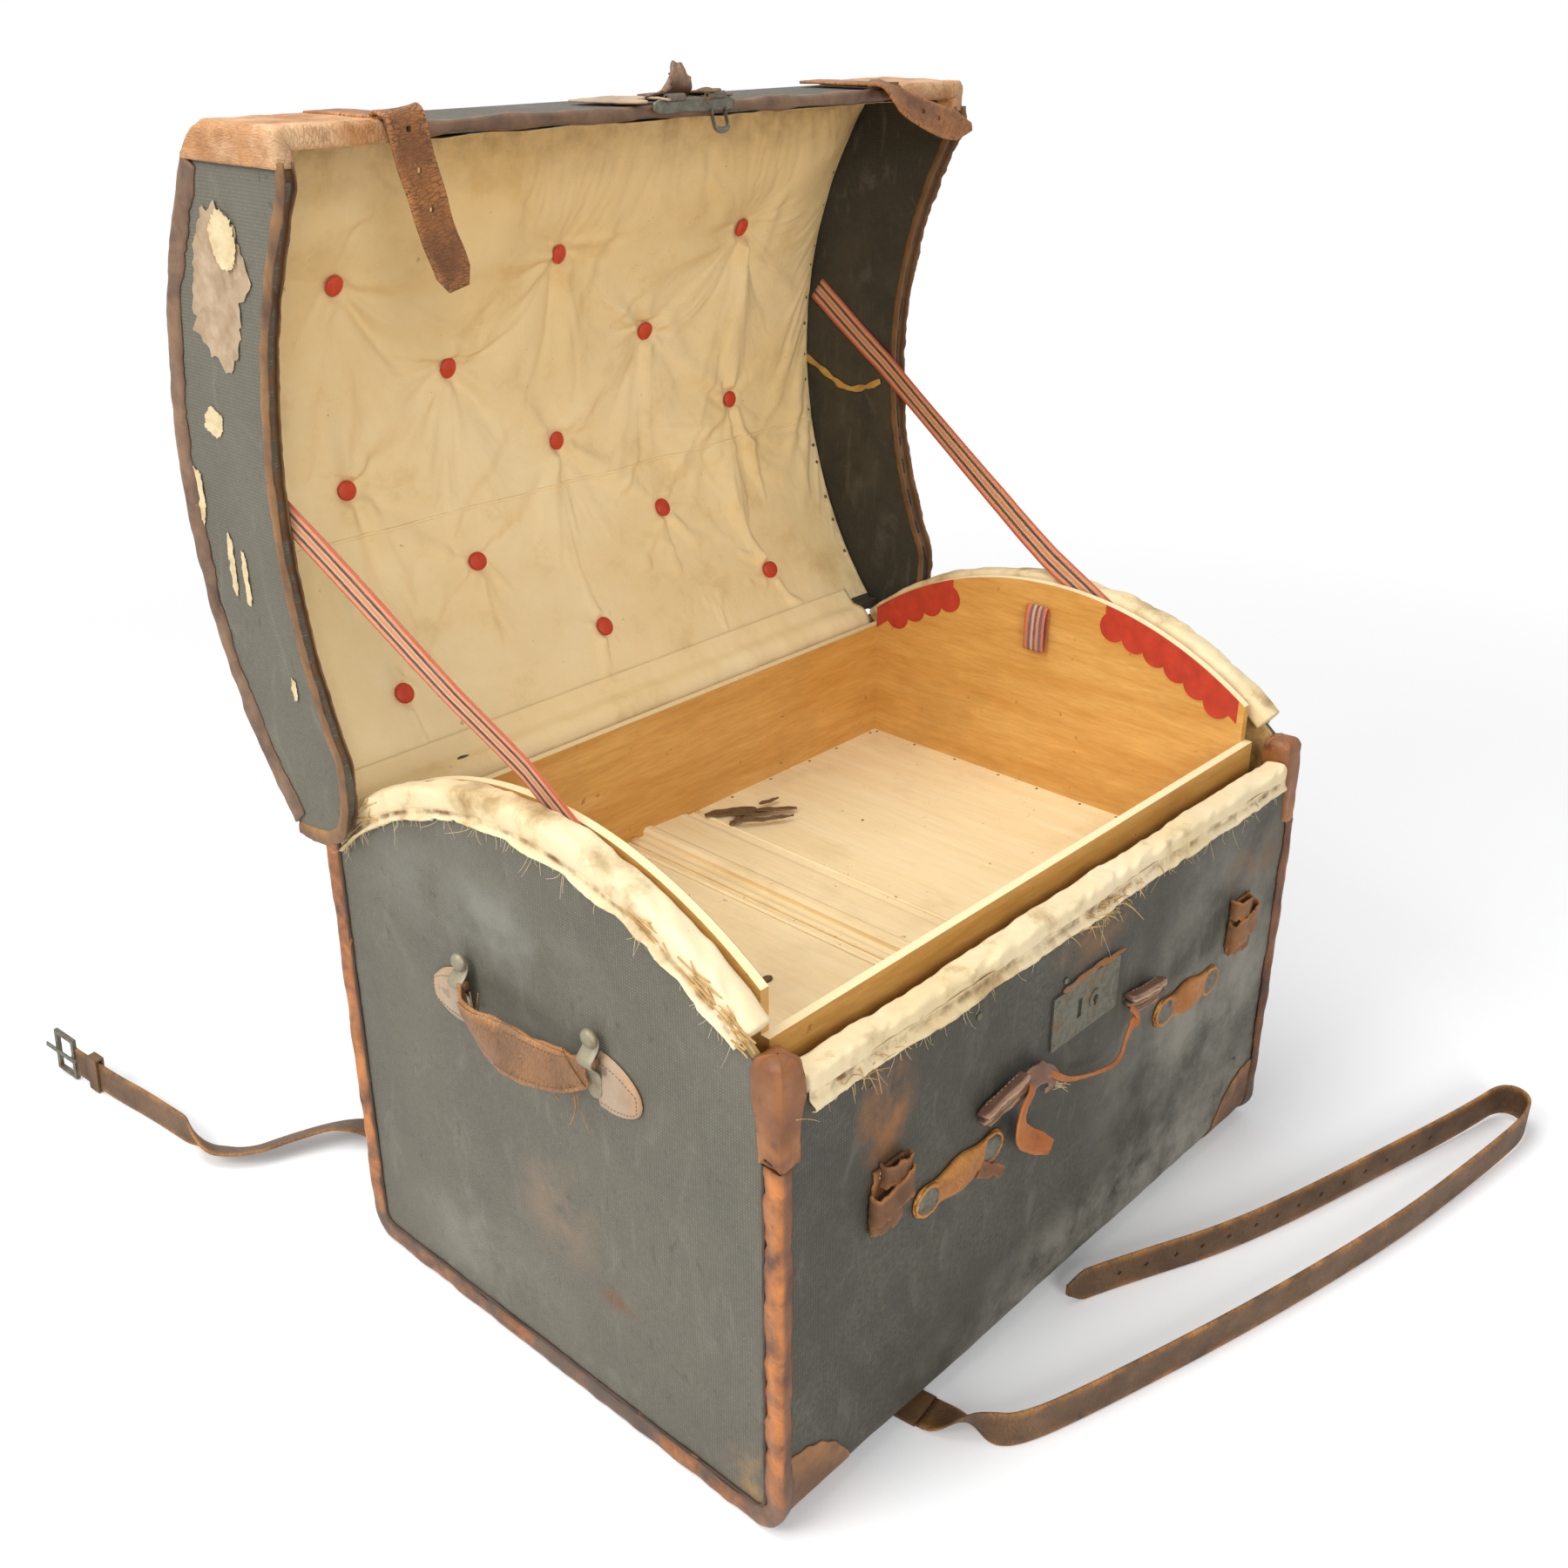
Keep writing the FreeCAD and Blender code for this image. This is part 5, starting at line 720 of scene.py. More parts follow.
# ---------------------------------------------------------------- long strap on the floor
def route_line(name, points):
    """Centre line of a strap: a NURBS spline on the route's points, read back as points in mm."""
    curve = bpy.data.curves.new(name, "CURVE")
    curve.dimensions, curve.resolution_u = "3D", 10
    spline = curve.splines.new("NURBS")
    spline.points.add(len(points) - 1)
    for point, place in zip(spline.points, points):
        point.co = (place[0] * MM, place[1] * MM, place[2] * MM, 1.0)
    spline.order_u, spline.use_endpoint_u = 3, True
    holder = bpy.data.objects.new(name, curve)
    bpy.context.scene.collection.objects.link(holder)
    mesh = bpy.data.meshes.new_from_object(holder)
    line = np.zeros(len(mesh.vertices) * 3)
    mesh.vertices.foreach_get("co", line)
    bpy.data.objects.remove(holder)
    bpy.data.meshes.remove(mesh)
    return line.reshape(-1, 3) / MM


def floor_strap(name, points, turns, nodes, tip=True, holes=0):
    """Strap on the floor: flat at its exit, then turned on edge. Each turn is (start, over, degrees): the
    section turns by degrees * (3 s^2 - 2 s^3), s the share of the way from start to start + over mm."""
    spine = route_line(name + "_route", points)
    forward = directions(spine)
    along = lengths(spine)
    angle = np.zeros(len(along))
    for start, over, degrees in turns:
        share = np.clip((along - start) / over, 0, 1)
        angle += math.radians(degrees) * share * share * (3 - 2 * share)
    level = unit(np.cross(forward, [0, 0, 1.0]))
    up = np.cross(level, forward)
    side = np.cos(angle)[:, None] * level + np.sin(angle)[:, None] * up
    out = np.cross(side, forward)
    # the width stands on the floor, so the centre line rises as the strap turns
    centre = spine + joined(0, 0, 2.0 + np.abs(np.sin(angle)) * 16.2)
    ring = strap_ring(STRAP_WIDE, STRAP_THICK)
    rings = np.repeat(ring[None], len(spine), 0)
    if tip:
        rings[..., 0] *= np.clip(0.30 + (along[-1] - along) / 24, 0, 1)[:, None]
    wear = np.abs(ring[:, 0]) / (STRAP_WIDE / 2)
    piece = swept_piece(name, centre, side, out, rings, STRAP, "trunk", wear=wear ** 3, replaces=nodes)
    if holes:
        rows = np.searchsorted(along, along[-1] - 58.0 - 31.0 * np.arange(holes))
        punched(piece, centre[rows], out[rows], 2.4)


FRONT_ROUTE = [
    (-187, -264, 0), (-181, -298, 0), (-176, -330, 0), (-150, -346, 0), (-104, -362, 0), (-30, -384, 0),
    (66, -411, 0), (176, -438, 0), (292, -463, 1), (398, -478, 2), (466, -487, 4), (506, -490, 5), (533, -483, 6),
    (541, -466, 6), (530, -451, 6), (500, -445, 5), (440, -430, 3), (344, -403, 1), (236, -374, 0),
    (150, -346, 0), (82, -315, 0), (28, -291, 0), (-4, -279, 0)]
BACK_ROUTE = [
    (-254, 264, 0), (-260, 312, 2), (-270, 360, 8), (-300, 402, 9), (-350, 426, 5), (-388, 440, 1),
    (-414, 472, 0), (-419, 526, 0), (-423, 576, 0), (-430, 626, 0), (-436, 664, 4), (-441, 698, 8)]

floor_strap("floor_strap_front", FRONT_ROUTE, [(6, 62, 90)], ["strap_front"],
            holes=14)
floor_strap("floor_strap_back", BACK_ROUTE, [(90, 80, -27), (272, 56, -63)], ["strap_back"],
            tip=False)

# ---------------------------------------------------------------- finishes of the carried-over nodes
NODE_FINISH = (
    (STRAW, "front_panel floor_panel back_panel end_panel_left end_panel_right"),
    (CANVAS, "canvas_wrap lid_dome"),
    (CANVAS_END_PAINTED_LIGHT, "canvas_end_left canvas_end_right lid_end_left"),
    (BODY_LINING, "body_lining"),
    (RIM, "rim_left rim_right rim_front"),
    (BINDING, "binding_left binding_right"),
    (CORNER, "front_caps lid_patches"),
    (PATCH, "corner_patches"),
    (RUNNER, "runners tray_cleats"),
    (CANVAS_IN, "lid_end_right"),
    (LINING, "lid_lining"),
    (RED_CLOTH, "lid_buttons"),
    (LID_BINDING, "lid_binding"),
    (IRON, "hinge_body_leaves hinge_lid_leaves hinge_pins handle_saddles hasp_plate hasp"),
    (TRAY_FLOOR, "tray_floor tray_batten"),
    (TRAY_WALL, "tray_front tray_back tray_end_left tray_end_right"),
    (RED_PAPER, "tray_trim"),
    (WEBBING, "tray_loops stay_left stay_right"),
    (LOCK, "lock"),
    (LOOP, "strap_loops front_chapes"),
    (CAP_METAL, "front_chape_caps buckle_frame buckle_prong"),
    (STUB, "front_handle_left front_handle_right"),
    (TAB, "handle_tabs"),
    (GRIP, "handle_grip_left handle_grip_right"),
    (LID_STRAP, "lid_strap_anchors lid_strap_left lid_strap_right"),
    (STRAP, "strap_under buckle_keeper"))
for finish, node_names in NODE_FINISH:
    for node_name in node_names.split():
        worn_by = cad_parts[node_name].data.materials
        worn_by.clear()
        worn_by.append(finish)

# ---------------------------------------------------------------- canvas of the body
def body_canvas():
    """The sheet round the body and the two end pieces, slightly uneven over the cane."""
    path, normal = tub_path(0.0, FRONT_TOP, BACK_TOP, 6.0)
    x = np.linspace(-HALF_LENGTH, HALF_LENGTH, 121)
    grid = joined(x, path[:, :1], path[:, 1:])
    bow = waves(grid, 240, 11) * 0.5 + waves(grid, 34, 12) * 0.22 - 0.4
    grid += at_x(0.0, normal)[:, None] * bow[..., None]
    uv = joined(np.arange(len(path))[:, None] * 6.0, x)
    sheet_piece("canvas_round_body", grid, uv, CANVAS, "trunk", 1.2, replaces=["canvas_wrap"])

    y = np.linspace(-258.5, 258.5, 117)
    share = np.linspace(0, 1, 86)
    over = np.clip(np.abs(y) - (HALF_DEPTH - BOTTOM_RADIUS), 0, 26.5)
    bottom = FLOOR_LINE + 1.5 + BOTTOM_RADIUS - np.sqrt(BOTTOM_RADIUS ** 2 - over ** 2)
    arch = RIM_CENTRE_Z + np.sqrt(np.maximum(RIM_INNER ** 2 - y ** 2, 0)) + 2.0
    top = np.where(y < -238.0, 424.0, np.where(y > 240.0, BACK_TOP, arch))
    z = bottom + share[:, None] * (top - bottom)
    for side, name in SIDES:
        grid = joined(side * HALF_LENGTH, y, z)
        bow = waves(grid, 190, 14 + side) * 0.45 + waves(grid, 30, 17 + side) * 0.2 - 0.35
        grid[..., 0] += side * bow
        sheet_piece("canvas_on_end_" + name, grid, grid[..., 1:], CANVAS_END_PAINTED_LIGHT, "trunk", 1.2, flip=side > 0,
                    replaces=["canvas_end_" + name])


def inner_walls():
    """Cane of the front wall up to its roll, and the cloth that covers the inside of the body."""
    path, normal = tub_path(-1.4, FRONT_TOP, 40.0, 6.0)
    path, normal = [a[path[:, 1] > 3.0] for a in (path, normal)]
    path, normal = [a[path[:, 0] < -HALF_DEPTH + BOTTOM_RADIUS] for a in (path, normal)]
    x = np.linspace(-HALF_LENGTH + WALL_CORE, HALF_LENGTH - WALL_CORE, 60)
    grid = joined(x, path[:, :1], path[:, 1:])
    uv = joined(np.arange(len(path))[:, None] * 6.0, x)
    sheet_piece("front_cane", grid, uv, STRAW, "trunk", 3.4, replaces=["front_panel"])
    path, normal = tub_path(-WALL_CORE - 0.5, FRONT_TOP, BACK_TOP - 4, 8.0)
    x = np.linspace(-HALF_LENGTH + WALL_CORE + 0.8, HALF_LENGTH - WALL_CORE - 0.8, 80)
    grid = joined(x, path[:, :1], path[:, 1:])
    grid -= at_x(0.0, normal)[:, None] * (0.5 + 0.5 * waves(grid, 70, 16))[..., None]
    uv = joined(np.arange(len(path))[:, None] * 8.0, x)
    sheet_piece("inner_cloth", grid, uv, BODY_LINING, "trunk", 0.6, flip=True, replaces=["body_lining"])
    y = np.linspace(-253.5, 253.5, 70)
    bottom = FLOOR_LINE + 7 + BOTTOM_RADIUS - np.sqrt(BOTTOM_RADIUS ** 2 - np.clip(np.abs(y) - 226, 0, 26) ** 2)
    arch = RIM_CENTRE_Z + np.sqrt(RIM_INNER ** 2 - y ** 2) + 2.0
    top = np.where(y < -238.0, FRONT_TOP, np.where(y > 240.0, BACK_TOP - 4, arch))
    z = bottom + np.linspace(0, 1, 50)[:, None] * (top - bottom)
    for side, name in SIDES:
        grid = joined(side * (HALF_LENGTH - WALL_CORE - 0.6), y, z)
        grid[..., 0] -= side * (0.5 + 0.5 * waves(grid, 70, 18 + side))
        sheet_piece("inner_cloth_" + name, grid, grid[..., 1:], BODY_LINING, "trunk", 0.6, flip=side < 0)


# leather bent over a corner: across the corner (along x) and through it (out of the outline)
CORNER_RING = np.array([
    (-11.4, 0.15), (-11.2, 1.3), (-8.6, 2.0), (-5.6, 2.5), (-3.2, 3.0), (-1.0, 3.3), (1.2, 2.9), (2.7, 1.4),
    (3.3, -0.8), (3.3, -3.6), (2.7, -7.0), (2.2, -10.6), (1.7, -14.0), (0.15, -14.6), (0.1, -8.0), (0.1, -0.1),
    (-6.0, 0.1)])
CORNER_WEAR = np.array([0.1, 0.2, 0.1, 0.1, 0.2, 0.45, 0.9, 1.0, 1.0, 1.0, 0.95, 0.7, 0.5, 0.4, 0.0, 0.0, 0.0])


def ragged(ring, spine, seed, amount=0.14, deep=9.0):
    """The same ring at each point of a spine, its far edges longer and shorter by a smooth random share."""
    rings = np.repeat(ring[None], len(spine), 0)
    share = 1 + amount * waves(spine, 46, seed)[:, None] + 0.4 * amount * waves(spine, 11, seed + 1)[:, None]
    for k in (0, 1):
        rings[..., k] = np.where(ring[:, k] < -deep, rings[..., k] * share, rings[..., k])
    return rings


def body_leather():
    """Binding round both ends, the caps on the top front corners and the patches on the bottom corners."""
    for side, name in SIDES:
        path, normal = tub_path(0.0, 350.0, 430.0, 5.0)
        spine, out = at_x(side * HALF_LENGTH, path), at_x(0.0, normal)
        rings = ragged(CORNER_RING, spine, 20 + side)
        swept_piece("leather_binding_" + name, spine, [side, 0.0, 0.0], out, rings, BINDING, "trunk",
                    lump=(0.75, 40, 22 + side), wear=CORNER_WEAR, replaces=["binding_" + name])
        spine, out = at_x(side * (HALF_LENGTH + 0.7), path - 15.4 * normal), at_x(0.0, normal)
        swept_piece("piping_" + name, spine, [side, 0.0, 0.0], out, oval(1.5, 1.7, 8), PIPING, "trunk",
                    lump=(0.35, 16, 26 + side))
        corner_cap(side, name)
        for way, end in ENDS:
            corner_patch(side, way, name + "_" + end)


def corner_cap(side, name):
    """Leather drawn over a top front corner: rings of a rounded square that narrow downwards to the binding and
    are pleated towards the crown. Ring point = centre + half size * blunt square."""
    turn = np.linspace(0, TAU, 96, endpoint=False)
    heights = np.array([351.5, 352, 356, 362, 370, 378, 386, 394, 402, 409, 415, 420, 425, 429, 432, 434, 435.2,
                        435.6])
    power = np.interp(heights, [350, 400, 435], [0.26, 0.32, 0.46])[:, None]
    square = blunt(turn, power)
    shares = np.interp(heights, [351, 352, 400, 420, 429, 432, 434, 435.2, 435.6],
                       [0.95, 1.0, 1.0, 1.01, 0.98, 0.89, 0.70, 0.4, 0.04])
    low = np.clip((404 - heights) / 48, 0, 1) ** 0.8
    half_x, half_y = 14.2 - 3.6 * low, 15.2 - 4.0 * low
    centre = joined(side * (362.6 - half_x), -262.2 + half_y)
    half = joined(half_x, half_y)
    flat = centre[:, None] + square * (half * shares[:, None])[:, None]
    grid = np.concatenate([flat, np.broadcast_to(heights[:, None, None], flat.shape[:2] + (1,))], -1)
    away = unit(joined(square[..., 0], square[..., 1], 0.0))
    pleats = np.abs(np.sin(turn * 3.5 + 0.6 + grid[..., 2] / 60)) * np.clip((grid[..., 2] - 405) / 30, 0, 1)
    folds = waves(grid, 40, 31 + side) * 0.9 + np.minimum(waves(grid * [1, 1, 0.3], 15, 33 + side), 0) * 0.8
    grid += away * (folds - 1.6 * pleats)[..., None]
    grid[..., 2] += 4.0 * waves(grid, 26, 35 + side) * (heights < 353)[:, None]
    uv = joined(turn * 15, grid[..., 2])
    worn = np.clip((398 - grid[..., 2]) / 40, 0, 1) * 0.8 + 0.5 * pleats
    outward(mesh_piece("corner_cap_" + name, grid.reshape(-1, 3), tube(len(heights), 96), CORNER, "trunk",
                       uv.reshape(-1, 2), worn.ravel(), replaces=["front_caps"] if side < 0 else ()))


def corner_patch(side, facing, name):
    """Leather patch at a bottom corner: it follows the outline, and its height falls off along x as a quarter
    of an oval, 82 * (1 - share^2.2)^0.6."""
    path, normal = tub_path(0.7, 150.0, 150.0, 3.0)
    path, normal = path[:len(path) // 2][::-1], normal[:len(normal) // 2][::-1]
    along = lengths(path)
    bend = along[np.argmax(path[:, 0] <= -HALF_DEPTH + BOTTOM_RADIUS - 0.5)]
    share = np.linspace(0, 1, 30)
    reach = 82.0 * (1 - share ** 2.2) ** 0.6 + 3 + 1.0 * np.sin(share * 31)
    v = np.linspace(0, 1, 34)
    want = bend - 2 + v[:, None] * reach
    flat, way = read_off(want, along, path), read_off(want, along, normal)
    x = side * (350.0 - 78 * share)
    grid = joined(x, flat[..., 0] * -facing, flat[..., 1])
    push = joined(0.0, way[..., 0] * -facing, way[..., 1])
    grid += push * (0.25 * waves(grid, 30, 41))[..., None]
    uv = joined(x, want)
    rub = np.clip(np.maximum(v[:, None] * 1.6 - 0.7, share * 1.5 - 0.6), 0, 1)
    sheet_piece("corner_patch_" + name, grid, uv, PATCH, "trunk", 1.0, flip=side * facing > 0, edge=rub,
                replaces=["corner_patches"] if (side, facing) == (-1, -1) else ())


# ---------------------------------------------------------------- stuffed cloth rolls
def roll_rings(width, height, count):
    """Section of a stuffed roll at each of a number of places: a blunt square, to be pushed in and out."""
    ring = blunt(np.linspace(0, TAU, 28, endpoint=False), 0.55) * [width / 2, height / 2]
    return np.repeat(ring[None], count, 0)


def stuffed_rims():
    """Rolls on the arched ends and on the front wall, with pulled cloth, torn hems, threads and cane."""
    for side, name in SIDES:
        turn = np.linspace(math.asin(-230 / RIM_MIDDLE), math.asin(247 / RIM_MIDDLE), 230)
        out = joined(0.0, np.sin(turn), np.cos(turn))
        spine = np.array([side * 350.0, 0, RIM_CENTRE_Z]) + RIM_MIDDLE * out
        rings = roll_rings(24.6, 21.6, len(spine))
        rings[..., 1] *= 1 + 0.05 * waves(spine, 90, 51 + side)[:, None]
        rings[..., 1] = np.maximum(rings[..., 1], -10.6)
        skew = pinches(spine[:, None] + rings[..., :1] * [1.0, 2.2, 0.5], 36, 53 + side)
        flat = waves(spine[:, None] + rings[..., :1] * [1.0, 0.6, 0.2], 75, 55 + side)
        rings[..., 1] += np.where(rings[..., 1] > 0, 1.6 * skew + 1.3 * flat - 0.8, 0.0)
        rings[..., 0] += np.sign(rings[..., 0]) * (0.8 * skew + 0.5 * flat)
        roll = swept_piece("stuffed_roll_" + name, spine, [side, 0.0, 0.0], out, rings, RIM, "trunk",
                           replaces=["rim_" + name])
        smooth_finish(roll)
        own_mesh(roll)
        hem("torn_hem_" + name, spine - 7.5 * out, np.array([side, 0.0, 0.0]), -out, 12.8, 9.5, 61 + side)
    x = np.linspace(-333, 333, 250)
    spine = joined(x, -250.2, FRONT_TOP + 8.0 + 0.8 * np.sin(x / 70))
    rings = roll_rings(23.6, 16.0, len(spine))
    fold = pinches(spine[:, None] + rings[..., :1] * [1.8, 0.4, 1.0], 40, 66)
    flat = waves(spine[:, None] + rings[..., :1] * [2.4, 0.4, 1.0], 85, 67)
    rings[..., 1] += np.where(rings[..., 1] > 0, 1.7 * fold + 1.6 * flat, 0.0)
    rings[..., 0] += np.where(rings[..., 0] > 0, 1.2 * fold + 1.2 * flat, 0.0)
    out = np.broadcast_to([0.0, 0.0, 1.0], spine.shape)
    smooth_finish(swept_piece("stuffed_roll_front", spine, FACE, out, rings, RIM, "trunk", replaces=["rim_front"]))
    hem("torn_hem_front", spine - [0, 0, 4.0], FACE, -out, 12.4, 14.0, 68)


def pressed(piece):
    """Give a piece of cloth or cane its own copy of its mesh."""
    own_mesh(piece)


def hem(name, line, face_way, down, proud, depth, seed):
    """Torn cloth edge that lies on the canvas: v runs down from the roll, its depth is random with deep tears, and it
    is flat under the roll, where a brown band is painted shadow of the roll, with a fold along its free edge."""
    count = len(line) * 3
    fine = smooth_line(line, count)
    fall = read_off(np.linspace(0, 1, count), np.linspace(0, 1, len(line)), down)
    ripple = waves(fine, 120, seed)
    torn = np.clip(waves(fine, 48, seed + 1, 2) - 0.7, 0, 1) ** 0.7
    deep = depth * (1.0 + 0.12 * ripple - 0.42 * torn + 0.03 * waves(fine, 9, seed + 3))
    v = np.linspace(0, 1, 15)[None, :]
    pleat = np.sin(v * math.pi) * 0.9 * waves(fine, 18, seed + 4)[:, None]
    loose = (1 + 0.5 * waves(fine, 60, seed + 2))[:, None]
    lift = proud - 1.6 + pleat * 0.4 + 4.4 * np.exp(-((v - 0.8) / 0.2) ** 2) * loose
    lift = np.maximum(lift, 0.9)
    grid = fine[:, None] + fall[:, None] * (v * deep[:, None])[..., None] + face_way * lift[..., None]
    uv = joined(np.arange(count)[:, None] * 1.0, v * deep[:, None])
    # edge peaks about a third of the way down: a brown band just under the roll, painted shadow
    piece = sheet_piece(name, grid, uv, RIM, "trunk", 0.8, edge=1.3 * np.exp(-((v - 0.3) / 0.22) ** 2))
    rng = np.random.default_rng(seed)
    picks = rng.integers(5, count - 5, 90)
    start = grid[picks, -1]
    reach = rng.uniform(2, 13, 90) * (1 + 1.5 * (rng.random(90) < 0.08))
    t = np.linspace(0, 1, 6)[None, :, None]
    drift = rng.normal(0, 0.35, (90, 1, 3)) + [0, 0, -0.85] + face_way * 0.12
    curl = rng.normal(0, 0.35, (90, 1, 3))
    lines = start[:, None] + reach[:, None, None] * (t * drift + t ** 2 * curl)
    clear = np.sum(lines * face_way, -1)
    wall = np.sum(start * face_way, -1)[:, None] - 1.2
    lines += face_way * np.clip(wall - clear, 0, 20)[..., None]
    pressed(piece)
    pressed(strands(name + "_threads", lines, 0.26, THREAD, "trunk"))


def loose_cane():
    """Split cane that shows where the cloth of the left end and of the front is torn."""
    rng = np.random.default_rng(71)
    turn = np.radians(rng.choice([-36.5, -31.0, -22.0, 33.0], 42, p=[0.3, 0.32, 0.23, 0.15])
                      + rng.normal(0, 1.7, 42))
    out = joined(0.0, np.sin(turn), np.cos(turn))
    ahead = joined(0.0, np.cos(turn), -np.sin(turn))
    reach = rng.uniform(5, 15, 42)[:, None]
    middle = np.array([-362.9, 0, RIM_CENTRE_Z]) + out * rng.uniform(363, 379, 42)[:, None]
    way = unit(ahead + out * rng.normal(0, 0.35, 42)[:, None] + [-0.12, 0, 0])
    t = np.linspace(-1, 1, 5)[None, :, None]
    lines = middle[:, None] + way[:, None] * reach[:, None] * t + rng.normal(0, 0.5, (42, 1, 3)) * t ** 2
    lines[..., 0] = np.minimum(lines[..., 0], -361.2)
    straws = strands("cane_left", lines, rng.uniform(0.5, 1.1, 42), STRAW, "trunk", thin_end=0.8)
    pressed(straws)
    x = np.concatenate([rng.normal(26, 20, 40), rng.normal(-285, 24, 18), rng.uniform(-300, 300, 12)])
    count = len(x)
    root = joined(x, -263.6, rng.uniform(FRONT_TOP - 14, FRONT_TOP + 2, count))
    way = unit(joined(rng.normal(0.5, 0.7, count), -0.25 * rng.random(count), rng.normal(-0.15, 0.35, count)))
    reach = rng.uniform(6, 24, count)[:, None, None]
    lines = root[:, None] + way[:, None] * reach * np.linspace(0, 1, 5)[None, :, None]
    lines[..., 2] -= 6 * np.linspace(0, 1, 5) ** 2
    straws = strands("cane_front", lines, rng.uniform(0.3, 0.7, count), STRAW, "trunk")
    pressed(straws)


body_canvas()
inner_walls()
body_leather()
stuffed_rims()
loose_cane()

# ---------------------------------------------------------------- lid
def lid_at(x, s, t):
    """Point of the open lid: s was forward of the hinge pins and t above them when it was shut."""
    return joined(x, HINGE_Y + t, HINGE_Z + s).astype(float)


def dome_t(s):
    """Height of the dome over the hinge pins: circle about (DOME_S, DOME_T)."""
    return DOME_T + np.sqrt(DOME_RADIUS ** 2 - (s - DOME_S) ** 2)


def free_edge():
    """Free edge of a lid end as (s, t): down the back, round the lobe, then the hollow arc to the front."""
    lobe = smooth_line([(0, 12), (0, -6), (1.5, -22), (6, -36), (18, -50.5), (40, -57.5), (75, -58.7)], 40)
    s = np.linspace(75, 527, 136)[1:]
    hollow = EDGE_PEAK - EDGE_RADIUS + np.sqrt(EDGE_RADIUS ** 2 - (s - EDGE_S) ** 2)
    arc = joined(s, np.maximum(hollow, -SKIRT_DROP))
    return smooth_line(np.vstack([lobe[::4], arc[::5], arc[-1:]]), 190)


# leather folded over an edge 9 mm thick: across it, and out past it
CHANNEL_RING = np.array([
    (-5.8, -6.0), (-6.0, -4.0), (-6.0, -1.4), (-5.0, 1.2), (-2.8, 2.9), (0.4, 3.3), (3.6, 2.9), (6.0, 1.2), (6.8, -1.6),
    (6.8, -5.0), (6.4, -8.6), (6.0, -9.8), (4.7, -9.4), (4.6, -5.0), (4.6, 0.0), (-4.6, 0.0), (-4.6, -4.0),
    (-4.7, -6.2)])
CHANNEL_WEAR = np.array([0.3, 0.3, 0.4, 0.7, 0.9, 1.0, 1.0, 0.9, 0.7, 0.5, 0.4, 0.4, 0.2, 0.0, 0.0, 0.0, 0.0, 0.2])


def lid_leather():
    """Leather along the dome's edges, folded over the free edges and over the skirt, and on the front corners."""
    for side, name in SIDES:
        s = np.linspace(0.5, 526, 116)
        spine = lid_at(side * LID_OUTER_HALF, s, dome_t(s))
        out = unit(lid_at(0.0, s - DOME_S, dome_t(s) - DOME_T) - lid_at(0.0, 0.0, 0.0))
        rings = ragged(CORNER_RING * [0.86, 1.15], spine, 80 + side, deep=7.0)
        swept_piece("dome_edge_" + name, spine, [side, 0.0, 0.0], out, rings, LID_BINDING, "lid",
                    lump=(0.75, 30, 82 + side), wear=CORNER_WEAR, replaces=["lid_binding"] if side < 0 else ())
        line = free_edge()
        spine = lid_at(side * 370.5, line[:, 0], line[:, 1])
        out = np.cross(directions(spine), [1.0, 0.0, 0.0])
        rings = ragged(CHANNEL_RING, spine, 85 + side, amount=0.12, deep=7.0)
        swept_piece("end_edge_" + name, spine, [side, 0.0, 0.0], out, rings, EDGE_LEATHER, "lid",
                    lump=(0.5, 26, 88 + side), wear=CHANNEL_WEAR)
        lid_corner(side, name)
    x = np.linspace(-331, 331, 170)
    spine = lid_at(x, 541.5 + 0.5 * np.sin(x / 37), -SKIRT_DROP)
    rings = ragged(CHANNEL_RING * [0.84, 0.85], spine, 92, amount=0.16, deep=7.0)
    swept_piece("skirt_edge", spine, [0.0, 0.0, 1.0], FACE, rings, LID_BINDING, "lid", lump=(1.1, 60, 93),
                wear=CHANNEL_WEAR * 0.7)


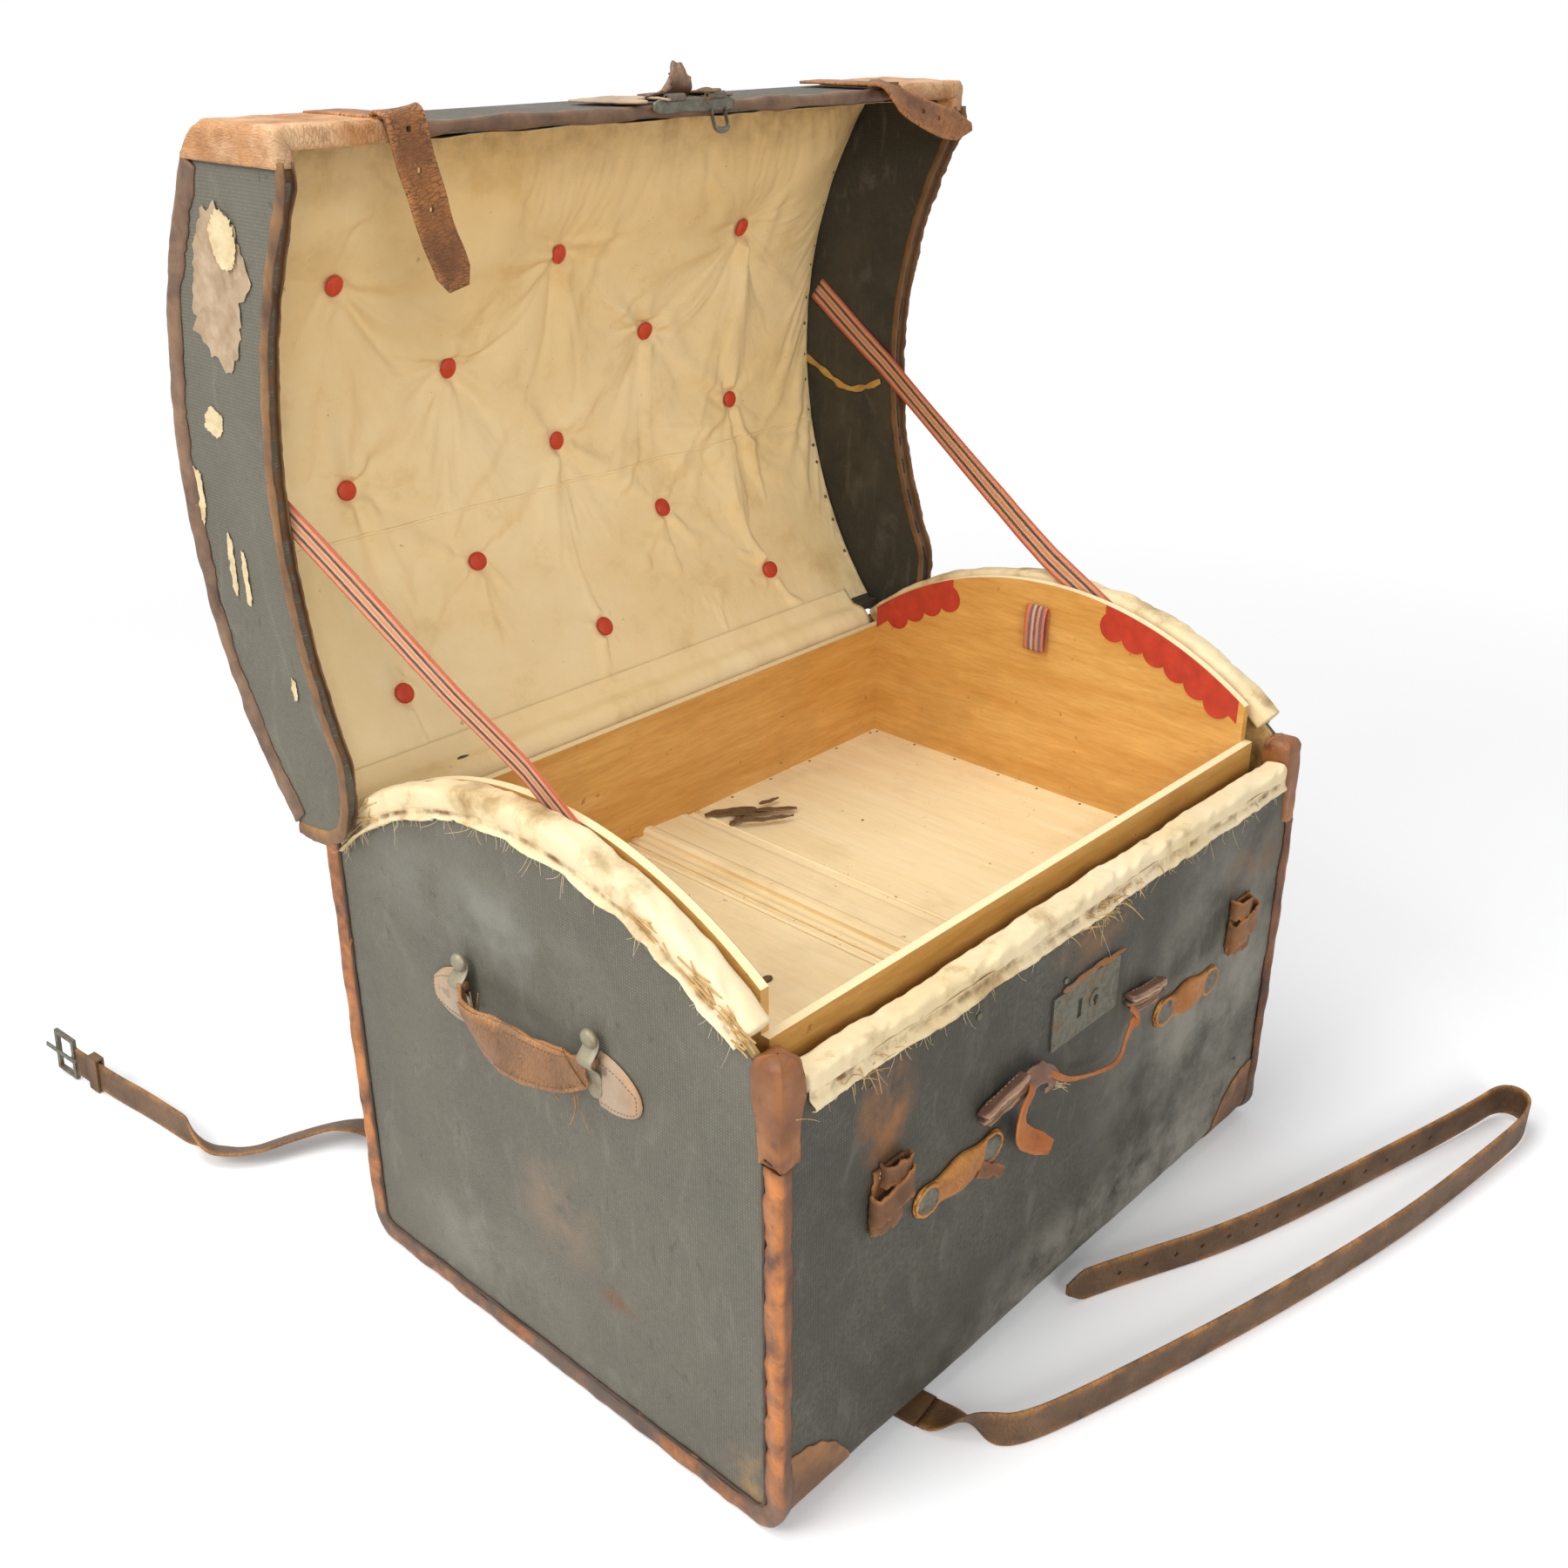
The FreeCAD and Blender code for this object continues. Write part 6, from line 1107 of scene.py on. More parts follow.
def lid_corner(side, name):
    """Leather drawn over a front corner of the lid: rays fan out over the dome from one point to a rounded
    corner line, run down the wall, turn under its edge and back up inside."""
    turn = np.linspace(0, math.pi / 2, 9)
    x = np.concatenate([np.linspace(284, 370, 28), 371.8 + 6 * np.sin(turn), np.full(14, 377.8)])
    s = np.concatenate([np.full(28, 548.8), 542.8 + 6 * np.cos(turn), np.linspace(541, 523, 14)])
    fan = np.array([0.03, 0.2, 0.4, 0.6, 0.78, 0.9, 0.97])[:, None]
    fan_x, fan_s = 300 + fan * (x - 300), 519 + fan * (s - 519)
    fall = np.clip(fan_s - 530, 0, 17)
    fan_t = dome_t(np.minimum(fan_s, 546)) + 2.8 - (17.5 - np.sqrt(17.5 ** 2 - fall ** 2)) * 0.9
    top = dome_t(np.minimum(s, 546)) - 1.5 - 11 * np.clip((s - 530) / 17, 0, 1) ** 2
    down = np.linspace(0, 1, 16)[:, None]
    wall_t = top + (-79.0 - top) * down
    wall_x, wall_s = [np.broadcast_to(a, wall_t.shape) for a in (x, s)]
    in_x, in_s = np.minimum(x, 364.3), np.minimum(s, 535.4)
    under = [(0.15, -80.9), (0.5, -81.2), (0.85, -80.9), (1.0, -79.0), (1.0, -70.0), (1.0, -62.0)]
    low_x = [x + (in_x - x) * k for k, _ in under]
    low_s = [s + (in_s - s) * k for k, _ in under]
    low_t = [np.full(len(x), t) for _, t in under]
    grid = lid_at(*[np.vstack(part) for part in ((fan_x, wall_x, *low_x), (fan_s, wall_s, *low_s),
                                                 (fan_t, wall_t, *low_t))])
    rub = waves(grid, 26, 95 + side)
    push = unit(grid - lid_at(345.0, 522.0, -20.0)) * 0.55
    grid += push * rub[..., None]
    grid[..., 0] *= side
    rows = grid.shape[0]
    uv = joined(np.arange(len(x)) * 3.0, np.arange(rows)[:, None] * 5.0)
    worn = np.where(np.arange(rows) > 18, 1.0, 0.35)[:, None] + 0.3 * rub
    sheet_piece("lid_corner_" + name, grid, uv, LID_CORNER, "lid", 1.4, flip=side > 0, edge=worn,
                replaces=["lid_patches"] if side < 0 else ())


# ---------------------------------------------------------------- quilted lining of the lid
LINING_RADIUS = DOME_RADIUS - 8.7
LINING_PUSH = 0.35
BUTTON_PLACES = [(238.0 * c, 62.0 + 88 * row) for row in range(5)
                 for c in ((-1.0, 0.0, 1.0) if row % 2 == 0 else (-0.5, 0.5))]


def on_dome(x, angle, radius):
    """Point inside the dome at an angle from its top, at a radius from its centre line."""
    return lid_at(x, DOME_S + radius * np.sin(angle), DOME_T + radius * np.cos(angle))


def creases(x, y):
    """Folds of the cloth round its buttons, as a depth. Each runs from a button towards another or to the side.
    Across it the depth is exp(-r^2) (0.45 + r), with r the distance over its width; the width grows along it."""
    rng = np.random.default_rng(107)
    total = np.zeros(x.shape)
    places = np.array([(bx, math.asin((bs - DOME_S) / LINING_RADIUS) * LINING_RADIUS) for bx, bs in BUTTON_PLACES])
    for i, (bx, by) in enumerate(places):
        others = np.delete(places, i, 0) - (bx, by)
        near = others[np.argsort(np.hypot(*others.T))][:4]
        folds = [(math.atan2(dy, dx), 0.80 * math.hypot(dx, dy), rng.uniform(0.7, 1.3)) for dx, dy in near]
        folds += [(rng.uniform(0, TAU), rng.uniform(40, 100), rng.uniform(0.3, 0.8)) for _ in range(5)]
        folds += [(-math.pi / 2 + rng.normal(0, 0.2), rng.uniform(80, 130), 1.2)]
        for turn, length, high in folds:
            turn += rng.normal(0, 0.08)
            along = (x - bx) * math.cos(turn) + (y - by) * math.sin(turn)
            bend = 3.0 * np.sin(along / 31 + 2 * i) * np.clip(along / 40, 0, 1)
            across = -(x - bx) * math.sin(turn) + (y - by) * math.cos(turn) + bend
            width = 4.4 + 0.15 * np.clip(along, 0, None)
            fade = np.clip(along / 9, 0, 1) * np.clip(1 - along / length, 0, 1) ** 0.7
            r = across / width * rng.choice([-1, 1])
            total += high * 6.4 * fade * (0.45 + r) * np.exp(-r * r)
    return total


def crumples(x, y, seed, count, spread):
    """Short folds left where the cloth is slack: bent ridges at random places, steeper on one side."""
    rng = np.random.default_rng(seed)
    total = np.zeros(x.shape)
    for _ in range(count):
        cx, cy = rng.uniform(spread[0], spread[1]), rng.uniform(spread[2], spread[3])
        turn, length, width = rng.uniform(0, math.pi), rng.uniform(26, 95), rng.uniform(4.5, 13)
        along = (x - cx) * math.cos(turn) + (y - cy) * math.sin(turn)
        across = -(x - cx) * math.sin(turn) + (y - cy) * math.cos(turn) + rng.uniform(-9, 9) * (along / length) ** 2
        r = across / width
        total += rng.uniform(0.8, 4.0) * np.exp(-(along / length * 1.6) ** 2) * (0.4 + r) * np.exp(-r * r)
    return total


def swell(piece, fixed):
    """Blow a stretched cloth gently out between the points where it is held: ten frames of a cloth simulation."""
    piece.vertex_groups.new(name="held").add(fixed.tolist(), 1.0, "REPLACE")
    cloth = piece.modifiers.new("cloth", "CLOTH")
    setting = cloth.settings
    setting.vertex_group_mass = "held"
    setting.quality = 5
    setting.mass = 0.25
    setting.tension_stiffness, setting.compression_stiffness = 18.0, 18.0
    setting.shear_stiffness, setting.bending_stiffness = 3.0, 0.12
    setting.tension_damping = setting.compression_damping = 8.0
    setting.air_damping = 2.0
    setting.shrink_min = -0.008
    setting.use_pressure, setting.uniform_pressure_force = True, LINING_PUSH
    setting.effector_weights.gravity = 0.10
    cloth.collision_settings.use_collision = False
    scene = bpy.context.scene
    cloth.point_cache.frame_start, cloth.point_cache.frame_end = 1, 10
    for frame_number in range(1, 11):
        scene.frame_set(frame_number)
    settle(piece)
    scene.frame_set(1)


def quilted_lining():
    """Cloth held at its border and at the buttons. It swells between them as a cloth simulation, then the folds
    are added, and what would go through the dome is laid against it."""
    x = np.linspace(-364.5, 364.5, 321)
    first, last = math.asin((12.5 - DOME_S) / LINING_RADIUS), math.asin((535.0 - DOME_S) / LINING_RADIUS)
    angle = np.linspace(first, last, 281)
    xs, angles = np.meshgrid(x, angle)
    s = DOME_S + LINING_RADIUS * np.sin(angles)
    near = np.min([np.hypot(xs - bx, (angles - math.asin((bs - DOME_S) / LINING_RADIUS)) * LINING_RADIUS)
                   for bx, bs in BUTTON_PLACES], axis=0)
    flat = joined(xs, angles * LINING_RADIUS, 0.0)
    depth = 7.0 * (1 - np.exp(-(near / 42) ** 1.4)) + 1.8 * waves(flat, 95, 101, 3) * np.clip(near / 50, 0, 1)
    end_gap, front_gap = np.minimum(xs + 364.5, 364.5 - xs), np.minimum(angles - first, last - angles) * LINING_RADIUS
    edge_gap = np.minimum(end_gap, front_gap)
    slack = np.clip(edge_gap / 34, 0, 1) ** 0.7
    folds = creases(xs, flat[..., 1]) + crumples(xs, flat[..., 1], 113, 46, (-340, 350, -250, 240))
    folds += crumples(xs, flat[..., 1], 115, 60, (60, 355, -270, -40)) + 0.3 * pinches(flat * [1.0, 1.6, 1.0], 44, 102)
    depth, folds = depth * slack, folds * np.clip(edge_gap / 20, 0, 1) * np.clip((near - 8.5) / 7, 0, 1)
    grid = on_dome(xs, angles, LINING_RADIUS - depth)
    uv = joined(xs, angles * LINING_RADIUS)
    # the wear value darkens the lining within about 50 mm of its front edge, which is the top of the open lid, and
    # within 16 mm of its border: soil, and at the top also painted shade
    stain = np.clip(1.2 - (535 - s) / 42, 0, 1) * 0.38 + 0.35 * np.clip(1 - edge_gap / 16, 0, 1)
    piece = sheet_piece("quilted_lining", grid, uv, LINING, "lid", edge=stain, replaces=["lid_lining"])
    swell(piece, np.where(((near < 7.0) | (edge_gap < 2.5)).ravel())[0])
    placed = np.zeros(len(piece.data.vertices) * 3)
    piece.data.vertices.foreach_get("co", placed)
    placed = placed.reshape(-1, 3) / MM
    s, t = placed[:, 2] - HINGE_Z - DOME_S, placed[:, 1] - HINGE_Y - DOME_T
    radius = np.hypot(s, t)
    rest = grid.reshape(-1, 3)
    limit = LINING_RADIUS - 0.2 + 0.35 * waves(rest, 60, 103)
    radius = radius - folds.ravel()
    wanted = np.clip(radius, LINING_RADIUS - 34, limit)
    placed[:, 2] = HINGE_Z + DOME_S + s * wanted / np.hypot(s, t)
    placed[:, 1] = HINGE_Y + DOME_T + t * wanted / np.hypot(s, t)
    placed[:, 0] = np.clip(placed[:, 0], -364.8, 364.8)
    piece.data.vertices.foreach_set("co", (placed * MM).ravel())
    piece.data.update()
    return placed.reshape(grid.shape)


def lid_buttons():
    """Covered buttons: domed discs with a pulled rim, each sunk in the cloth."""
    points, faces = bead(18, 9)
    points[:, 2] = np.sign(points[:, 2]) * np.abs(points[:, 2]) ** 0.8
    rng = np.random.default_rng(111)
    places, axes = [], []
    for bx, bs in BUTTON_PLACES:
        angle = math.asin((bs - DOME_S) / LINING_RADIUS)
        inward = -np.array([0.0, math.cos(angle), math.sin(angle)])
        tilt = unit(inward + rng.normal(0, 0.10, 3))
        side = unit(np.cross(tilt, [0, 0, 1.0]))
        places.append(on_dome(bx, angle, LINING_RADIUS - 3.9) + rng.normal(0, 0.8, 3) * [1, 0, 1])
        axes.append([side * rng.uniform(8.6, 9.6), np.cross(tilt, side) * rng.uniform(8.6, 9.6), tilt * 2.9])
    scattered("covered_buttons", (points, faces), places, axes, RED_CLOTH, "lid", replaces=["lid_buttons"])


def lining_edges():
    """Cloth inside the skirt, and the cloth that runs over the hinges."""
    x = np.linspace(-363.5, 363.5, 120)
    t = np.linspace(44, -68, 20)[:, None]
    hang = 1.6 + 1.1 * waves(joined(x, t, 0.0), 60, 121)
    grid = lid_at(x, 536.4 - np.maximum(hang, 0.3), t)
    uv = joined(x, t)
    skirt = sheet_piece("skirt_lining", grid, uv, LINING, "lid", 0.6, edge=0.3)

    route = smooth_line([(24, 19.5), (16.5, 13.0), (10.5, 7.5), (8.8, 2), (7.8, -5), (3.5, -11.5), (-4, -15.5),
                         (-14, -17.2), (-26, -17.6), (-38, -17.8)], 34)
    x = np.linspace(-333, 333, 150)
    grid = lid_at(x[None, :], route[:, :1], route[:, 1:])
    wrinkle = 0.9 * waves(grid * [1.0, 0.3, 0.3], 46, 123) + 0.6 * pinches(grid * [1.0, 0.2, 0.2], 24, 125)
    middle = np.sin(np.linspace(0, math.pi, len(route)))[:, None]
    way = directions(np.concatenate([0 * route[:, :1], route[:, ::-1]], 1))
    out = np.cross(way, [1.0, 0, 0])
    grid += out[:, None] * (wrinkle * (0.35 + middle))[..., None]
    uv = joined(x[None, :], np.arange(len(route))[:, None] * 2.2)
    cloth = sheet_piece("hinge_cloth", grid, uv, LINING, None, 0.6, flip=True)
    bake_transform(cloth)


def lining_seam(cloth):
    """Lapped seam of two widths of cloth, a low roll that follows the lining between two rows of buttons."""
    angle = np.arctan2(cloth[:, 160, 2] - HINGE_Z - DOME_S, cloth[:, 140, 1] - HINGE_Y - DOME_T)
    row = int(np.argmin(np.abs(angle - math.asin((196 - DOME_S) / LINING_RADIUS))))
    spine = smooth_line(cloth[row, 1:-1:3], 260)
    inward = -unit(joined(0.0, spine[:, 1] - HINGE_Y - DOME_T, spine[:, 2] - HINGE_Z - DOME_S))
    side = np.cross(directions(spine), inward)
    ring = np.array([(-1.6, -0.3), (-1.2, 0.5), (0.0, 0.75), (1.2, 0.5), (1.6, -0.3)])
    swept_piece("lining_seam", spine + inward * 0.2, side, inward, ring, LINING, "lid", lump=(0.15, 20, 131))


def tacks():
    """Small round tacks that hold the lining along its front and its ends."""
    x = np.concatenate([np.arange(-330, 340, 33.0), np.arange(-318, -150, 24.0)])
    rng = np.random.default_rng(141)
    x = x + rng.uniform(-5, 5, len(x))
    angle = np.full(len(x), math.asin((529.0 - DOME_S) / LINING_RADIUS)) + rng.normal(0, 0.003, len(x))
    places = [on_dome(x, angle, LINING_RADIUS - 1.3)]
    ups = [joined(0.0, -np.cos(angle), -np.sin(angle))]
    angle = np.linspace(-0.55, 0.5, 15) + rng.normal(0, 0.01, 15)
    for side, _ in SIDES:
        places.append(on_dome(side * 358.5, angle, LINING_RADIUS - 1.6))
        ups.append(joined(0.0, -np.cos(angle), -np.sin(angle)))
    places, up = np.concatenate(places), np.concatenate(ups)
    side = unit(np.cross(up, [1.0, 0.2, 0.1]))
    axes = np.stack([side * 2.1, np.cross(up, side) * 2.1, up * 1.0], 1)
    scattered("lining_tacks", bead(8, 4), places, axes, IRON, "lid")


lid_leather()
lining_cloth = quilted_lining()
lid_buttons()
lining_edges()
lining_seam(lining_cloth)
tacks()

# ---------------------------------------------------------------- leather and metal on the front wall
def front(points):
    """Points (x, z, height off the front wall) as points of the frame."""
    p = np.asarray(points, float)
    return joined(p[..., 0], -HALF_DEPTH - p[..., 2], p[..., 1])


def strap_loops():
    """Remains of the loop for each lid strap: a backing strip and three folded, torn tiers over it."""
    for i, (x, up) in enumerate([(LOOP_X[0] - 3.5, 0.0), (LOOP_X[1], 5.0)]):
        z = np.linspace(294, 238, 22) + up
        line = front(joined(x, z, 1.5 + 0.35 * np.sin(z / 9 + i)))
        edge = 1 + 0.06 * np.sin(z / 3.1 + 2 * i) + 0.04 * np.sin(z / 1.3)
        strap_piece("loop_backing_%d" % i, line, FACE, 35, 2.6, LOOP, "trunk", taper=edge, lump=(0.8, 16, 201 + i),
                    replaces=["strap_loops"] if i == 0 else ())
        tiers = [(277, 297, 9.0, 27, -3.0, 5.0), (255, 280, 11.5, 41, 5.0, 0.0), (236, 258, 6.0, 33, -2.0, -3.0)]
        for k, (low, high, proud, wide, turn, aside) in enumerate(tiers):
            across = np.array([-1, -1.02, -0.99, -0.9, -0.7, -0.35, 0, 0.35, 0.7, 0.9, 0.99, 1.02, 1]) * wide / 2
            off = np.array([2.2, 0.45 * proud, 0.75 * proud, 0.93 * proud, proud, proud + 0.9, proud + 0.5,
                            proud + 1.0, proud, 0.93 * proud, 0.75 * proud, 0.45 * proud, 2.2])
            height = up + (low + high) / 2 + across * turn / 20
            line = smooth_line(front(joined(x + aside * (1 - 2 * i) + across, height, off)), 50)
            outward_way = np.cross(directions(line), [0, 0, 1.0])
            turn_by = np.linspace(0, 1, 50)
            edge = 1 + 0.09 * np.sin(turn_by * (17 + 3 * i) + k) + 0.05 * np.sin(turn_by * 51)
            strap_piece("loop_band_%d_%d" % (i, k), line, outward_way, high - low, 2.4, LOOP, "trunk", taper=edge,
                        lump=(1.0, 13, 205 + 3 * i + k), cup=1.6 - 1.2 * k)
        for side in (-1, 1):
            line = front([(x + side * 11, 293 + up, 3.2), (x + side * 11.5, 287 + up, 3.2)])
            seam("loop_stitch_%d_%s" % (i, "ab"[side > 0]), line, FACE, 4.0, 3.0, 0.9, STITCH, "trunk")


def front_chapes():
    """Chapes of the front handle: shaped leather, raised along its middle, with an oval cup at each end.
    Half height at u is 16.5 (0.84 + 0.16 cos(2 pi u)), closed by a half round at both tips."""
    caps, cap_axes = [], []
    for i, x in enumerate(CHAPE_X):
        u = np.sin(np.linspace(-math.pi / 2, math.pi / 2, 61))
        v = np.linspace(-1, 1, 23)
        half = 16.5 * (0.84 + 0.16 * np.cos(2 * math.pi * u)) * np.sqrt(np.clip(1 - np.abs(u) ** 7, 0, 1)) + 0.05
        uu, vv = np.meshgrid(u, v, indexing="ij")
        raise_mid = 7.0 * np.exp(-(uu / 0.40) ** 2) * (1 - vv ** 2)
        edge = np.clip(1 - np.maximum(np.abs(vv), np.abs(uu)) ** 10, 0, 1)
        height = 0.3 + (2.6 + raise_mid) * edge ** 0.4
        points = front(joined(x + uu * 55, CHAPE_Z + vv * half[:, None] + 2.5 * uu * (1 - 2 * i), height))
        points[..., 1] -= 0.35 * waves(points, 15, 221 + i) * edge
        rim = np.clip(np.abs(vv) * 1.6 - 0.5, 0, 1)
        uv = joined(uu * 55, vv * half[:, None])
        sheet_piece("chape_%d" % i, points, uv, CHAPE, "trunk", 1.2, edge=rim, flip=True,
                    replaces=["front_chapes"] if i == 0 else ())
        for side in (-1, 1):
            caps.append(front((x + side * 39.5, CHAPE_Z + 2.2 * side * (1 - 2 * i), 2.8)))
            cap_axes.append([[14.5, 0, 1.2 * side], [0, -3.6, 0], [-0.8 * side, 0, 12.0]])
    scattered("chape_cups", bead(26, 10), caps, cap_axes, CAP_METAL, "trunk", replaces=["front_chape_caps"])
    turn = np.linspace(0, TAU, 30, endpoint=False)
    out = joined(np.cos(turn), 0.0, np.sin(turn))
    ring = oval(1.6, 1.5, 8)
    for k, place in enumerate(caps):
        spine = place + out * [15.2, 0, 12.8] + [0, -0.2, 0]
        swept_piece("cup_rim_%d" % k, spine, FACE, out, ring, CHAPE, "trunk", closed=True, lump=(0.35, 9, 231 + k),
                    wear=np.clip(ring[:, 0], 0, 1))
    tail = smooth_line(front([(-132, 222, 4.4), (-124, 217, 6.5), (-112, 211, 6.0), (-106, 206, 8.5)]), 24)
    strap_piece("chape_tail", tail, FACE, 15, 2.2, LOOP, "trunk", taper=np.linspace(1, 0.7, 24), lump=(0.6, 12, 236))


def broken_handle():
    """Remains of the front handle: two stubs torn off in layers, a curled tongue and the thin strand between them."""
    stubs = [("left", [(-139, 271, 8.4), (-118, 277, 9.5), (-98, 283, 11.5), (-84, 287, 12.5)], 0),
             ("right", [(69, 281, 9.0), (88, 279, 11.0), (108, 277, 11.0), (129, 273, 8.6)], 1)]
    for name, points, i in stubs:
        line = smooth_line(front(points), 40)
        for k, (start, end) in enumerate([(0, 37), (3, 40), (1, 35), (4, 39), (7, 33)]):
            part = line[start:end] + [0, 0.5 * k, 8.6 - 4.3 * k]
            share = np.linspace(0, 1, len(part))
            edge = 1 + 0.10 * np.sin(share * 9 + 2 * k) - 0.25 * np.exp(-share * 14) - 0.2 * np.exp(-(1 - share) * 14)
            strap_piece("handle_%s_layer_%d" % (name, k), part, [0, 0.15, 1.0], 11 - 0.6 * k, 3.4,
                        (STUB, TAB, STUB, SCRAP, STUB)[k], "trunk", taper=edge, lump=(0.55, 13, 241 + 5 * i + k),
                        replaces=["front_handle_" + name] if k == 0 else ())
        side = unit(np.cross([0, 0, 1.0], directions(line)))
        for k in (0, 2):
            row = line[5:34] + [0, 0.5 * k, 10.6 - 4.3 * k] + side[5:34] * 3.2
            seam("handle_%s_stitch_%d" % (name, k), row, [0, -0.5, 1.0], 4.6, 3.0, 0.8, STITCH, "trunk")
    wrap = smooth_line(front([(-98, 268, 9.0), (-86, 282, 14.0), (-72, 288, 16.0), (-55, 278, 14.0), (-44, 266, 11.0),
                              (-41, 254, 8.0)]), 44)
    share = np.linspace(0, 1, 44)
    strap_piece("handle_wrap", wrap, unit(FACE + np.array([0, 0, 0.5]) * np.sin(share * 3)[:, None]), 20, 2.4, STUB,
                "trunk", taper=np.interp(share, [0, 0.3, 0.7, 1], [0.5, 0.9, 0.8, 0.95]), lump=(0.8, 13, 247), cup=-1.5)
    line = smooth_line(front([(-78, 284, 13.5), (-84, 276, 17.0), (-93, 266, 17.5), (-92, 248, 15.5), (-84, 232, 13.0),
                              (-72, 220, 13.0), (-60, 211, 17.0), (-55, 208, 21.0)]), 52)
    share = np.linspace(0, 1, 52)
    edge = np.interp(share, [0, 0.2, 0.45, 0.65, 0.88, 1.0], [0.5, 0.55, 0.9, 1.05, 1.0, 0.62])
    way = unit(FACE + np.array([0.25, 0, 0]) * np.sin(share * 3)[:, None])
    strap_piece("handle_tongue", line, way, 21, 2.3, TONGUE, "trunk", taper=edge, lump=(0.4, 20, 251), cup=-1.6)
    strand = smooth_line(front([(-76, 288, 14.0), (-56, 279, 14.5), (-26, 257, 13.0), (2, 244, 12.0), (26, 236, 11.5),
                                (46, 232, 12.0), (59, 236, 12.5), (64, 250, 13.0), (72, 262, 13.5), (80, 266, 13.5),
                                (76, 274, 12.5), (70, 279, 11.0)]), 110)
    share = np.linspace(0, 1, 110)
    way = unit(FACE + joined(0.5 * np.sin(share * 9), 0.0, 0.6 * np.cos(share * 7)))
    strap_piece("handle_strand", strand, way, 6.5, 2.2, TONGUE, "trunk", lump=(0.25, 14, 253),
                taper=np.interp(share, [0, 0.1, 0.3, 0.5, 0.78, 0.86, 0.93, 1],
                                [1.5, 1.1, 0.75, 0.9, 0.8, 1.6, 1.7, 0.7]))
    rng = np.random.default_rng(255)
    root = front(joined(rng.uniform(-44, -38, 12), rng.uniform(252, 268, 12), 11.0))
    t = np.linspace(0, 1, 5)[None, :, None]
    lines = root[:, None] + t * (rng.normal(0, 2.5, (12, 1, 3)) + [6, -3, -2]) + t ** 2 * rng.normal(0, 2, (12, 1, 3))
    strands("handle_torn_threads", lines, 0.4, PALE_PAPER, "trunk")


def lock_details():
    """Rivets of the lock plate, the strip of rusty iron above it, and bare nail heads on the canvas."""
    rivets = front([(-31, 289, 1.9), (-31, 327, 1.9), (55, 289, 1.9), (55, 327, 1.9)])
    places = np.concatenate([rivets, front([(-139, 368, 0.5), (-266, 371, 0.4), (312, 96, 0.4), (-20, 344, 0.8)])])
    size = np.array([2.6, 2.6, 2.6, 2.6, 3.4, 1.6, 2.0, 3.2])[:, None, None]
    axes = np.array([[1.0, 0, 0], [0, 0, 1.0], [0, -0.45, 0]]) * size
    scattered("lock_rivets", bead(10, 5), places, axes, LOCK, "trunk")
    x = np.linspace(-26, 66, 40)
    line = front(joined(x, 338 + 1.0 * np.sin(x / 13), 2.2 + 1.2 * np.sin(x / 9) ** 2))
    strap_piece("rusty_strip", line, [0, -1.0, 0.3], 5.5, 0.9, RUST, "trunk", lump=(0.4, 9, 261),
                taper=np.interp(x, [-26, -20, 50, 66], [0.4, 1, 0.9, 0.3]))


# ---------------------------------------------------------------- carrying handles on the ends
def end_handles():
    """Leather tabs shaped like half petals, iron saddles with a round head, and the bent leather grips."""
    for side, name in SIDES:
        out = np.array([side, 0.0, 0.0])
        for way, end in ENDS:
            u = np.linspace(0, 1, 40)
            v = np.linspace(-1, 1, 21)
            half = 25.5 * np.sqrt(np.clip(1 - (np.clip(u - 0.06, 0, 1) / 0.94) ** 1.9, 0.0004, 1))
            uu, vv = np.meshgrid(u, v, indexing="ij")
            edge = np.clip(1 - np.maximum(np.abs(vv), uu) ** 9, 0, 1) ** 0.45
            height = 0.4 + 3.2 * edge + 1.6 * (1 - vv ** 2) * edge
            y = way * (80 + 44 * uu)
            z = 340 - 4 * uu + vv * half[:, None]
            grid = joined(side * (HALF_LENGTH + height), y, z)
            grid[..., 0] += side * 0.3 * waves(grid, 17, 301 + way) * edge
            rim = np.clip(np.maximum(np.abs(vv), uu) * 1.7 - 0.75, 0, 1)
            label = name + "_" + end
            sheet_piece("tab_" + label, grid, joined(y, z), TAB, "trunk", edge=rim, flip=side * way < 0,
                        replaces=["handle_tabs"] if (side, way) == (-1, -1) else ())
            loop = np.vstack([grid[1:37, 3], grid[36, 4:-4], grid[1:37, -4][::-1]])
            seam("tab_stitch_" + label, smooth_line(loop[::2], 90), out, 3.6, 2.6, 0.8, DARK_STITCH, "trunk")
        saddles(side, name)
        grip(side, name)


def saddles(side, name):
    """Iron saddle over each eye: a smooth plate whose height off the wall is 6.8 + 9.3 exp(-((z - 360) / 8.5)^2),
    with a round stud at its top."""
    studs, stud_axes = [], []
    for way, end in ENDS:
        z = np.linspace(325, 383, 48)
        v = np.linspace(-1, 1, 13)
        height = 6.8 + 9.3 * np.exp(-((z - 360) / 8.5) ** 2)
        wide = 8.6 * np.clip(1 - ((z - 354) / 29.2) ** 8, 0.03, 1) ** 0.4
        off = height[:, None] - 1.3 * np.abs(v) ** 4
        y = way * EYE_Y + v * wide[:, None]
        grid = joined(side * (HALF_LENGTH + off), y, z[:, None])
        label = name + "_" + end
        smooth_finish(sheet_piece("saddle_" + label, grid, grid[..., 1:], SADDLE, "trunk", 1.3, flip=side > 0,
                                  replaces=["handle_saddles"] if (side, way) == (-1, -1) else ()))
        studs.append((side * (HALF_LENGTH + 8.0), way * EYE_Y, 378.5))
        stud_axes.append([[0, 8.2, 0], [0, 0, 8.2], [side * 5.0, 0, 0.6]])
    scattered("saddle_studs_" + name, bead(20, 12), studs, stud_axes, SADDLE, "trunk")


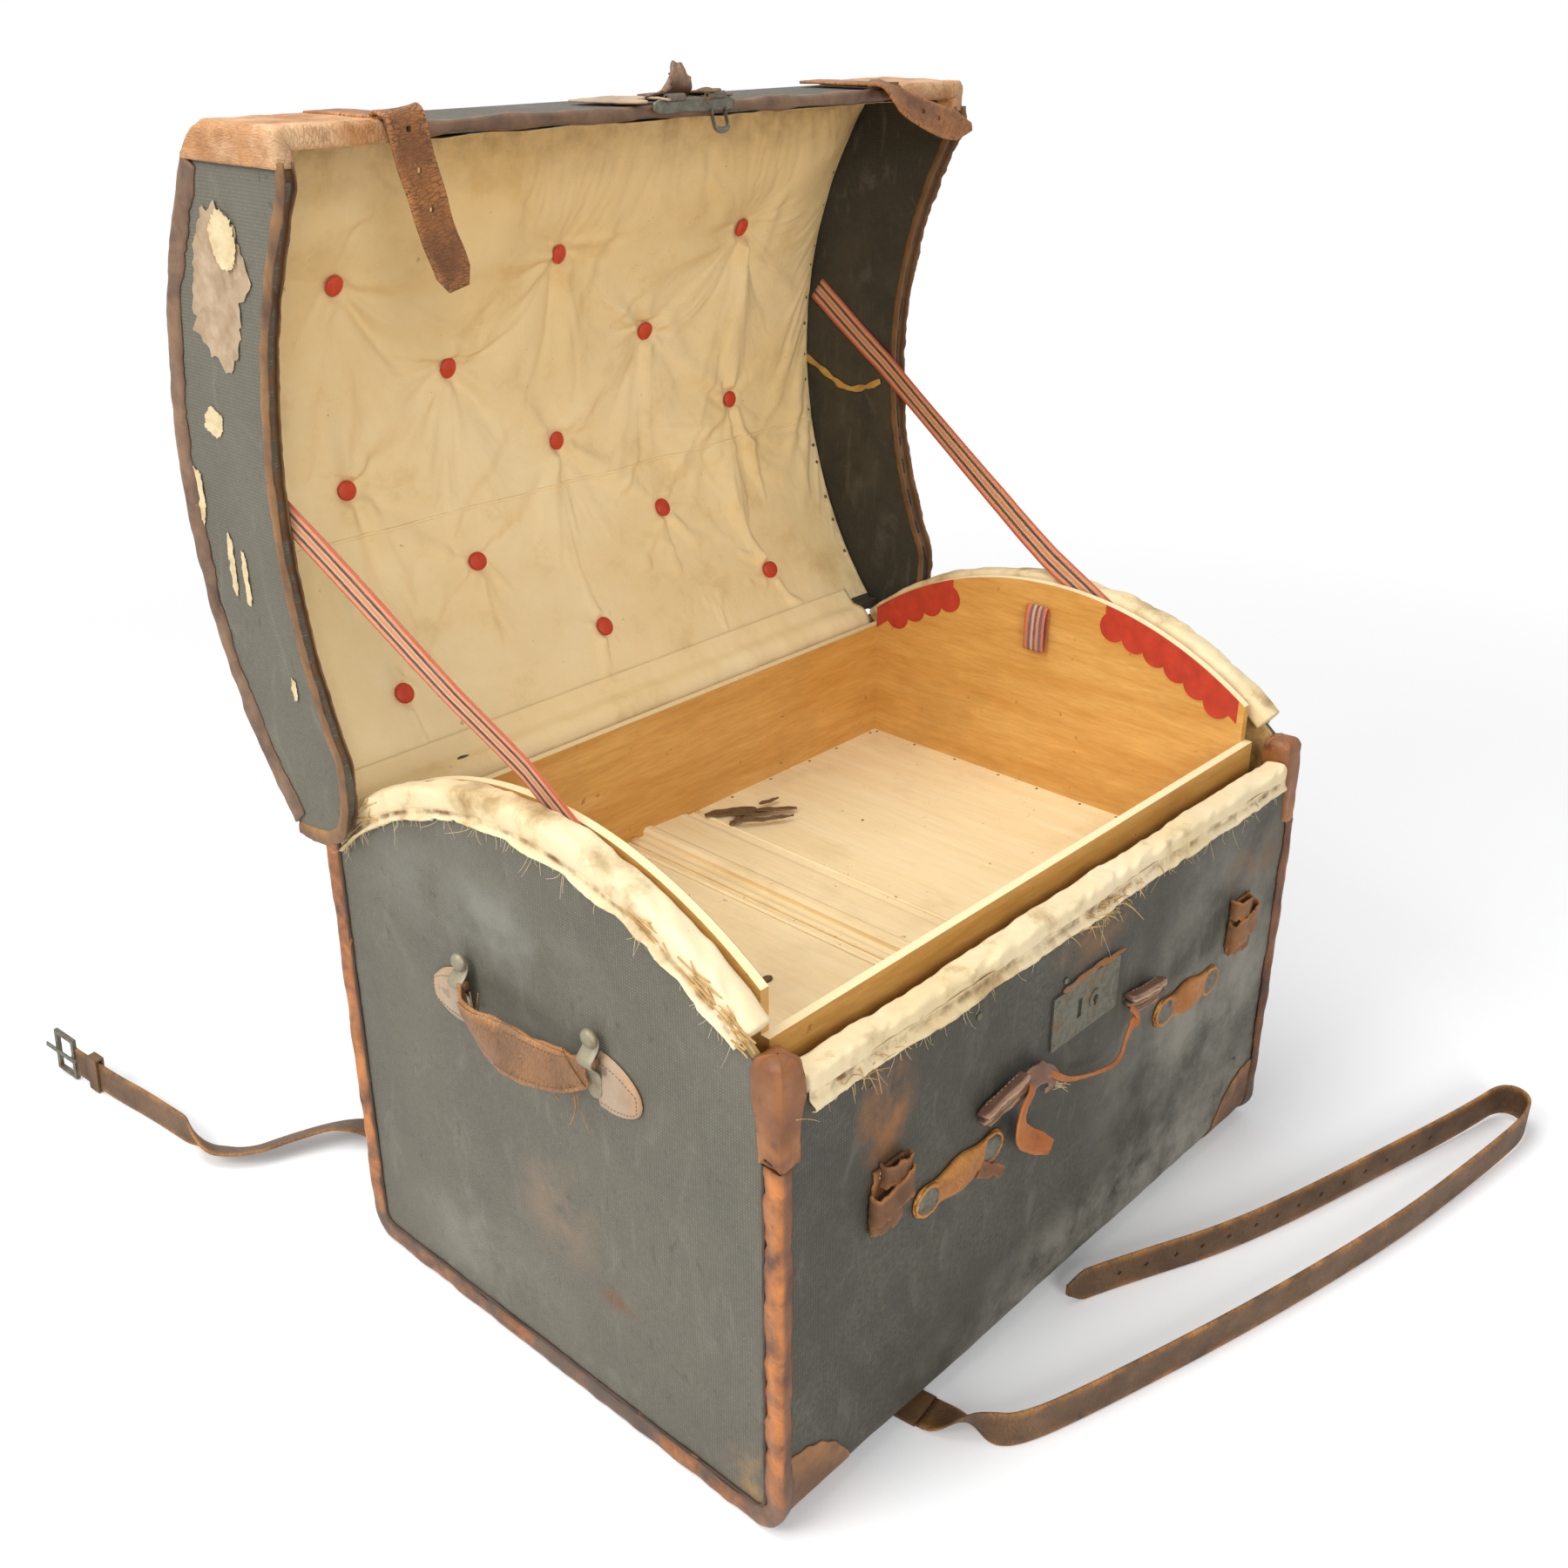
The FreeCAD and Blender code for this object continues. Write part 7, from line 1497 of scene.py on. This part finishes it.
def grip(side, name):
    """Grip: a wide strap in two layers. It keeps its width up to the front saddle, and at the back saddle it
    narrows and turns its edge out."""
    eye = side * EYE_X
    points = [(eye, -78, EYE_Z), (eye + side * 0.5, -71, 357), (side * 374, -62, 347), (side * 380, -47, 343),
              (side * 385.5, -22, 342), (side * 387.5, 6, 343), (side * 387.5, 32, 345), (side * 383, 53, 350),
              (side * 374.5, 68, 356), (eye, EYE_Y, EYE_Z)]
    line = smooth_line(points, 110)
    share = np.linspace(0, 1, 110)
    wide = np.interp(share, [0, 0.06, 0.085, 0.105, 0.6, 0.74, 0.86, 0.94, 1],
                     [0.24, 0.28, 0.45, 0.86, 1.0, 0.92, 0.66, 0.38, 0.24])
    tip = 0.45 * np.sin(share * math.pi * 2 - 0.9)
    face_way = joined(side, 0.0, tip)
    face_way = unit(face_way - directions(line) * np.sum(face_way * directions(line), 1, keepdims=True))
    body = "handle_" + name
    strap_piece("grip_" + name, line, face_way, 40, 3.2, GRIP, body, taper=wide, lump=(0.8, 26, 321 + side), cup=-2.4,
                replaces=["handle_grip_" + name])
    part = slice(12, 92)
    strap_piece("grip_layer_" + name, line[part] + face_way[part] * 2.7, face_way[part], 38, 1.9, GRIP, body,
                taper=wide[part] * (1 + 0.03 * np.sin(share[part] * 40)), lump=(0.7, 20, 325 + side), cup=-2.2)
    across = unit(np.cross(face_way, directions(line)))
    for way in (-1, 1):
        row = line[14:60] + face_way[14:60] * 3.4 + across[14:60] * (way * 14.5 * wide[14:60])[:, None]
        seam("grip_stitch_%s_%s" % (name, "ab"[way > 0]), row, face_way[40], 3.8, 2.7, 0.8, DARK_STITCH, body)
    for way in (-1, 1):
        spine = joined(eye, way * np.linspace(69.5, 84.5, 12), EYE_Z)
        swept_piece("grip_eye_%s_%s" % (name, "ab"[way > 0]), spine, [1.0, 0, 0], [0, 0, 1.0], oval(4.6, 4.6, 14), GRIP,
                    body, lump=(0.15, 8, 331))


def loose_threads():
    """Threads that hang from the grip on the left end, and swing with it."""
    starts = np.array([[-374, 56, 336], [-370, 65, 338], [-366, 55, 330], [-380, 40, 330], [-371, -62, 359]], float)
    falls = np.array([[1.5, -3, -46], [3, 5, -50], [2, -8, -24], [8, 3, -22], [-2, 14, 6]], float)
    bends = np.array([[2, 6, 0], [0, -7, 2], [0, 5, 0], [0, -5, 0], [-2, 2, -16]], float)
    t = np.linspace(0, 1, 14)[None, :, None]
    lines = starts[:, None] * [-1, -1, 1] * [-1, 1, 1] + falls[:, None] * t * [1, -1, 1] \
        + bends[:, None] * np.sin(t * math.pi) * [1, -1, 1]
    lines[..., 0] = -np.maximum(np.abs(lines[..., 0]), 361.2)
    strands("handle_threads", lines, np.array([0.7, 0.5, 0.4, 0.6, 0.6]), PALE_THREAD, "handle_left", thin_end=0.7)


# ---------------------------------------------------------------- webbing
def webbing_strips():
    """Stays from the body's ends to the lid's ends, and the lifting loops of the tray."""
    slope = math.radians(32.5)
    ahead, up = np.array([0, math.cos(slope), math.sin(slope)]), np.array([0, -math.sin(slope), math.cos(slope)])
    u = np.linspace(0, 516, 110)
    off = np.interp(u, [0, 110, 400, 516], [337.0, 337.0, 365.0, 365.0])
    for side, name in SIDES:
        sag = -5.0 * np.sin(np.pi * u / 516) + 0.8 * np.sin(u / 41 + side)
        lean = 1.2 * np.sin(np.pi * u / 516) * np.sin(u / 60)
        line = np.array([0, -78.0, 497.0]) + u[:, None] * ahead + sag[:, None] * up
        line[:, 0] = side * (off - np.abs(lean) - 0.4)
        face_way = unit(joined(-side, 0.0, 0.10 * np.sin(u / 70)))
        piece = strap_piece("stay_web_" + name, line, face_way, 25, 1.3, WEBBING, None, lump=(0.12, 30, 341),
                            replaces=["stay_" + name])
        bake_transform(piece)
        points = [(323.3, 17, 504), (323.0, 17, 494), (322.6, 17, 474), (320.6, 17, 463), (317.6, 17, 460.5),
                  (315.4, 17, 464), (314.9, 17, 478), (315.5, 17, 494), (318.2, 17, 505), (321.0, 17, 507.5),
                  (323.2, 17, 503)]
        loop = smooth_line(np.array(points) * [side, 1, 1], 70)
        face_way = np.cross(directions(loop), [0, float(side), 0])
        strap_piece("tray_loop_" + name, loop, face_way, 24, 1.3, LOOP_WEB, "tray", lump=(0.15, 14, 345),
                    replaces=["tray_loops"] if side < 0 else ())


# ---------------------------------------------------------------- hasp and straps at the lid's edge
def hasp_details():
    """Hasp folded up under its bar, and the torn leather beside and over it."""
    bar = joined(np.linspace(-34, 58, 30), 179.6, 981.5 + 0.4 * np.sin(np.linspace(0, 5, 30)))
    strap_piece("hasp_bar", bar, FACE, 11, 2.4, CAP_METAL, "hasp_flap", lump=(0.4, 9, 399), replaces=["hasp"],
                taper=np.interp(bar[:, 0], [-34, -28, 50, 58], [0.5, 1, 1, 0.6]))
    staple = [(30, 178.5, 976), (30, 176, 969), (31, 174, 963), (38, 173.2, 961), (45, 174, 963), (46, 176, 969),
              (46, 178.5, 976)]
    swept_piece("hasp_staple", smooth_line(staple, 40), [0, 1.0, 0.1], [0, -0.1, 1.0], oval(2.3, 2.6, 8), CAP_METAL,
                "hasp_flap")
    x = np.linspace(-62, -14, 30)
    v = np.linspace(0, 1, 20)[:, None]
    torn = 1 + 0.14 * np.sin(x / 4.2) + 0.10 * np.sin(x / 1.9 + 1)
    reach = np.interp(x, [-62, -50, -14], [0.35, 0.95, 1.0])
    y = 250 - 66 * v * torn * reach
    grid = joined(x, y, 987.0 + 1.5 * v * (1 + np.sin(x / 7)) + 0.2 * x / 10)
    grid[..., 2] += 0.4 * waves(grid, 20, 401)
    sheet_piece("hasp_leather_left", grid, grid[..., :2], TAB, "lid", 1.8, edge=v)
    x = np.linspace(14, 62, 30)
    reach = np.interp(x, [14, 30, 62], [0.75, 1.0, 0.85])
    y = 250 - 68 * v * torn * reach
    grid = joined(x, y, 987.0 + 6.5 * v ** 2 * np.exp(-((x - 34) / 16) ** 2))
    grid[..., 2] += 0.5 * waves(grid, 18, 402)
    sheet_piece("hasp_leather_right", grid, grid[..., :2], SCRAP, "lid", 1.8, edge=v)
    height = np.linspace(0, 1, 26)[:, None]
    across = np.linspace(-1, 1, 34)
    torn = 1 + 0.20 * np.sin(across * 4.3 + 0.6) - 0.55 * np.abs(across - 0.25) ** 1.6 + 0.06 * np.sin(across * 17)
    x = -6 + across * 25 * (1 - 0.38 * height) + 9 * height ** 2
    z = 986.8 + 23.0 * height * torn
    y = 196 - 10 * np.sin(height * 1.7) + 6 * height ** 3 + 4.5 * np.cos(across * 4) * height
    grid = joined(x, y, z)
    grid[..., 1] += 1.3 * waves(grid, 14, 404) * height
    sheet_piece("torn_flap", grid, grid[..., ::2], LID_BINDING, "lid", 1.8, flip=True, edge=height)


def lid_straps():
    """The two straps that come over the skirt's edge from their roots inside: the left one hangs straight down
    and has three holes, the right one is twisted, narrow in its middle, and has two."""
    for x0 in LID_STRAP_X:
        x0 = x0 - (30 if x0 < 0 else 8)
        line = smooth_line([(x0 - 2, 276, 986.2), (x0, 256, 986.6), (x0 + 1, 230, 986.4), (x0, 204, 986.8),
                            (x0, 187, 987.0), (x0, 181.5, 987.2)], 40)
        label = "left" if x0 < 0 else "right"
        strap_piece("lid_strap_root_" + label, line, [0, 0, 1.0], 32, 2.8, LID_STRAP, "lid", lump=(0.4, 30, 405),
                    replaces=["lid_strap_anchors"] if x0 < 0 else ())
    x0 = LID_STRAP_X[0]
    line = smooth_line([(x0 - 31, 190, 988.6), (x0 - 31, 182, 991.5), (x0 - 30, 176.6, 989.5), (x0 - 29, 174.4, 980),
                        (x0 - 25, 175, 962), (x0 - 17, 176.5, 937), (x0 - 9, 177.0, 908), (x0 - 1, 175.0, 884),
                        (x0 + 3, 172.5, 867)], 80)
    left = np.linspace(1, 0, 80) * 122
    taper = np.clip(0.6 + left / 26, 0, 1) * np.interp(left, [0, 40, 122], [1, 1, 1.12])
    face_way = np.array([0, -1.0, 0.0]) + np.linspace(1, 0, 80)[:, None] ** 10 * [0, 0, 1.6]
    piece = strap_piece("free_strap_left", line, face_way, 32, 3.0, LID_STRAP, "strap_left", taper=taper,
                        lump=(0.4, 36, 411), replaces=["lid_strap_left"])
    punched(piece, line[[14, 30, 46]], [0, 1.0, 0.0], 2.3)
    x0 = LID_STRAP_X[1] - 26
    points = [(x0, 188, 989.3), (x0 + 6, 179, 988.8), (x0 + 18, 174, 980), (x0 + 41, 171, 968), (x0 + 71, 168, 957),
              (x0 + 101, 164, 949), (x0 + 120, 161, 946)]
    line = smooth_line(points, 80)
    share = np.linspace(0, 1, 80)
    taper = np.interp(share, [0, 0.15, 0.4, 0.7, 0.86, 1.0], [0.72, 0.62, 0.86, 1.0, 0.9, 0.22])
    face_way = joined(0.25 * np.sin(share * 3), -np.clip(share * 3.2, 0.25, 1), np.clip(1 - share * 2.6, 0.3, 1))
    piece = strap_piece("free_strap_right", line, face_way, 32, 3.0, LID_STRAP, "strap_right", taper=taper,
                        lump=(0.5, 36, 415), cup=-1.5, replaces=["lid_strap_right"])
    punched(piece, line[[40, 53]], [0, 1.0, -0.3], 2.3)


# ---------------------------------------------------------------- tray, papers and scraps
def tray_details():
    """Nail heads of the tray's boards, edge moulding beside the batten, and dry scraps of leather on its floor."""
    rng = np.random.default_rng(501)
    y = np.linspace(-205, 215, 9)
    x = np.linspace(-315, 315, 12)
    places = [joined(side * 320.0, y + rng.uniform(-8, 8, 9), TRAY_TOP) for side, _ in SIDES]
    places += [joined(x + rng.uniform(-9, 9, 12), row, TRAY_TOP) for row in (-212, 224)]
    places += [joined(12.0, np.linspace(-190, 200, 4), TRAY_TOP + 2.2)]
    places = np.concatenate(places)
    axes = np.broadcast_to(np.diag([1.7, 1.7, 0.45]), (len(places), 3, 3))
    scattered("tray_nails", bead(8, 4), places, axes, IRON, "tray")
    for k, (x0, wide, high) in enumerate([(-47, 9, 3.6), (-60, 6, 2.4), (40, 5, 1.6)]):
        line = joined(x0, np.linspace(-215, 227, 30), TRAY_TOP - 0.05)
        ring = np.array([(-wide / 2, 0), (-wide / 2, high * 0.5), (-wide / 4, high), (wide / 4, high),
                         (wide / 2, high * 0.4), (wide / 2, 0)])
        swept_piece("floor_bead_%d" % k, line, [1.0, 0, 0], [0, 0, 1.0], ring, TRAY_FLOOR, "tray")
    scraps = [((60, 198), 0.2, 54, 14), ((74, 178), 0.12, 48, 15), ((92, 164), 0.02, 42, 12), ((66, 156), 0.1, 60, 7),
              ((50, 178), 0.9, 26, 8), ((100, 182), 0.5, 24, 6)]
    for k, ((cx, cy), turn, length, width) in enumerate(scraps):
        u = np.linspace(-0.5, 0.5, 16)
        wave = 3.2 * np.abs(u) ** 1.5 * (k % 2 + 0.6) + 1.3 * k % 4
        line = joined(cx + u * length * math.cos(turn - 0.7), cy + u * length * math.sin(turn - 0.7), 310.0 + wave)
        strap_piece("scrap_%d" % k, line, [0.2 * (k % 3 - 1), 0.1, 1.0], width, 1.6, SCRAP, "tray",
                    lump=(0.6, 9, 511 + k), cup=1.5, taper=np.interp(u, [-0.5, -0.3, 0.3, 0.5], [0.4, 1, 0.9, 0.3]))
    scattered("tray_crumbs", bead(9, 5), [[-143.0, -43, 309.6], [-60, 60, 308.6], [140, 90, 308.7]],
              [np.diag([6.6, 4.4, 1.8]), np.diag([1.5, 1.2, 0.8]), np.diag([1.7, 1.1, 0.7])], SCRAP, "tray")


def torn_paper(name, place, outline, seed, material, proud=0.5):
    """Scrap of paper stuck on the left end of the lid: rays from its middle to a jagged outline of (y, z), edges
    lifting a little."""
    ring = smooth_line(outline + outline[:1], 72)[:-1]
    ring = ring * (1 + 0.05 * np.random.default_rng(seed).normal(size=(len(ring), 1)))
    share = np.linspace(0.02, 1, 12)[:, None, None]
    flat = ring[None] * share
    grid = np.asarray(place, float) + at_x(0.0, flat)
    curl = 0.9 * share[..., 0] ** 6 * (0.5 + 0.5 * waves(grid, 9, seed + 2))
    rise = proud + 0.35 * waves(grid, 14, seed + 1) ** 2 + curl
    grid[..., 0] -= np.maximum(rise, 0.25)
    faces = [*lattice(12, 71, False, True), range(71)]
    edge = np.broadcast_to(share[..., 0] ** 3, grid.shape[:2])
    mesh_piece(name, grid.reshape(-1, 3), faces, material, "lid", flat.reshape(-1, 2), edge.ravel())


def papers():
    """Blank torn labels and glue marks on the lid's end, with nothing printed on them, and a strip of torn cloth."""
    torn_paper("paper_large", (-375, 281, 872), [(-30, 44), (-6, 58), (22, 40), (36, 8), (44, -30), (26, -50),
                                                 (2, -58), (-20, -34), (-26, -10), (-40, 8)], 601, OLD_PAPER)
    torn_paper("paper_large_top", (-375.6, 268, 905), [(-16, 16), (2, 22), (16, 6), (10, -14), (-6, -20), (-18, -4)],
               605, PALE_PAPER, 1.0)
    for letter, place, outline, seed in (
            ("a", (-375, 318, 765), [(-13, 8), (4, 14), (15, -2), (2, -10), (-8, -6)], 609),
            ("b", (-375, 358, 700), [(-6, 20), (7, 24), (9, 0), (2, -22), (-6, -8)], 613),
            ("c", (-375, 322, 652), [(-3, 22), (4, 24), (5, -20), (-2, -22)], 617),
            ("d", (-375, 304, 642), [(-3, 20), (3, 22), (4, -16), (-3, -18)], 619),
            ("e", (-375, 254, 562), [(-3, 8), (3, 9), (3, -8), (-3, -7)], 621)):
        torn_paper("paper_small_" + letter, place, outline, seed, PALE_PAPER)
    line = smooth_line([(365.4, 372, 700), (365.2, 350, 690), (365.2, 330, 680), (365.2, 308, 674), (365.4, 284, 680),
                        (365.4, 266, 688)], 50)
    strap_piece("torn_lining_strip", line - [0.8, 0, 0], [-1.0, 0, 0.15], 6, 0.8, OLD_CLOTH, "lid",
                lump=(0.6, 14, 631), taper=1 + 0.25 * np.sin(np.linspace(0, 29, 50)))


strap_loops()
front_chapes()
broken_handle()
lock_details()
end_handles()
loose_threads()
webbing_strips()
hasp_details()
lid_straps()
tray_details()
papers()
